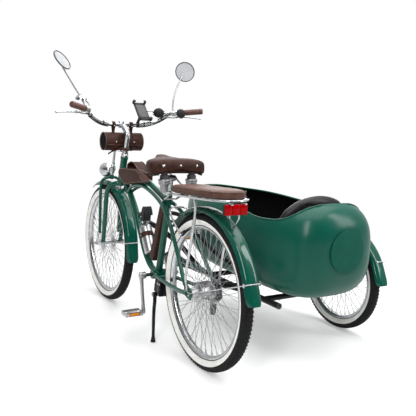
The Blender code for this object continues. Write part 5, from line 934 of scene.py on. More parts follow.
holder.done("steering", "phone_holder", slot="black_plastic")

# %% [markdown]
# ## Headlamp
#
# The lamp is a chromed shell with a faceted glass, held by a strap round the spring. One turned
# profile makes shell, rim and glass.

# %% Headlamp
lamp_piece = Piece("headlamp_shell", CHROME, LENS, SATIN)
ahead = Vector((1.0, 0.0, -0.03)).normalized()
lamp_piece.turned((1.112, 0.0, 0.751), ahead, [(0.0, 0.0398, 1), (0.015, 0.039, 1), (0.028, 0.0365, 1),
    (0.036, 0.032, 1), (0.0372, 0.033), (0.04, 0.032), (0.0422, 0.0285), (0.0425, 0.024), (0.0412, 0.0215),
    (0.0418, 0.018), (0.0412, 0.008), (0.0392, -0.002), (0.035, -0.013), (0.0285, -0.0235), (0.02, -0.0325),
    (0.011, -0.0385), (0.0, -0.04)], 0, 64)
lamp_piece.tube([(1.0775, 0.0, 0.752), (1.06, 0.0, 0.759), (1.049, 0.0, 0.764)], 0.006, 2, 16, 3)
lamp_piece.turned((1.0435, 0.0, 0.764), (0.245, 0.0, -0.955), [(0.0147, 0.0078), (0.0163, 0.0078),
    (0.0173, 0.0068), (0.0173, -0.0068), (0.0163, -0.0078), (0.0147, -0.0078)], 2, 32, ring=True)
lamp_piece.done("steering", "headlamp", slot="chrome")

# %% [markdown]
# ## Cables
#
# Two brake cables lie close below the bar, held by clips, from the levers to the roll bag. They
# are fixed all along, so they are simply thin tubes.

# %% Cables
cables = Piece("bar_cables", CABLE)


def beside_bar(number, share, side, under=0.0135, back=0.004):
    """A drawn place just below and behind the bar."""
    point, _ = on_bar(number, share, side)
    return tuple(point + Vector((-back, 0.0, -under)))


for side in (1, -1):
    line = [(0.8035, side * 0.276, 1.063), (0.815, side * 0.25, 1.06), beside_bar(6, 0.6, side, 0.013, 0.006),
        beside_bar(5, 0.5, side), beside_bar(4, 0.5, side), beside_bar(3, 0.5, side),
        beside_bar(2, 0.5, side), beside_bar(1, 0.6, side)]
    cables.tube(line, 0.0024, 0, 10, 5)
    for number, share in ((5, 0.2), (2, 0.5)):
        point, run = on_bar(number, share, side)
        cables.turned(point, run, [(0.0113, 0.003), (0.0128, 0.003), (0.0128, -0.003), (0.0113, -0.003)], 0,
            24, ring=True)
cables.done("steering", slot="black_plastic")

# %% [markdown]
# ## Saddle
#
# A cruiser saddle is wide at the rear and narrow at the nose, which rises a little. A sphere is
# drawn out along the saddle, and each of its rings takes the width, the height and the rounded
# square section of that place. Three rivets hold the leather at the rear.


# %% Saddle
def along_table(table, steps=8):
    """A smooth value for any place between the rows of a table of (place, value) pairs."""
    rows, _ = smooth_line([Vector((a, b, 0.0)) for a, b in table], [0.0] * len(table), steps)

    def value(place):
        for near, far in zip(rows[:-1], rows[1:]):
            if near.x <= place <= far.x and far.x > near.x:
                return near.y + (far.y - near.y) * (place - near.x) / (far.x - near.x)
        return rows[0].y if place < rows[0].x else rows[-1].y
    return value


def rounded(turn, squareness):
    """The two parts of a rounded square's corner direction."""
    y = abs(cos(turn)) ** (2 / squareness) * (1 if cos(turn) > 0 else -1)
    z = abs(sin(turn)) ** (2 / squareness) * (1 if sin(turn) > 0 else -1)
    return y, z


SADDLE_MIDDLE, SADDLE_HALF = 0.35625, 0.10975
saddle_width = along_table([(0.2465, 0.122), (0.2512, 0.132), (0.2673, 0.1385), (0.2985, 0.14),
    (0.3364, 0.13), (0.3742, 0.094), (0.4055, 0.056), (0.4357, 0.034), (0.4565, 0.027), (0.466, 0.018)])
saddle_top = along_table([(0.2465, 0.864), (0.2626, 0.872), (0.3052, 0.8755), (0.3619, 0.8735),
    (0.4092, 0.878), (0.4471, 0.884), (0.466, 0.872)])
saddle_low = along_table([(0.2465, 0.801), (0.2768, 0.794), (0.3194, 0.799), (0.3714, 0.817), (0.4187, 0.828),
    (0.466, 0.836)])


def saddle_end(share):
    """How far the saddle is drawn in towards its blunt ends, at a share of its half length."""
    return (1.0 - abs(share) ** 14) ** (1 / 2.6)


saddle = Piece("saddle_leather", LEATHER, PLASTIC, CHROME)
shape = bmesh.new()
bmesh.ops.create_uvsphere(shape, u_segments=72, v_segments=64, radius=1.0)
for vert in shape.verts:
    share = max(-1.0, min(1.0, vert.co.z))
    turn = atan2(vert.co.y, vert.co.x)
    x = SADDLE_MIDDLE + SADDLE_HALF * share
    end = saddle_end(share)
    y, z = rounded(turn, 4.6)
    low_z, top_z = saddle_low(x), saddle_top(x)
    middle, half = (low_z + top_z) / 2, (top_z - low_z) / 2 * end
    crown = 0.004 * abs(y) ** 2.2 * max(0.0, z) - 0.014 * (1.0 - abs(y) ** 3) * max(0.0, -z)
    vert.co = at((x, saddle_width(x) * end * y * (1.0 - 0.03 * max(0.0, z)), middle + half * z - crown))
saddle.take(shape)
rim = []
for i in range(26):
    x = 0.2545 + 0.2045 * (1 - cos(pi * i / 25)) / 2
    end = saddle_end((x - SADDLE_MIDDLE) / SADDLE_HALF)
    rim.append((x, saddle_width(x) * end * 0.9, saddle_low(x) + 0.0065))
saddle.tube(mirrored(rim) + list(reversed(rim)), 0.0034, 1, 10, 1)
for y in (-0.084, 0.0, 0.084):
    x = 0.247 + 0.0012 * (abs(y) / 0.084)
    saddle.turned((x, y, 0.844), (-1.0, 1.5 * y, 0.1), [(0.0, 0.0034), (0.0036, 0.003), (0.0058, 0.0014),
        (0.0062, 0.0), (0.0062, -0.004), (0.0, -0.004)], 2, 20)
saddle_object = saddle.done("frame", "saddle", slot="brown_leather")

# %% [markdown]
# ## Seat post and saddle springs
#
# The post slides in the seat tube under a clamp collar. The saddle sits on two barrel springs,
# each with a dark ribbed top over a grey steel barrel.

# %% Seat post and saddle springs
POST_WAY = Vector((-0.1767, 0.0, 0.9843)).normalized()
POST_LOW = Vector((0.354, 0.0, 0.7)) + POST_WAY * 0.0003
POST_TOP = POST_LOW + POST_WAY * 0.082
post = Piece("seat_post_and_springs", CHROME, DARK_STEEL, SATIN, SPOKE)
post.turned(POST_LOW, POST_WAY, [(0.0, 0.082), (0.013, 0.082), (0.013, 0.0225), (0.015, 0.022),
    (0.0172, 0.0205), (0.0176, 0.019), (0.0176, 0.002), (0.017, 0.0003), (0.0, 0.0003)])
post.bolt(POST_LOW + POST_WAY * 0.011 + Vector((-0.0175, 0.0, -0.003)), (-1, 0, -0.2), 0.0042, 0.004, 2)
post.turned(POST_TOP, (0, 1, 0), [(0.0, 0.023), (0.0115, 0.023), (0.0135, 0.0215), (0.015, 0.015),
    (0.015, -0.015), (0.0135, -0.0215), (0.0115, -0.023), (0.0, -0.023)], 2, 32)
for side in (1, -1):
    post.nut((POST_TOP.x, side * 0.026, POST_TOP.z), (0, side, 0), 0.0075, 0.0062, 0)
    post.tube([(0.262, side * 0.069, 0.744), (0.278, side * 0.058, 0.748), (0.3, side * 0.04, 0.752),
        (POST_TOP.x, side * 0.0215, POST_TOP.z + 0.004), (0.4, side * 0.019, 0.8),
        (0.44, side * 0.01, 0.827)], 0.004, 2, 12, 6)
    post.turned((0.269, side * 0.069, 0.787), (0, 0, 1), [(0.0, 0.0366, 1), (0.015, 0.0366, 1),
        (0.015, 0.016, 1), (0.0198, 0.014, 1), (0.0212, 0.012, 1), (0.0198, 0.0098, 1), (0.0212, 0.0076, 1),
        (0.0198, 0.0054, 1), (0.0212, 0.0032, 1), (0.0198, 0.001, 1), (0.0214, -0.0012, 1),
        (0.0226, -0.003, 1), (0.0262, -0.004, 3), (0.028, -0.0075, 3), (0.028, -0.0115, 3),
        (0.0262, -0.0145, 3), (0.025, -0.0165, 3), (0.0258, -0.02, 3), (0.0252, -0.025, 3),
        (0.0225, -0.029, 3), (0.0195, -0.031, 3), (0.0188, -0.04, 3), (0.0182, -0.05, 3), (0.017, -0.057, 3),
        (0.01, -0.059, 3), (0.0, -0.059, 3)], 0, 40)
post.block((0.446, 0.0, 0.83), (0.03, 0.036, 0.006), round_by=0.0012, paint=2)
post.block((0.271, 0.0, 0.8237), (0.02, 0.15, 0.004), round_by=0.0012, paint=2)
post.done("frame", "seat_post", slot="chrome")

# %% [markdown]
# ## Carrier and cushion
#
# The carrier is a hoop of chromed rod with cross rods. A strut on each side has a joint where
# its two halves slide in each other. The cushion is swelled by cloth simulation, as stuffing
# swells a sewn cover, and piping follows its seam.

# %% Carrier
RACK_SLOPE = 0.045


def rack_z(x):
    """The height of the carrier's hoop."""
    return 0.738 - RACK_SLOPE * x if x < 0.26 else 0.738 - RACK_SLOPE * 0.24 - 0.45 * (x - 0.24)


rack = Piece("carrier_hoop", CHROME, SATIN)
HALF = 0.088
HOOP = [(-0.226, 0.0), (-0.214, 0.45 * HALF), (-0.178, 0.77 * HALF), (-0.122, 0.95 * HALF), (0.06, HALF),
    (0.17, 0.88 * HALF), (0.225, 0.62 * HALF), (0.29, 0.033), (0.3346, 0.03)]
rack.tube(both_sides([(x, y, rack_z(x)) for x, y in HOOP]), 0.0048, 0, 16, 6)
for x in (-0.17, -0.035, 0.11):
    width = (HALF if x > -0.1 else 0.93 * HALF) - 0.002
    rack.tube([(x, -width, rack_z(x)), (x, width, rack_z(x))], 0.0036, 0, 12, 1)
rack.tube([(0.3346, -0.03, rack_z(0.3346)), (0.3346, 0.03, rack_z(0.3346))], 0.0046, 0, 14, 1)
for side in (1, -1):
    top, knee = Vector((-0.0372, side * 0.0862, 0.722)), Vector((-0.038, side * 0.083, 0.676))
    low, foot = Vector((0.018, side * 0.0845, 0.4)), Vector((0.0105, side * 0.0795, 0.352))
    joint = knee + (low - knee) * 0.13
    rack.tube([(-0.035, side * HALF, rack_z(-0.035) - 0.003), tuple(top), tuple(knee), tuple(joint)], 0.0056,
        0, 14, 4)
    rack.tube([tuple(joint - (low - knee).normalized() * 0.01), tuple(joint
        + (low - knee).normalized() * 0.02)], [0.0072, 0.0074], 1, 14, 1)
    rack.tube([tuple(joint), tuple(knee + (low - knee) * 0.5), tuple(low), tuple(foot)],
        [0.0054, 0.0058, 0.0056, 0.0046], 0, 14, 4)
    rack.bolt(foot + Vector((0.0, side * 0.0035, -0.001)), (0, side, 0), 0.0048, 0.004, 1)
rack.done("frame", "rack", slot="chrome")


# %% Swelling a cushion with cloth simulation
def swell(made, cap, pressure=4.0, voxel=0.005):
    """Stuff a cushion: it swells as cloth under pressure, and no point moves further than the cap."""
    remesh = made.modifiers.new("remesh", "REMESH")
    remesh.mode = "VOXEL"
    remesh.voxel_size = voxel
    remesh.use_smooth_shade = True
    bpy.context.view_layer.update()
    mesh = bpy.data.meshes.new_from_object(made.evaluated_get(bpy.context.evaluated_depsgraph_get()))
    made.modifiers.clear()
    made.data = mesh
    rest = [vert.co.copy() for vert in mesh.vertices]
    cloth = made.modifiers.new("cloth", "CLOTH")
    cloth.settings.use_pressure = True
    cloth.settings.uniform_pressure_force = pressure
    cloth.settings.effector_weights.gravity = 0.0
    cloth.settings.quality = 4
    cloth.settings.tension_stiffness = 15.0
    cloth.settings.compression_stiffness = 15.0
    cloth.point_cache.frame_start = 1
    cloth.point_cache.frame_end = 20
    for number in range(1, 21):
        bpy.context.scene.frame_set(number)
    swollen = made.evaluated_get(bpy.context.evaluated_depsgraph_get()).data
    moved = [vert.co.copy() for vert in swollen.vertices]
    made.modifiers.clear()
    bpy.context.scene.frame_set(1)
    for vert, before, after in zip(mesh.vertices, rest, moved):
        step = after - before
        if step.length > cap:
            step *= cap / step.length
        vert.co = before + step
    smooth = made.modifiers.new("smooth", "SUBSURF")
    smooth.levels = 1
    smooth.render_levels = 1
    mesh.update()
    print(f"{made.name}: {len(mesh.vertices)} points, widest move {cap * 1000:.0f} mm")
    return made


# %% The carrier's cushion
cushion = Piece("carrier_cushion_cover", PALE_LEATHER)
shape = bmesh.new()
CUSHION = [(-0.22, 0.0), (-0.213, 0.03), (-0.19, 0.056), (-0.152, 0.0745), (-0.09, 0.0835), (0.02, 0.0845),
    (0.12, 0.083), (0.175, 0.078), (0.205, 0.066), (0.2165, 0.04), (0.218, 0.0)]
half_line, _ = smooth_line([Vector((x, y, 0.0)) for x, y in CUSHION], [0.0] * len(CUSHION), 5)
outline = [tuple(point) for point in half_line] + [(p.x, -p.y, 0.0) for p in reversed(half_line[1:-1])]
corners = [shape.verts.new(point) for point in outline]
shape.faces.new(corners)
made = bmesh.ops.extrude_face_region(shape, geom=shape.faces[:])["geom"]
bmesh.ops.translate(shape, verts=[item for item in made if isinstance(item, bmesh.types.BMVert)],
    vec=(0.0, 0.0, 0.03))
rims = [edge for edge in shape.edges if abs(edge.verts[0].co.z - edge.verts[1].co.z) < 1e-6]
bmesh.ops.bevel(shape, geom=rims, offset=0.0085, offset_type="OFFSET", segments=4, profile=0.5,
    affect="EDGES", material=-1, clamp_overlap=True)
lean = Matrix.Translation(at((0.0, 0.0, 0.738 + 0.0062))) @ Matrix.Rotation(atan2(RACK_SLOPE, 1.0), 4, "Y")
bmesh.ops.transform(shape, matrix=lean, verts=shape.verts)
cushion.take(shape)
cushion_object = cushion.done("frame", "rack_cushion", slot="brown_leather")
swell(cushion_object, 0.004)
piping = Piece("carrier_cushion_piping", EDGE_LEATHER)
for level, inset in ((0.0262, 0.992), (0.0062, 0.998)):
    seam = [tuple(lean @ Vector((x * inset, y * inset, level)) - ORIGIN) for x, y, _ in outline[::2]]
    piping.tube(seam, 0.0015, 0, 8, 2, loop=True)
piping.done("frame", slot="brown_leather")

# %% [markdown]
# ## Tail reflector
#
# Three moulded fields of red lens sit in a black housing under the carrier. A thin chromed link
# steadies the mudguard below it.

# %% Tail reflector
reflector = Piece("tail_reflector_fields", RED, PLASTIC, CHROME)
top = rack_z(-0.232) - 0.0051
reflector.block((-0.23, 0.022, top - 0.0245), (0.011, 0.108, 0.044), round_by=0.002, paint=1)
for number in range(3):
    reflector.block((-0.2366, 0.022 + 0.0345 * (number - 1), top - 0.0245), (0.006, 0.0334, 0.041),
        round_by=0.0022)
for y in (-0.012, 0.05):
    reflector.block((-0.24, y, top - 0.003), (0.022, 0.01, 0.005), round_by=0.001, paint=2)
reflector.tube([(-0.233, 0.006, top - 0.0455), (-0.233, 0.004, top - 0.056), (-0.208, 0.0, 0.656),
    (-0.1905, 0.0, 0.6392)], 0.003, 2, 10, 5)
reflector.bolt((-0.1895, 0.0, 0.6375), (-0.53, 0.0, 0.85), 0.0048, 0.004, 2)
reflector.done("frame", "tail_reflector", slot="red_reflector")

# %% [markdown]
# ## Bags
#
# The handlebar roll is a turned leather cylinder with worn rims, two straps and snaps, and a thong
# that is tied round the stem. The bag on the top tube has two flat pockets joined over the tube
# and an arched lid. The right pocket ends earlier than the left one.

# %% Handlebar roll
roll_bag = Piece("handlebar_roll", LEATHER, EDGE_LEATHER, SATIN, LINING)
ROLL = Vector((0.9215, 0.0, 0.922))
roll_bag.turned(ROLL, (0, 1, 0), [(0.0, 0.1045, 3), (0.03, 0.1045, 3), (0.044, 0.1045, 3),
    (0.0462, 0.1078, 1), (0.0485, 0.1085, 1), (0.0495, 0.1062, 1), (0.0484, 0.1035), (0.0488, 0.08),
    (0.0482, 0.04), (0.0486, 0.0), (0.0482, -0.04), (0.0488, -0.08), (0.0484, -0.1035), (0.0495, -0.1062, 1),
    (0.0485, -0.1085, 1), (0.0462, -0.1078, 1), (0.044, -0.1045, 3), (0.03, -0.1045, 3), (0.0, -0.1045, 3)],
    0, 72)
flap_edge = [tuple(ROLL + Vector((-0.0492 * cos(radians(20.0)), y, -0.0492 * sin(radians(20.0)))))
    for y in (-0.1, -0.05, 0.0, 0.05, 0.1)]
roll_bag.tube(flap_edge, 0.0014, 1, 8, 4)
for y in (0.051, -0.051):
    strap = []
    for i in range(33):
        turn = 2 * pi * i / 33
        strap.append(tuple(ROLL + Vector((0.0497 * cos(turn), y, 0.0497 * sin(turn)))))
    roll_bag.tube(strap, 0.0016, 0, 10, 1, loop=True, flat=5.2, start=(0, 1, 0))
    hang = [(0.933, 1.006), (0.9345, 1.013), (0.9325, 1.021), (0.9265, 1.0262), (0.92, 1.0275),
        (0.9135, 1.0262), (0.9075, 1.021), (0.9055, 1.013), (0.9075, 1.004), (0.915, 0.992), (0.919, 0.98),
        (0.92, 0.973)]
    roll_bag.tube([(x, y, z) for x, z in [(0.9205, 0.9725), (0.9225, 0.98), (0.928, 0.994)] + hang], 0.0014,
        0, 10, 3, flat=6.0, start=(0, 1, 0))
    roll_bag.turned((0.9062, y, 1.005), (-1.0, 0.0, -0.3), [(0.0, 0.0046), (0.003, 0.0042), (0.0042, 0.003),
        (0.0045, 0.001), (0.0, 0.001)], 2, 20)
    roll_bag.turned(ROLL + Vector((-0.0505, y, 0.0)), (-1, 0, 0), [(0.0, 0.0024), (0.003, 0.002),
        (0.0042, 0.0008), (0.0044, -0.002), (0.0, -0.002)], 2, 20)
knot = on_axis(0.088)
knot_way = on_axis(1.0) - on_axis(0.0)
roll_bag.turned(knot, knot_way, [(0.0175, 0.0085), (0.0192, 0.007, 1), (0.0196, 0.0), (0.0192, -0.007, 1),
    (0.0175, -0.0085), (0.0165, 0.0)], 0, 32, True)
roll_bag.tube([tuple(knot + Vector((-0.019, 0.004, 0.002))), (0.86, 0.018, 0.888), (0.879, 0.04, 0.8815),
    (0.908, 0.06, 0.869), (0.9345, 0.072, 0.8537)], 0.0016, 0, 10, 5, flat=3.2, start=(0.6, 0.0, 0.8))
roll_object = roll_bag.done("steering", "handlebar_bag", slot="brown_leather")

# %% Bag on the top tube
bag = Piece("tank_bag_pockets", LEATHER, EDGE_LEATHER, THREAD)
POCKET = [(0.755, 0.7085), (0.782, 0.717), (0.811, 0.735), (0.837, 0.755), (0.837, 0.775), (0.821, 0.787),
    (0.797, 0.7895), (0.72, 0.794), (0.64, 0.7965), (0.6, 0.7955), (0.577, 0.786), (0.5545, 0.768),
    (0.52, 0.743), (0.556, 0.741), (0.608, 0.732), (0.694, 0.7165), (0.72, 0.7095)]
LID = [(0.776, 0.7905), (0.772, 0.8085), (0.752, 0.82), (0.73, 0.8262), (0.704, 0.8252), (0.663, 0.808),
    (0.636, 0.7925), (0.625, 0.7805), (0.613, 0.764)]
POCKET_TAIL, RIGHT_END = 0.575, 0.64
for side in (1, -1):
    drawn = POCKET if side > 0 else [(max(x, RIGHT_END), z) for x, z in POCKET if x > POCKET_TAIL]
    bag.plate(drawn, side * 0.033, 0.04, 0, 0.005)
    inset = [(0.686 + (x - 0.686) * 0.955, side * 0.0532, 0.754 + (z - 0.754) * 0.89) for x, z in drawn]
    bag.tube(inset, 0.0009, 2, 6, 2, loop=True)
lid_line, _ = smooth_line([Vector((x, 0.0, z)) for x, z in LID], [0.0] * len(LID), 5)
lid = bmesh.new()
edges = []
near, far = [[lid.verts.new(at((point.x, y, point.z))) for point in lid_line] for y in (0.028, -0.028)]
for row in (near, far):
    edges += [lid.edges.new(pair) for pair in zip(row[:-1], row[1:])]
bmesh.ops.bridge_loops(lid, edges=edges)
bmesh.ops.recalc_face_normals(lid, faces=lid.faces[:])
bmesh.ops.solidify(lid, geom=lid.faces[:], thickness=0.0032)
bag.take(lid)
for y in (0.028, -0.028):
    bag.tube([(point.x, y, point.z) for point in lid_line], 0.0022, 1, 8, 1)
bag.block((0.69, 0.0, 0.78), (0.25, 0.05, 0.006), round_by=0.002)
bag_object = bag.done("frame", "tank_bag", slot="brown_leather", sharp=50.0)

# %% [markdown]
# ## Battery, bottle and lock
#
# The battery is a slim leather-covered case in front of the seat tube. The bottle is steel, with
# a leather collar. Above it a cable lock hangs in a coil from its strap on the down tube.

# %% Battery
battery = Piece("battery_case", LEATHER, EDGE_LEATHER, PLASTIC)
case_low, case_top = Vector((0.482, 0.0, 0.369)), Vector((0.38, 0.0, 0.648))
case_way = (case_top - case_low).normalized()
case_middle = (case_low + case_top) / 2
case_out = Vector((case_way.z, 0.0, -case_way.x))
case_axes = (case_out, (0, 1, 0), case_way)
battery.block(case_middle, (0.042, 0.043, (case_top - case_low).length), case_axes, 0.006, 0, 3)
battery.block(case_middle + case_way * 0.142, (0.035, 0.036, 0.012), case_axes, 0.003, 2, 2)
for y in (0.0216, -0.0216):
    for across in (0.016, -0.016):
        start = case_middle + case_out * across + Vector((0, y, 0)) - case_way * 0.138
        battery.tube([tuple(start), tuple(start + case_way * 0.276)], 0.0008, 1, 6, 1)
collar = [tuple(case_middle + case_way * 0.144 + case_out * across + Vector((0.0, y, 0.0))) for across,
    y in ((0.017, 0.019), (-0.017, 0.019), (-0.017, -0.019), (0.017, -0.019))]
battery.tube(collar, 0.0028, 1, 8, 5, loop=True)
battery.done("frame", "battery", slot="brown_leather")

# %% Bottle and its cage
BOTTLE_WAY = Vector((0.535, 0.0, 0.845)).normalized()
BOTTLE_OUT = Vector((-BOTTLE_WAY.z, 0.0, BOTTLE_WAY.x))
bottle_middle = Vector((0.613, 0.0, 0.421)) + BOTTLE_OUT * (0.016 + 0.012 + 0.031)
bottle = Piece("bottle_steel", SATIN, PLASTIC, CHROME)
bottle.turned(bottle_middle, BOTTLE_WAY, [(0.0, 0.0912, 2), (0.0085, 0.0908, 2), (0.0112, 0.089, 2),
    (0.0125, 0.085, 2), (0.0125, 0.08, 2), (0.0142, 0.0795, 1), (0.015, 0.078, 1), (0.015, 0.0755, 1),
    (0.018, 0.0745), (0.024, 0.0715), (0.0285, 0.0665), (0.0305, 0.06), (0.031, 0.054), (0.031, 0.033),
    (0.0304, 0.0322), (0.0304, 0.031), (0.031, 0.0302), (0.031, -0.068), (0.03, -0.0735), (0.0275, -0.0765),
    (0.025, -0.0775), (0.0, -0.076)], 0, 56)
bottle.done("frame", "bottle", slot="steel")
cage = Piece("bottle_collar", LEATHER, SATIN)
cage_middle = bottle_middle + BOTTLE_WAY * 0.02
cage.turned(cage_middle, BOTTLE_WAY, [(0.0313, 0.0118), (0.033, 0.0122), (0.0341, 0.0105), (0.0343, 0.0),
    (0.0341, -0.0105), (0.033, -0.0122), (0.0313, -0.0118)], 0, 56, ring=True)
cage.tube([tuple(cage_middle - BOTTLE_OUT * 0.033), tuple(cage_middle - BOTTLE_OUT * 0.0437)], 0.008, 1, 20,
    1)
cage.bolt(cage_middle + Vector((0.0, 0.0335, 0.0)), (0, 1, 0), 0.0036, 0.0022, 1)
cage.done("frame", "bottle_cage", slot="brown_leather")

# %% Cable lock
lock = Piece("cable_lock_coil", PLASTIC, SATIN, BLACK)
lock_middle = Vector((0.588, 0.0, 0.575))
lock_way = Vector((0.26, 0.96, 0.0)).normalized()
lock_up = Vector((0.0, 0.0, 1.0))
lock_side = lock_up.cross(lock_way)
turns, per_turn = 4, 32
coil = []
for i in range(turns * per_turn + 1):
    turn = 2 * pi * i / per_turn
    along = -0.02 + 0.04 * i / (turns * per_turn)
    swing = 0.035 - 0.0018 * abs(cos(i * 0.21))
    coil.append(tuple(lock_middle + lock_way * along + lock_side * swing * cos(turn)
        + lock_up * swing * sin(turn)))
lock.tube(coil, 0.0056, 0, 14, 1)
lock.turned(lock_middle, lock_way, [(0.0, 0.018), (0.028, 0.018), (0.03, 0.016), (0.03, -0.016),
    (0.028, -0.018), (0.0, -0.018)], 2, 32)
lock.tube([tuple(lock_middle + Vector((0.025, 0.0, 0.006))), (0.64, 0.0, 0.57), (0.67, 0.0, 0.559)], 0.0095,
    2, 16, 3, flat=1.3)
lock.ball((0.673, 0.0, 0.5582), 0.01, rings=10, paint=2)
lock.turned(lock_middle - lock_way * 0.01 - lock_up * 0.03 + lock_side * 0.012, (0.2, 0.5, -0.8),
    [(0.0, 0.013), (0.006, 0.0125), (0.0082, 0.01), (0.0085, 0.0), (0.0085, -0.008), (0.0, -0.008)], 1, 24)
lock.done("frame", "cable_lock", slot="black_plastic")

# %% Controller box
controller = Piece("controller_case", LEATHER, PLASTIC)
turn = radians(-12.0)
box_axes = ((cos(turn), 0, -sin(turn)), (0, 1, 0), (sin(turn), 0, cos(turn)))
controller.block((0.4225, 0.0, 0.2494), (0.03, 0.04, 0.066), box_axes, 0.0045, 0, 3)
controller.block((0.4225, 0.0, 0.2494), (0.0308, 0.0408, 0.008), box_axes, 0.002, 1, 2)
controller.done("frame", "controller", slot="brown_leather")

# %% [markdown]
# ## Drive
#
# The cranks turn a chainring with five round windows. The chain is one link made once and set
# round the two wheels it runs on. A pressed guard covers its upper run. The pedals are alloy
# cages with amber reflectors.

# %% Cranks and chainring
CRANK = (0.435, 0.0, 0.305)
CRANK_WAY = radians(-102.0)
crank = Piece("crank_arms_and_ring", SATIN, CHROME, DARK_STEEL)


def crank_arm(side, way):
    """One arm: a wide boss, a waist and a smaller eye."""
    def swung(distance, across):
        return (CRANK[0] + distance * cos(way) - across * sin(way), CRANK[2] + distance * sin(way)
            + across * cos(way))
    turns = [radians(degrees) for degrees in range(-80, 81, 16)]
    boss = [swung(-0.0155 * cos(turn), -0.0155 * sin(turn)) for turn in turns]
    eye = [swung(0.17 + 0.013 * cos(turn), 0.013 * sin(turn)) for turn in turns]
    low_edge = [swung(0.06, -0.0088), swung(0.11, -0.0084)]
    high_edge = [swung(0.11, 0.0084), swung(0.06, 0.0088)]
    crank.plate(boss + low_edge + eye + high_edge, side * 0.092, 0.013, 0, 0.0032)
    crank.turned((CRANK[0], side * 0.086, CRANK[2]), (0, side, 0), [(0.0, 0.015), (0.009, 0.015),
        (0.0105, 0.0142), (0.012, 0.0146), (0.0165, 0.014), (0.0175, 0.0125), (0.0175, -0.0135),
        (0.0165, -0.015), (0.0, -0.015)], 0, 32)
    crank.bolt((CRANK[0], side * 0.101, CRANK[2]), (0, side, 0), 0.0068, 0.0026, 1)


crank_arm(1, CRANK_WAY)
crank_arm(-1, CRANK_WAY + pi)
crank.turned(CRANK, (0, 1, 0), [(0.0, 0.088), (0.0085, 0.088), (0.0085, -0.088), (0.0, -0.088)], 2, 24)
TEETH = 42
ring = []
for i in range(TEETH):
    for part, radius in ((0.0, 0.08), (0.3, 0.0812), (0.46, 0.0856), (0.58, 0.0856), (0.74, 0.0812)):
        turn = 2 * pi * (i + part) / TEETH
        ring.append((CRANK[0] + radius * cos(turn), CRANK[2] + radius * sin(turn)))
windows = []
for i in range(5):
    turn = 2 * pi * i / 5 + 0.3
    middle = (CRANK[0] + 0.052 * cos(turn), CRANK[2] + 0.052 * sin(turn))
    windows.append([(middle[0] + 0.019 * cos(2 * pi * k / 20), middle[1] + 0.019 * sin(2 * pi * k / 20))
        for k in range(20)])
crank.plate(ring, -0.0545, 0.003, 1, 0.0004, windows)
for i in range(5):
    turn = 2 * pi * i / 5 + 0.3 + pi / 5
    crank.bolt((CRANK[0] + 0.04 * cos(turn), -0.056, CRANK[2] + 0.04 * sin(turn)), (0, -1, 0), 0.0036, 0.0022,
        0)
crank.turned((CRANK[0], -0.064, CRANK[2]), (0, -1, 0), [(0.0, 0.009), (0.016, 0.009), (0.02, 0.006),
    (0.023, -0.006), (0.0, -0.006)], 0, 32)
crank.done("crank", "crankset", slot="steel")


# %% Pedals
def pedal(word, side, middle_x, middle_z):
    """An alloy cage pedal on its spindle."""
    made = Piece(word + "_pedal_cage", SATIN, AMBER, PLASTIC, CHROME)
    middle = Vector((middle_x, side * 0.149, middle_z))
    made.turned(middle, (0, side, 0), [(0.0, 0.042), (0.0066, 0.042), (0.008, 0.04), (0.008, 0.028),
        (0.0068, 0.024), (0.0068, -0.024), (0.0088, -0.028), (0.0088, -0.044), (0.0, -0.044)], 0, 24)
    for way in (1, -1):
        made.block(middle + Vector((way * 0.0255, 0, 0)), (0.0042, 0.086, 0.0195), round_by=0.0014,
            segments=2)
        made.block(middle + Vector((way * 0.0283, 0, 0)), (0.0034, 0.05, 0.013), round_by=0.0012, paint=1)
        made.block(middle + Vector((way * 0.027, 0, 0)), (0.0034, 0.054, 0.0165), round_by=0.001, paint=2)
        for number in range(7):
            made.block(middle + Vector((way * 0.0255, -0.039 + 0.013 * number, 0)), (0.0052, 0.0052, 0.0218),
                round_by=0.0008)
    made.block(middle + Vector((0, side * 0.0425, 0)), (0.052, 0.0048, 0.018), round_by=0.0016)
    made.block(middle - Vector((0, side * 0.0425, 0)), (0.052, 0.0048, 0.018), round_by=0.0016)
    for x in (0.0125, -0.0125):
        made.block(middle + Vector((x, 0, 0)), (0.005, 0.08, 0.011), round_by=0.0012)
    made.tube([(middle_x, side * 0.1, middle_z), (middle_x, side * 0.107, middle_z)], 0.0084, 3, 20, 1)
    made.tube([(middle_x, side * 0.084, middle_z), (middle_x, side * 0.11, middle_z)], 0.0059, 3, 20, 1)
    made.done(f"{word}_pedal", f"pedal_{word}", slot="steel")


pedal("left", 1, 0.3997, 0.1387)
pedal("right", -1, 0.4703, 0.4713)

# %% Chain
LINKS = 102
BIG, SMALL = 0.085, 0.0455
reach = hypot(CRANK[0], CRANK[2] - REAR[2])
lean_angle = atan2(CRANK[2] - REAR[2], CRANK[0])
splay = acos((BIG - SMALL) / reach)
leave_top, leave_low = lean_angle + pi - splay, lean_angle - pi + splay
straight = reach * sin(splay)
RUNS = (("big", 2 * (pi - splay) * BIG), ("low", straight), ("small", 2 * splay * SMALL), ("top", straight))


def on_wheel(centre, radius, turn):
    """A point on one of the two wheels that the chain runs on."""
    return centre[0] + radius * cos(turn), centre[2] + radius * sin(turn)


def chain_spot(distance):
    """The place of a point at a distance along the chain, and the way the chain runs there."""
    for kind, length in RUNS:
        if distance <= length:
            break
        distance -= length
    if kind == "big":
        turn = leave_top - distance / BIG
        return on_wheel(CRANK, BIG, turn), turn - pi / 2
    if kind == "small":
        turn = leave_low - distance / SMALL
        return on_wheel(REAR, SMALL, turn), turn - pi / 2
    turn = leave_low if kind == "low" else leave_top
    ends = [Vector(on_wheel(CRANK, BIG, turn)), Vector(on_wheel(REAR, SMALL, turn))]
    near, far = ends if kind == "low" else reversed(ends)
    way = (far - near).normalized()
    return tuple(near + way * distance), atan2(way.y, way.x)


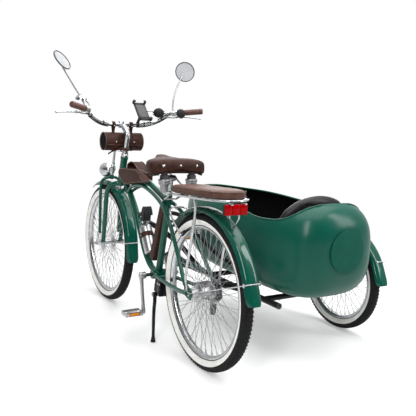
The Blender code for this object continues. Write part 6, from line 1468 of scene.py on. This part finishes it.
chain = Piece("chain_links", DARK_STEEL, SATIN)
pitch = sum(length for _, length in RUNS) / LINKS
for number in range(LINKS):
    (x, z), heading = chain_spot((number + 0.5) * pitch)
    shape = bmesh.new()
    gap = 0.003 if number % 2 else 0.0019
    for side in (1, -1):
        bmesh.ops.create_circle(shape, segments=8, radius=0.004, cap_ends=True,
            matrix=Matrix.Translation((0, side * gap, 0)) @ Matrix.Rotation(pi / 2, 4, "X"))
    made = bmesh.ops.extrude_face_region(shape, geom=shape.faces[:])["geom"]
    bmesh.ops.translate(shape, verts=[item for item in made if isinstance(item, bmesh.types.BMVert)],
        vec=(0.0, 0.0009, 0.0))
    for vert in shape.verts:
        vert.co.x += pitch * 0.5 * (1 if vert.co.x > 0 else -1)
    bmesh.ops.transform(shape, matrix=Matrix.Translation(at((x, -0.0545 - 0.00045, z)))
        @ Matrix.Rotation(-heading, 4, "Y"), verts=shape.verts)
    chain.take(shape, number % 2)
chain.done("frame", "chain", slot="steel")

# %% Chain guard
guard = Piece("chain_guard_pressed", GREEN, CHROME)


def arc(centre, radius, first, last, steps=12):
    """Points of an arc in the vehicle's long plane."""
    return [(centre[0] + radius * cos(radians(first + (last - first) * i / steps)),
        centre[2] + radius * sin(radians(first + (last - first) * i / steps))) for i in range(steps + 1)]


GUARD_LINE = (arc(CRANK, 0.103, 20, 100) + [(0.25, 0.404), (0.11, 0.402), (0.098, 0.392), (0.1, 0.372),
    (0.25, 0.368), (0.36, 0.352)] + arc(CRANK, 0.07, 110, 20))
guard.plate(GUARD_LINE, -0.064, 0.002, 0, 0.0006)
guard.tube([(x, -0.0652, z) for x, z in arc(CRANK, 0.102, 22, 100, 8) + [(0.25, 0.403), (0.112, 0.401)]],
    0.002, 0, 8, 2)
for x, z in ((0.15, 0.395), (0.29, 0.378)):
    guard.bolt((x, -0.0652, z - 0.01), (0, -1, 0), 0.004, 0.0028, 1)
guard.done("frame", "chain_guard", slot="green_paint")

# %% Derailleur
changer = Piece("derailleur_arms", DARK_STEEL, PLASTIC, SATIN)
y = -0.0803
changer.turned((0.004, y, 0.303), (0, -1, 0), [(0.0, 0.0085), (0.006, 0.0085), (0.011, 0.0075),
    (0.0125, 0.0055), (0.0125, -0.008), (0.0, -0.008)], 0, 28)
changer.plate([(0.001, 0.308), (0.012, 0.311), (0.052, 0.276), (0.05, 0.262), (0.04, 0.262), (0.0, 0.295)],
    y - 0.004, 0.005, 0, 0.0014)
changer.turned((0.046, y, 0.269), (0, -1, 0), [(0.0, 0.009), (0.011, 0.009), (0.0138, 0.007), (0.014, -0.008),
    (0.0, -0.0085)], 2, 28)
CAGE = [(0.036, 0.272), (0.054, 0.276), (0.07, 0.262), (0.074, 0.222), (0.062, 0.204), (0.044, 0.206),
    (0.036, 0.224)]
changer.plate(CAGE, y - 0.0035, 0.002, 0, 0.0006)
changer.plate(CAGE, y + 0.0035, 0.002, 0, 0.0006)
for x, z in ((0.052, 0.262), (0.058, 0.222)):
    changer.turned((x, y, z), (0, 1, 0), [(0.0, 0.0024), (0.01, 0.0024), (0.0112, 0.0), (0.01, -0.0024),
        (0.0, -0.0024)], 1, 22)
changer.turned((0.004, y + 0.004, 0.315), (0, 1, 0), [(0.0, 0.0034), (0.007, 0.003), (0.007, -0.004),
    (0.0, -0.004)], 2, 20)
changer.done("frame", "derailleur", slot="steel")

# %% [markdown]
# ## Rear axle, brake and stand
#
# The axle's nuts hold a wire stay for the mudguard. The brake is a pair of curved arms over the
# rim. The stand is a black leg with a rubber foot, bolted below the frame.

# %% Rear axle
axle = Piece("rear_axle_and_stay", CHROME, DARK_STEEL)
axle.turned(REAR, (0, 1, 0), [(0.0, 0.086), (0.0044, 0.086), (0.0048, 0.085), (0.0048, -0.085),
    (0.0044, -0.086), (0.0, -0.086)], 1, 20)
for side in (1, -1):
    axle.nut((REAR[0], side * 0.0785, REAR[2]), (0, side, 0), 0.0098, 0.0076)
    axle.turned((REAR[0], side * 0.0668, REAR[2]), (0, side, 0), [(0.0, 0.001), (0.0085, 0.0008),
        (0.0085, -0.001), (0.0, -0.001)], 0, 24)
guard_wire(axle, REAR, radians(160.5), 0.361, 0.035, 0.075, -0.075, 0.006, 0)
for side in (1, -1):
    spot = about(REAR, radians(160.5), 0.352, side * 0.0375)
    axle.block(spot, (0.01, 0.0024, 0.016), round_by=0.001)
    axle.bolt((spot[0], spot[1] + side * 0.0012, spot[2]), (0, side, 0), 0.0034, 0.0028)
axle.done("frame", "rear_axle", slot="chrome")

# %% Rear brake
brake = Piece("rear_brake_arms", CHROME, RUBBER, SATIN)
pad_x, pad_z = 0.2725 * cos(radians(56.0)), 0.333 + 0.2725 * sin(radians(56.0))
arms = [(0.27, 0.0, 0.656), (0.266, 0.032, 0.654), (0.241, 0.05, 0.64), (0.201, 0.05, 0.601),
    (0.161, 0.049, 0.572), (0.14, 0.047, 0.556), (pad_x + 0.002, 0.036, pad_z + 0.004)]
brake.tube(both_sides(arms), 0.0042, 0, 14, 5)
tangent = (-sin(radians(56.0)), 0.0, cos(radians(56.0)))
outward = (cos(radians(56.0)), 0.0, sin(radians(56.0)))
for side in (1, -1):
    brake.block((pad_x, side * 0.0275, pad_z), (0.034, 0.0095, 0.0165), (tangent, (0, 1, 0), outward), 0.0018,
        1)
    brake.nut((pad_x, side * 0.0355, pad_z), (0, side, 0), 0.0062, 0.006, 2)
brake.turned((0.27, 0.0, 0.656), (-0.7, 0.0, 0.7), [(0.0, 0.012), (0.005, 0.012), (0.0082, 0.009),
    (0.0086, 0.0), (0.006, -0.012), (0.0, -0.012)], 0, 24)
brake.tube([(0.27, 0.0, 0.656), (0.279, 0.0, 0.664)], 0.0058, 2, 18, 1)
brake.done("frame", "rear_brake", slot="chrome")

# %% Stand
mount = Piece("stand_clamp", BLACK, SATIN)
mount.block((0.372, 0.0, 0.2563), (0.034, 0.062, 0.087), round_by=0.004, segments=3)
mount.tube([(0.372, 0.02, 0.224), (0.372, 0.06, 0.224)], 0.005, 1, 18, 1)
mount.nut((0.372, 0.0605, 0.224), (0, 1, 0), 0.0085, 0.0035, 1)
for x in (0.363, 0.381):
    mount.bolt((x, 0.031, 0.272), (0, 1, 0), 0.0042, 0.0032, 1)
mount.done("frame", "stand_mount", slot="black_paint")
stand = Piece("stand_leg", BLACK, RUBBER)
stand.tube([(0.372, 0.048, 0.224), (0.366, 0.05, 0.194), (0.352, 0.06, 0.154), (0.346, 0.063, 0.06),
    (0.344, 0.0635, 0.014)], [0.0086, 0.0088, 0.0082, 0.0076, 0.0076], 0, 20, 6)
stand.turned((0.372, 0.048, 0.224), (0, 1, 0), [(0.0052, 0.0098), (0.011, 0.0098), (0.0125, 0.008),
    (0.0125, -0.008), (0.011, -0.0098), (0.0052, -0.0098)], 0, 28, ring=True)
stand.turned((0.344, 0.064, 0.0), (0, 0, 1), [(0.0, 0.024), (0.0085, 0.024), (0.0095, 0.0215), (0.01, 0.013),
    (0.012, 0.007), (0.0124, 0.003), (0.0112, 0.0016), (0.0, 0.0016)], 1, 28)
stand.done("kickstand", "kickstand", slot="black_paint")

# %% [markdown]
# ## Sidecar body
#
# The tub is a moulded shell: round and blunt behind, long and pointed in front, and open above.
# A sphere is drawn out into that form. The opening is cut from it, and the faces that the cut
# leaves across the opening are taken off. Solidify then gives the wall its thickness inwards,
# and a rolled bead follows the edge. The carpet is cut to the same form, a little smaller.


# %% Sidecar body
TUB_X, TUB_Y, TUB_Z = 0.415, -0.56, 0.5
TUB_LONG, TUB_WIDE, TUB_TALL = 0.665, 0.268, 0.232
SQUARE_ABOVE, SQUARE_BELOW = 2.6, 3.1


def hull(offset, across, along):
    """The tub's form as a closed surface, with an offset from its outer skin."""
    shape = bmesh.new()
    bmesh.ops.create_uvsphere(shape, u_segments=across, v_segments=along, radius=1.0)
    for vert in shape.verts:
        share, turn = vert.co.z, atan2(vert.co.y, vert.co.x)
        vert.co = at(hull_point(share, turn, offset))
    bmesh.ops.recalc_face_normals(shape, faces=shape.faces[:])
    return shape


def hull_section(share):
    """The relative width and height of the tub, and its lift, at a share of its half length."""
    if share < 0.0:
        return ((1.0 - min(1.0, abs(share)) ** 6) ** (1 / 3), (1.0 - min(1.0, abs(share)) ** 9) ** (1 / 3),
            0.0)
    return 1.0 - min(1.0, share) ** 2.5, (1.0 - min(1.0, share) ** 2.6) ** 0.75, 0.05 * share ** 2


def hull_point(share, turn, offset=0.0):
    """A point of the tub's skin."""
    wide, tall, lift = hull_section(share)
    y, z = rounded(turn, SQUARE_ABOVE if turn >= 0.0 else SQUARE_BELOW)
    return (TUB_X + (TUB_LONG + offset) * share, TUB_Y + (TUB_WIDE + offset) * wide * y,
        TUB_Z + lift + (TUB_TALL + offset) * tall * z)


OPENING = [(-0.17, 0.742), (-0.153, 0.706), (-0.135, 0.685), (-0.112, 0.66), (-0.083, 0.643), (-0.04, 0.631),
    (0.01, 0.626), (0.06, 0.624), (0.109, 0.626), (0.196, 0.637), (0.3, 0.65), (0.45, 0.66), (0.6, 0.667),
    (0.82, 0.673), (0.9, 0.684), (0.95, 0.712), (0.975, 0.76)]
edge_line, _ = smooth_line([Vector((x, z, 0.0)) for x, z in OPENING], [0.0] * len(OPENING), 5)
edge_line = [(point.x, point.y) for point in edge_line]


def loose(name, shape):
    """A scratch object that holds a shape for a Boolean."""
    mesh = bpy.data.meshes.new(name)
    shape.to_mesh(mesh)
    shape.free()
    made = bpy.data.objects.new(name, mesh)
    bpy.context.scene.collection.objects.link(made)
    return made


def cut(target, tool, operation="DIFFERENCE"):
    """The shape that an exact Boolean leaves of two scratch objects, which are then removed."""
    step = target.modifiers.new("cut", "BOOLEAN")
    step.operation = operation
    step.solver = "EXACT"
    step.object = tool
    bpy.context.view_layer.update()
    mesh = bpy.data.meshes.new_from_object(target.evaluated_get(bpy.context.evaluated_depsgraph_get()))
    left = bmesh.new()
    left.from_mesh(mesh)
    bpy.data.objects.remove(target, do_unlink=True)
    bpy.data.objects.remove(tool, do_unlink=True)
    bpy.data.meshes.remove(mesh)
    for face in left.faces:
        face.material_index = 0
    return left


def opening_cutter():
    """The tub's opening, as a long block across the vehicle with the opening's curved lower edge."""
    shape = bmesh.new()
    drawn = [(-0.33, 0.9), (-0.33, 0.86), *edge_line, (0.985, 0.9)]
    shape.faces.new([shape.verts.new(at((x, -0.95, z))) for x, z in drawn])
    made = bmesh.ops.extrude_face_region(shape, geom=shape.faces[:])["geom"]
    bmesh.ops.translate(shape, verts=[item for item in made if isinstance(item, bmesh.types.BMVert)],
        vec=(0.0, 0.78, 0.0))
    bmesh.ops.recalc_face_normals(shape, faces=shape.faces[:])
    return loose("opening", shape)


def lid_height(x):
    """The height of the opening's edge at a place along the vehicle."""
    for (near_x, near_z), (far_x, far_z) in zip(edge_line[:-1], edge_line[1:]):
        if near_x <= x <= far_x:
            return near_z + (far_z - near_z) * (x - near_x) / (far_x - near_x)
    return 0.0


shell = cut(loose("tub_shell", hull(0.0, 128, 96)), opening_cutter())
lid = [face for face in shell.faces
    if all(abs(vert.co.z - ORIGIN.z - lid_height(vert.co.x - ORIGIN.x)) < 0.0002 for vert in face.verts)]
bmesh.ops.delete(shell, geom=lid, context="FACES")
print("faces taken off the opening:", len(lid))
tub = Piece("sidecar_tub_shell", TUB_GREEN, LINING)
tub.take(shell, None)
BEAD_WIDE = 0.2665
rim = []
for x, z in edge_line:
    wide, tall, lift = hull_section((x - TUB_X) / TUB_LONG)
    level = (z - TUB_Z - lift) / (TUB_TALL * max(tall, 0.001))
    if level < 0.9995:
        turn = asin(level ** (SQUARE_ABOVE / 2))
        rim.append((x, TUB_Y + BEAD_WIDE * wide * cos(turn) ** (2 / SQUARE_ABOVE), z))
tub.tube(rim + [(x, 2 * TUB_Y - y, z) for x, y, z in reversed(rim)], 0.0045, 0, 12, 2, loop=True)
tub_object = tub.done("frame", "sidecar_tub", slot="green_paint", sharp=40.0)
skin = tub_object.modifiers.new("wall", "SOLIDIFY")
skin.thickness = 0.004
skin.offset = -1.0
skin.material_offset = 1

badge = Piece("sidecar_badge_disc", BADGE_GREEN)
BADGE_RADIUS, BADGE_Z = 0.095, 0.513
shape = bmesh.new()
bmesh.ops.create_circle(shape, cap_ends=False, segments=72, radius=BADGE_RADIUS)
made = bmesh.ops.extrude_edge_only(shape, edges=shape.edges[:])["geom"]
for share in (0.92, 0.75, 0.5, 0.25, 0.02):
    verts = [item for item in made if isinstance(item, bmesh.types.BMVert)]
    ring_now = [item for item in made if isinstance(item, bmesh.types.BMEdge)]
    for vert in verts:
        vert.co = Vector((vert.co.x, vert.co.y, 0.0)).normalized() * BADGE_RADIUS * share
    if share > 0.02:
        made = bmesh.ops.extrude_edge_only(shape, edges=[e for e in ring_now
            if len(e.link_faces) == 1])["geom"]
bmesh.ops.holes_fill(shape, edges=[e for e in shape.edges if len(e.link_faces) == 1
    and e.verts[0].co.length < 0.01], sides=0)


def rear_skin(y, z):
    """How far back the tub's rear skin lies at a height and a distance from the middle."""
    low_share, high_share = -0.999, -0.3
    for _ in range(40):
        share = (low_share + high_share) / 2
        wide, tall, lift = hull_section(share)
        square = SQUARE_ABOVE if z >= TUB_Z else SQUARE_BELOW
        beside, above_middle = abs(y - TUB_Y) / (TUB_WIDE * wide), abs(z - TUB_Z) / (TUB_TALL * tall)
        inside = beside ** square + above_middle ** square < 1.0
        low_share, high_share = (low_share, share) if inside else (share, high_share)
    return TUB_X + TUB_LONG * high_share


for vert in shape.verts:
    y, z = TUB_Y + vert.co.x, BADGE_Z + vert.co.y
    proud = 0.0026 if vert.co.length > 0.094 else 0.0029
    vert.co = at((rear_skin(y, z) - proud, y, z))
bmesh.ops.recalc_face_normals(shape, faces=shape.faces[:])
bmesh.ops.solidify(shape, geom=shape.faces[:], thickness=0.004)
badge.take(shape)
badge.done("frame", "sidecar_badge", slot="badge_green")

# %% [markdown]
# ## Seat in the sidecar
#
# The seat is a stuffed cushion with sewn channels on a carpeted floor, with a back pad and a
# padded roll that rests on the tub's rear edge. All three are swelled by cloth simulation.


# %% Seat in the sidecar
def channelled(centre, size, columns, turn_to=None, round_by=0.02):
    """A rounded pad whose top is drawn in along sewn channels."""
    shape = bmesh.new()
    bmesh.ops.create_cube(shape, size=1.0)
    bmesh.ops.scale(shape, vec=Vector(size), verts=shape.verts)
    bmesh.ops.bevel(shape, geom=shape.edges[:], offset=round_by, offset_type="OFFSET", segments=4,
        profile=0.5, affect="EDGES", material=-1, clamp_overlap=True)
    for number in range(1, columns * 10):
        place = -size[1] / 2 + size[1] * number / (columns * 10)
        bmesh.ops.bisect_plane(shape, geom=shape.verts[:] + shape.edges[:] + shape.faces[:], dist=0.00001,
            plane_co=(0.0, place, 0.0), plane_no=(0.0, 1.0, 0.0))
    for vert in shape.verts:
        if vert.co.z > 0.0:
            share = (vert.co.y / size[1] + 0.5) * columns
            wave = abs(sin(pi * share))
            inner = 1.0 - abs(vert.co.y) / (size[1] / 2) > 0.05
            vert.co.z -= (0.0085 * (1.0 - wave) ** 2 if inner else 0.0) * vert.co.z / (size[2] / 2)
    lean_matrix = Matrix.Translation(at(centre))
    if turn_to:
        lean_matrix = lean_matrix @ turn_to
    bmesh.ops.transform(shape, matrix=lean_matrix, verts=shape.verts)
    return shape


slab = bmesh.new()
bmesh.ops.create_cube(slab, size=1.0)
bmesh.ops.scale(slab, vec=(0.94, 0.6, 0.006), verts=slab.verts)
bmesh.ops.translate(slab, vec=at((0.33, -0.56, 0.307)), verts=slab.verts)
floor_piece = Piece("sidecar_floor_carpet", CARPET)
floor_piece.take(cut(loose("tub_room", hull(-0.005, 64, 48)), loose("slab", slab), "INTERSECT"))
floor_piece.done("frame", slot="black_vinyl")

seat = Piece("sidecar_seat_cushion", VINYL)
seat.take(channelled((0.145, -0.56, 0.3515), (0.388, 0.388, 0.083), 4))
seat_object = seat.done("frame", "sidecar_seat", slot="black_vinyl")
swell(seat_object, 0.005)

back = Piece("sidecar_back_pad", VINYL)
upright = Matrix.Rotation(pi / 2, 4, "Y")
back.take(channelled((-0.1, -0.56, 0.475), (0.3, 0.345, 0.074), 4, upright))
back_object = back.done("frame", "sidecar_backrest", slot="black_vinyl")
swell(back_object, 0.0045)

roll = Piece("sidecar_head_roll", VINYL)
half_roll = [(-0.016, 0.195, 0.615), (-0.028, 0.16, 0.648), (-0.042, 0.1, 0.683), (-0.05, 0.0, 0.699)]
roll_line = [(x, TUB_Y + y, z) for x, y, z in half_roll] + [(x, TUB_Y - y, z) for x, y,
    z in half_roll[-2::-1]]
roll.tube(roll_line, [0.012, 0.025, 0.031, 0.0325, 0.031, 0.025, 0.012], 0, 24, 6)
roll.block((-0.07, -0.56, 0.65), (0.04, 0.18, 0.07), round_by=0.012, segments=3)
roll_pad = roll.done("frame", slot="black_vinyl")
swell(roll_pad, 0.003)
roll_seam = Piece("sidecar_roll_seam", VINYL)
roll_seam.tube([(x - 0.015, y, z + radius * 0.92) for (x, y, z), radius in zip(roll_line,
    [0.01, 0.0235, 0.03, 0.0315, 0.03, 0.0235, 0.01])], 0.0018, 0, 8, 6)
roll_seam.done("frame", slot="black_vinyl")

# %% [markdown]
# ## Sidecar chassis
#
# Black tubes carry the tub and the third wheel. Two long rails run under the tub, and braces
# reach across to the bicycle's frame at three places.

# %% Sidecar chassis
chassis = Piece("sidecar_chassis_tubes", BLACK, SATIN, DARK_STEEL)
RAIL_Z = 0.2537
chassis.tube([(-0.094, -0.33, RAIL_Z), (0.02, -0.33, RAIL_Z), (0.44, -0.33, RAIL_Z),
    (0.56, -0.326, RAIL_Z + 0.006), (0.64, -0.31, RAIL_Z + 0.045), (0.664, -0.25, 0.375),
    (0.672, -0.12, 0.478), (0.676, -0.045, 0.52)], 0.014, 0, 20, 6)
chassis.tube([(0.0, -0.842, RAIL_Z), (0.5, -0.842, RAIL_Z)], 0.014, 0, 20, 1)
for x in (0.02, 0.26, 0.49):
    chassis.tube([(x, -0.33, RAIL_Z), (x, -0.842, RAIL_Z)], 0.0134, 0, 18, 1)
for x, y in ((-0.094, -0.33), (0.0, -0.842), (0.5, -0.842)):
    chassis.ball((x, y, RAIL_Z), 0.0143, (0.5, 1.0, 1.0), 2, 10)
chassis.tube([(0.139, -0.832, 0.26), (0.139, -0.8787, 0.26)], 0.0175, 0, 28, 1)
chassis.tube([(0.139, -0.842, RAIL_Z), (0.139, -0.8545, RAIL_Z + 0.04), (0.139, -0.8545, 0.5),
    (0.139, -0.86, 0.537)], 0.007, 0, 14, 4)
chassis.tube([(0.13, -0.33, RAIL_Z), (0.16, -0.24, RAIL_Z + 0.03), (0.17, -0.12, 0.313),
    (0.17, -0.068, 0.313)], 0.011, 0, 18, 6)
chassis.tube([(0.13, -0.33, RAIL_Z), (0.14, -0.314, RAIL_Z + 0.08), (0.24, -0.19, 0.44), (0.34, -0.06, 0.602),
    (0.3665, -0.03, 0.612), (0.3665, -0.016, 0.612)], 0.01, 0, 18, 6)
chassis.tube([(0.676, -0.045, 0.52), (0.688, -0.029, 0.532)], 0.011, 0, 18, 1)
chassis.turned((0.688, -0.025, 0.532), (0, 1, 0), [(0.0, 0.0085), (0.0105, 0.0085), (0.012, 0.007),
    (0.012, -0.007), (0.0105, -0.0085), (0.0, -0.0085)], 0, 28)
chassis.nut((0.688, -0.035, 0.532), (0, -1, 0), 0.0075, 0.006, 1)
for x in (0.02, 0.26, 0.49):
    for y in (-0.42, -0.7):
        chassis.bolt((x, y, RAIL_Z - 0.0134), (0, 0, -1), 0.005, 0.004, 1)
chassis.done("frame", "sidecar_chassis", slot="black_paint")

# %% Sidecar axle
side_axle = Piece("sidecar_axle_and_stay", CHROME, DARK_STEEL)
side_axle.turned(SIDE, (0, 1, 0), [(0.0, 0.085), (0.0048, 0.085), (0.0048, -0.057), (0.004, -0.058),
    (0.0, -0.058)], 1, 20)
side_axle.nut((0.139, -0.9662, 0.26), (0, -1, 0), 0.0098, 0.01)
SIDE_GUARD = 0.29
stay_way = radians(150.0)
out = -0.0436
side_axle.tube([about(SIDE, stay_way, 0.006, -0.0443), about(SIDE, stay_way, SIDE_GUARD - 0.075, out + 0.001),
    about(SIDE, stay_way, SIDE_GUARD - 0.0085, out), about(SIDE, stay_way, SIDE_GUARD + 0.002, out * 0.86),
    about(SIDE, stay_way, SIDE_GUARD + 0.0027, out * 0.55), about(SIDE, stay_way, SIDE_GUARD + 0.0027, 0.0),
    about(SIDE, stay_way, SIDE_GUARD + 0.0027, -out * 0.3)], 0.0022, 0, 10, 5)
side_axle.bolt(about(SIDE, stay_way, SIDE_GUARD + 0.0024, 0.01), (cos(stay_way), 0, sin(stay_way)), 0.0034,
    0.003)
side_axle.done("frame", "sidecar_axle", slot="chrome")

# %% [markdown]
# ## Floor and light
#
# The photograph has a pure white ground, and soft light from above and behind the vehicle. The
# camera sees that white, and so do metal and glass, but the room behind the photographer is
# dimmer in them, which draws the dark lines in the chrome. The floor is pale and keeps the
# vehicle's shadow, and it goes over into plain white further out.


# %% Floor
def floor_paper():
    """A pale floor with the vehicle's shadow near it, and plain white further out."""
    made = bpy.data.materials.new("floor paper")
    made.use_nodes = True
    tree = made.node_tree
    shader = tree.nodes["Principled BSDF"]
    shader.inputs["Base Color"].default_value = (0.95, 0.95, 0.95, 1.0)
    shader.inputs["Roughness"].default_value = 0.9
    shader.inputs["Specular IOR Level"].default_value = 0.0
    white = tree.nodes.new("ShaderNodeEmission")
    white.inputs["Color"].default_value = (1.0, 1.0, 1.0, 1.0)
    white.inputs["Strength"].default_value = 1.0
    place = tree.nodes.new("ShaderNodeTexCoord")
    distance = tree.nodes.new("ShaderNodeVectorMath")
    distance.operation = "LENGTH"
    tree.links.new(place.outputs["Object"], distance.inputs[0])
    share = tree.nodes.new("ShaderNodeMapRange")
    share.inputs["From Min"].default_value = 1.1
    share.inputs["From Max"].default_value = 2.4
    share.inputs["To Min"].default_value = 0.3
    share.inputs["To Max"].default_value = 1.0
    tree.links.new(distance.outputs["Value"], share.inputs["Value"])
    mixed = tree.nodes.new("ShaderNodeMixShader")
    tree.links.new(share.outputs["Result"], mixed.inputs["Fac"])
    tree.links.new(shader.outputs["BSDF"], mixed.inputs[1])
    tree.links.new(white.outputs["Emission"], mixed.inputs[2])
    tree.links.new(mixed.outputs["Shader"], tree.nodes["Material Output"].inputs["Surface"])
    return made


shape = bmesh.new()
bmesh.ops.create_grid(shape, x_segments=2, y_segments=2, size=40.0)
mesh = bpy.data.meshes.new("floor")
shape.to_mesh(mesh)
shape.free()
mesh.materials.append(floor_paper())
ground = bpy.data.objects.new("floor", mesh)
bpy.context.scene.collection.objects.link(ground)

# %% Sky and lamps
world = bpy.data.worlds.new("studio")
bpy.context.scene.world = world
world.use_nodes = True
tree = world.node_tree
room = tree.nodes["Background"]
direction = tree.nodes.new("ShaderNodeTexCoord")
facing = tree.nodes.new("ShaderNodeVectorMath")
facing.operation = "DOT_PRODUCT"
facing.inputs[1].default_value = (forward.x * 0.8, forward.y * 0.8, 0.75)
tree.links.new(direction.outputs["Generated"], facing.inputs[0])
shade = tree.nodes.new("ShaderNodeValToRGB")
shade.color_ramp.elements[0].position = 0.42
shade.color_ramp.elements[0].color = (0.05, 0.05, 0.05, 1.0)
shade.color_ramp.elements[1].position = 0.92
shade.color_ramp.elements[1].color = (1.0, 1.0, 1.0, 1.0)
spread = tree.nodes.new("ShaderNodeMapRange")
spread.inputs["From Min"].default_value = -1.0
spread.inputs["From Max"].default_value = 1.0
tree.links.new(facing.outputs["Value"], spread.inputs["Value"])
tree.links.new(spread.outputs["Result"], shade.inputs["Fac"])
tree.links.new(shade.outputs["Color"], room.inputs["Color"])
room.inputs["Strength"].default_value = 0.74
backdrop = tree.nodes.new("ShaderNodeBackground")
backdrop.inputs["Strength"].default_value = 1.0
ray = tree.nodes.new("ShaderNodeLightPath")
white = tree.nodes.new("ShaderNodeMix")
white.data_type = "RGBA"
white.inputs["B"].default_value = (1.0, 1.0, 1.0, 1.0)
tree.links.new(ray.outputs["Is Camera Ray"], white.inputs["Factor"])
tree.links.new(shade.outputs["Color"], white.inputs["A"])
tree.links.new(white.outputs["Result"], backdrop.inputs["Color"])
sharp_ray = ray.outputs["Is Camera Ray"]
for kind in ("Is Glossy Ray", "Is Transmission Ray"):
    either = tree.nodes.new("ShaderNodeMath")
    either.operation = "MAXIMUM"
    tree.links.new(sharp_ray, either.inputs[0])
    tree.links.new(ray.outputs[kind], either.inputs[1])
    sharp_ray = either.outputs["Value"]
seen = tree.nodes.new("ShaderNodeMixShader")
tree.links.new(sharp_ray, seen.inputs["Fac"])
tree.links.new(room.outputs["Background"], seen.inputs[1])
tree.links.new(backdrop.outputs["Background"], seen.inputs[2])
tree.links.new(seen.outputs["Shader"], tree.nodes["World Output"].inputs["Surface"])


def lamp(name, place, target, wide, tall, power):
    """A soft lamp that faces a point."""
    data = bpy.data.lights.new(name, "AREA")
    data.shape = "RECTANGLE"
    data.size = wide
    data.size_y = tall
    data.energy = power
    made = bpy.data.objects.new(name, data)
    bpy.context.scene.collection.objects.link(made)
    way = Vector(target) - Vector(place)
    made.matrix_world = Matrix.Translation(Vector(place)) @ way.to_track_quat("-Z", "Y").to_matrix().to_4x4()
    return made


lamp("key", (-2.6, 2.4, 3.0), (0.0, 0.0, 0.5), 0.7, 3.0, 95.0)
lamp("top", (-0.2, -0.2, 3.2), (0.0, 0.0, 0.4), 3.2, 3.2, 105.0)
lamp("rear right", (-2.4, -2.2, 2.6), (0.0, 0.0, 0.5), 0.9, 2.6, 70.0)
lamp("front", (3.0, -1.6, 2.4), (0.0, 0.0, 0.5), 2.0, 2.0, 35.0)
bpy.context.scene.view_settings.view_transform = "Standard"
print("lamps:", [light.name for light in bpy.data.lights])
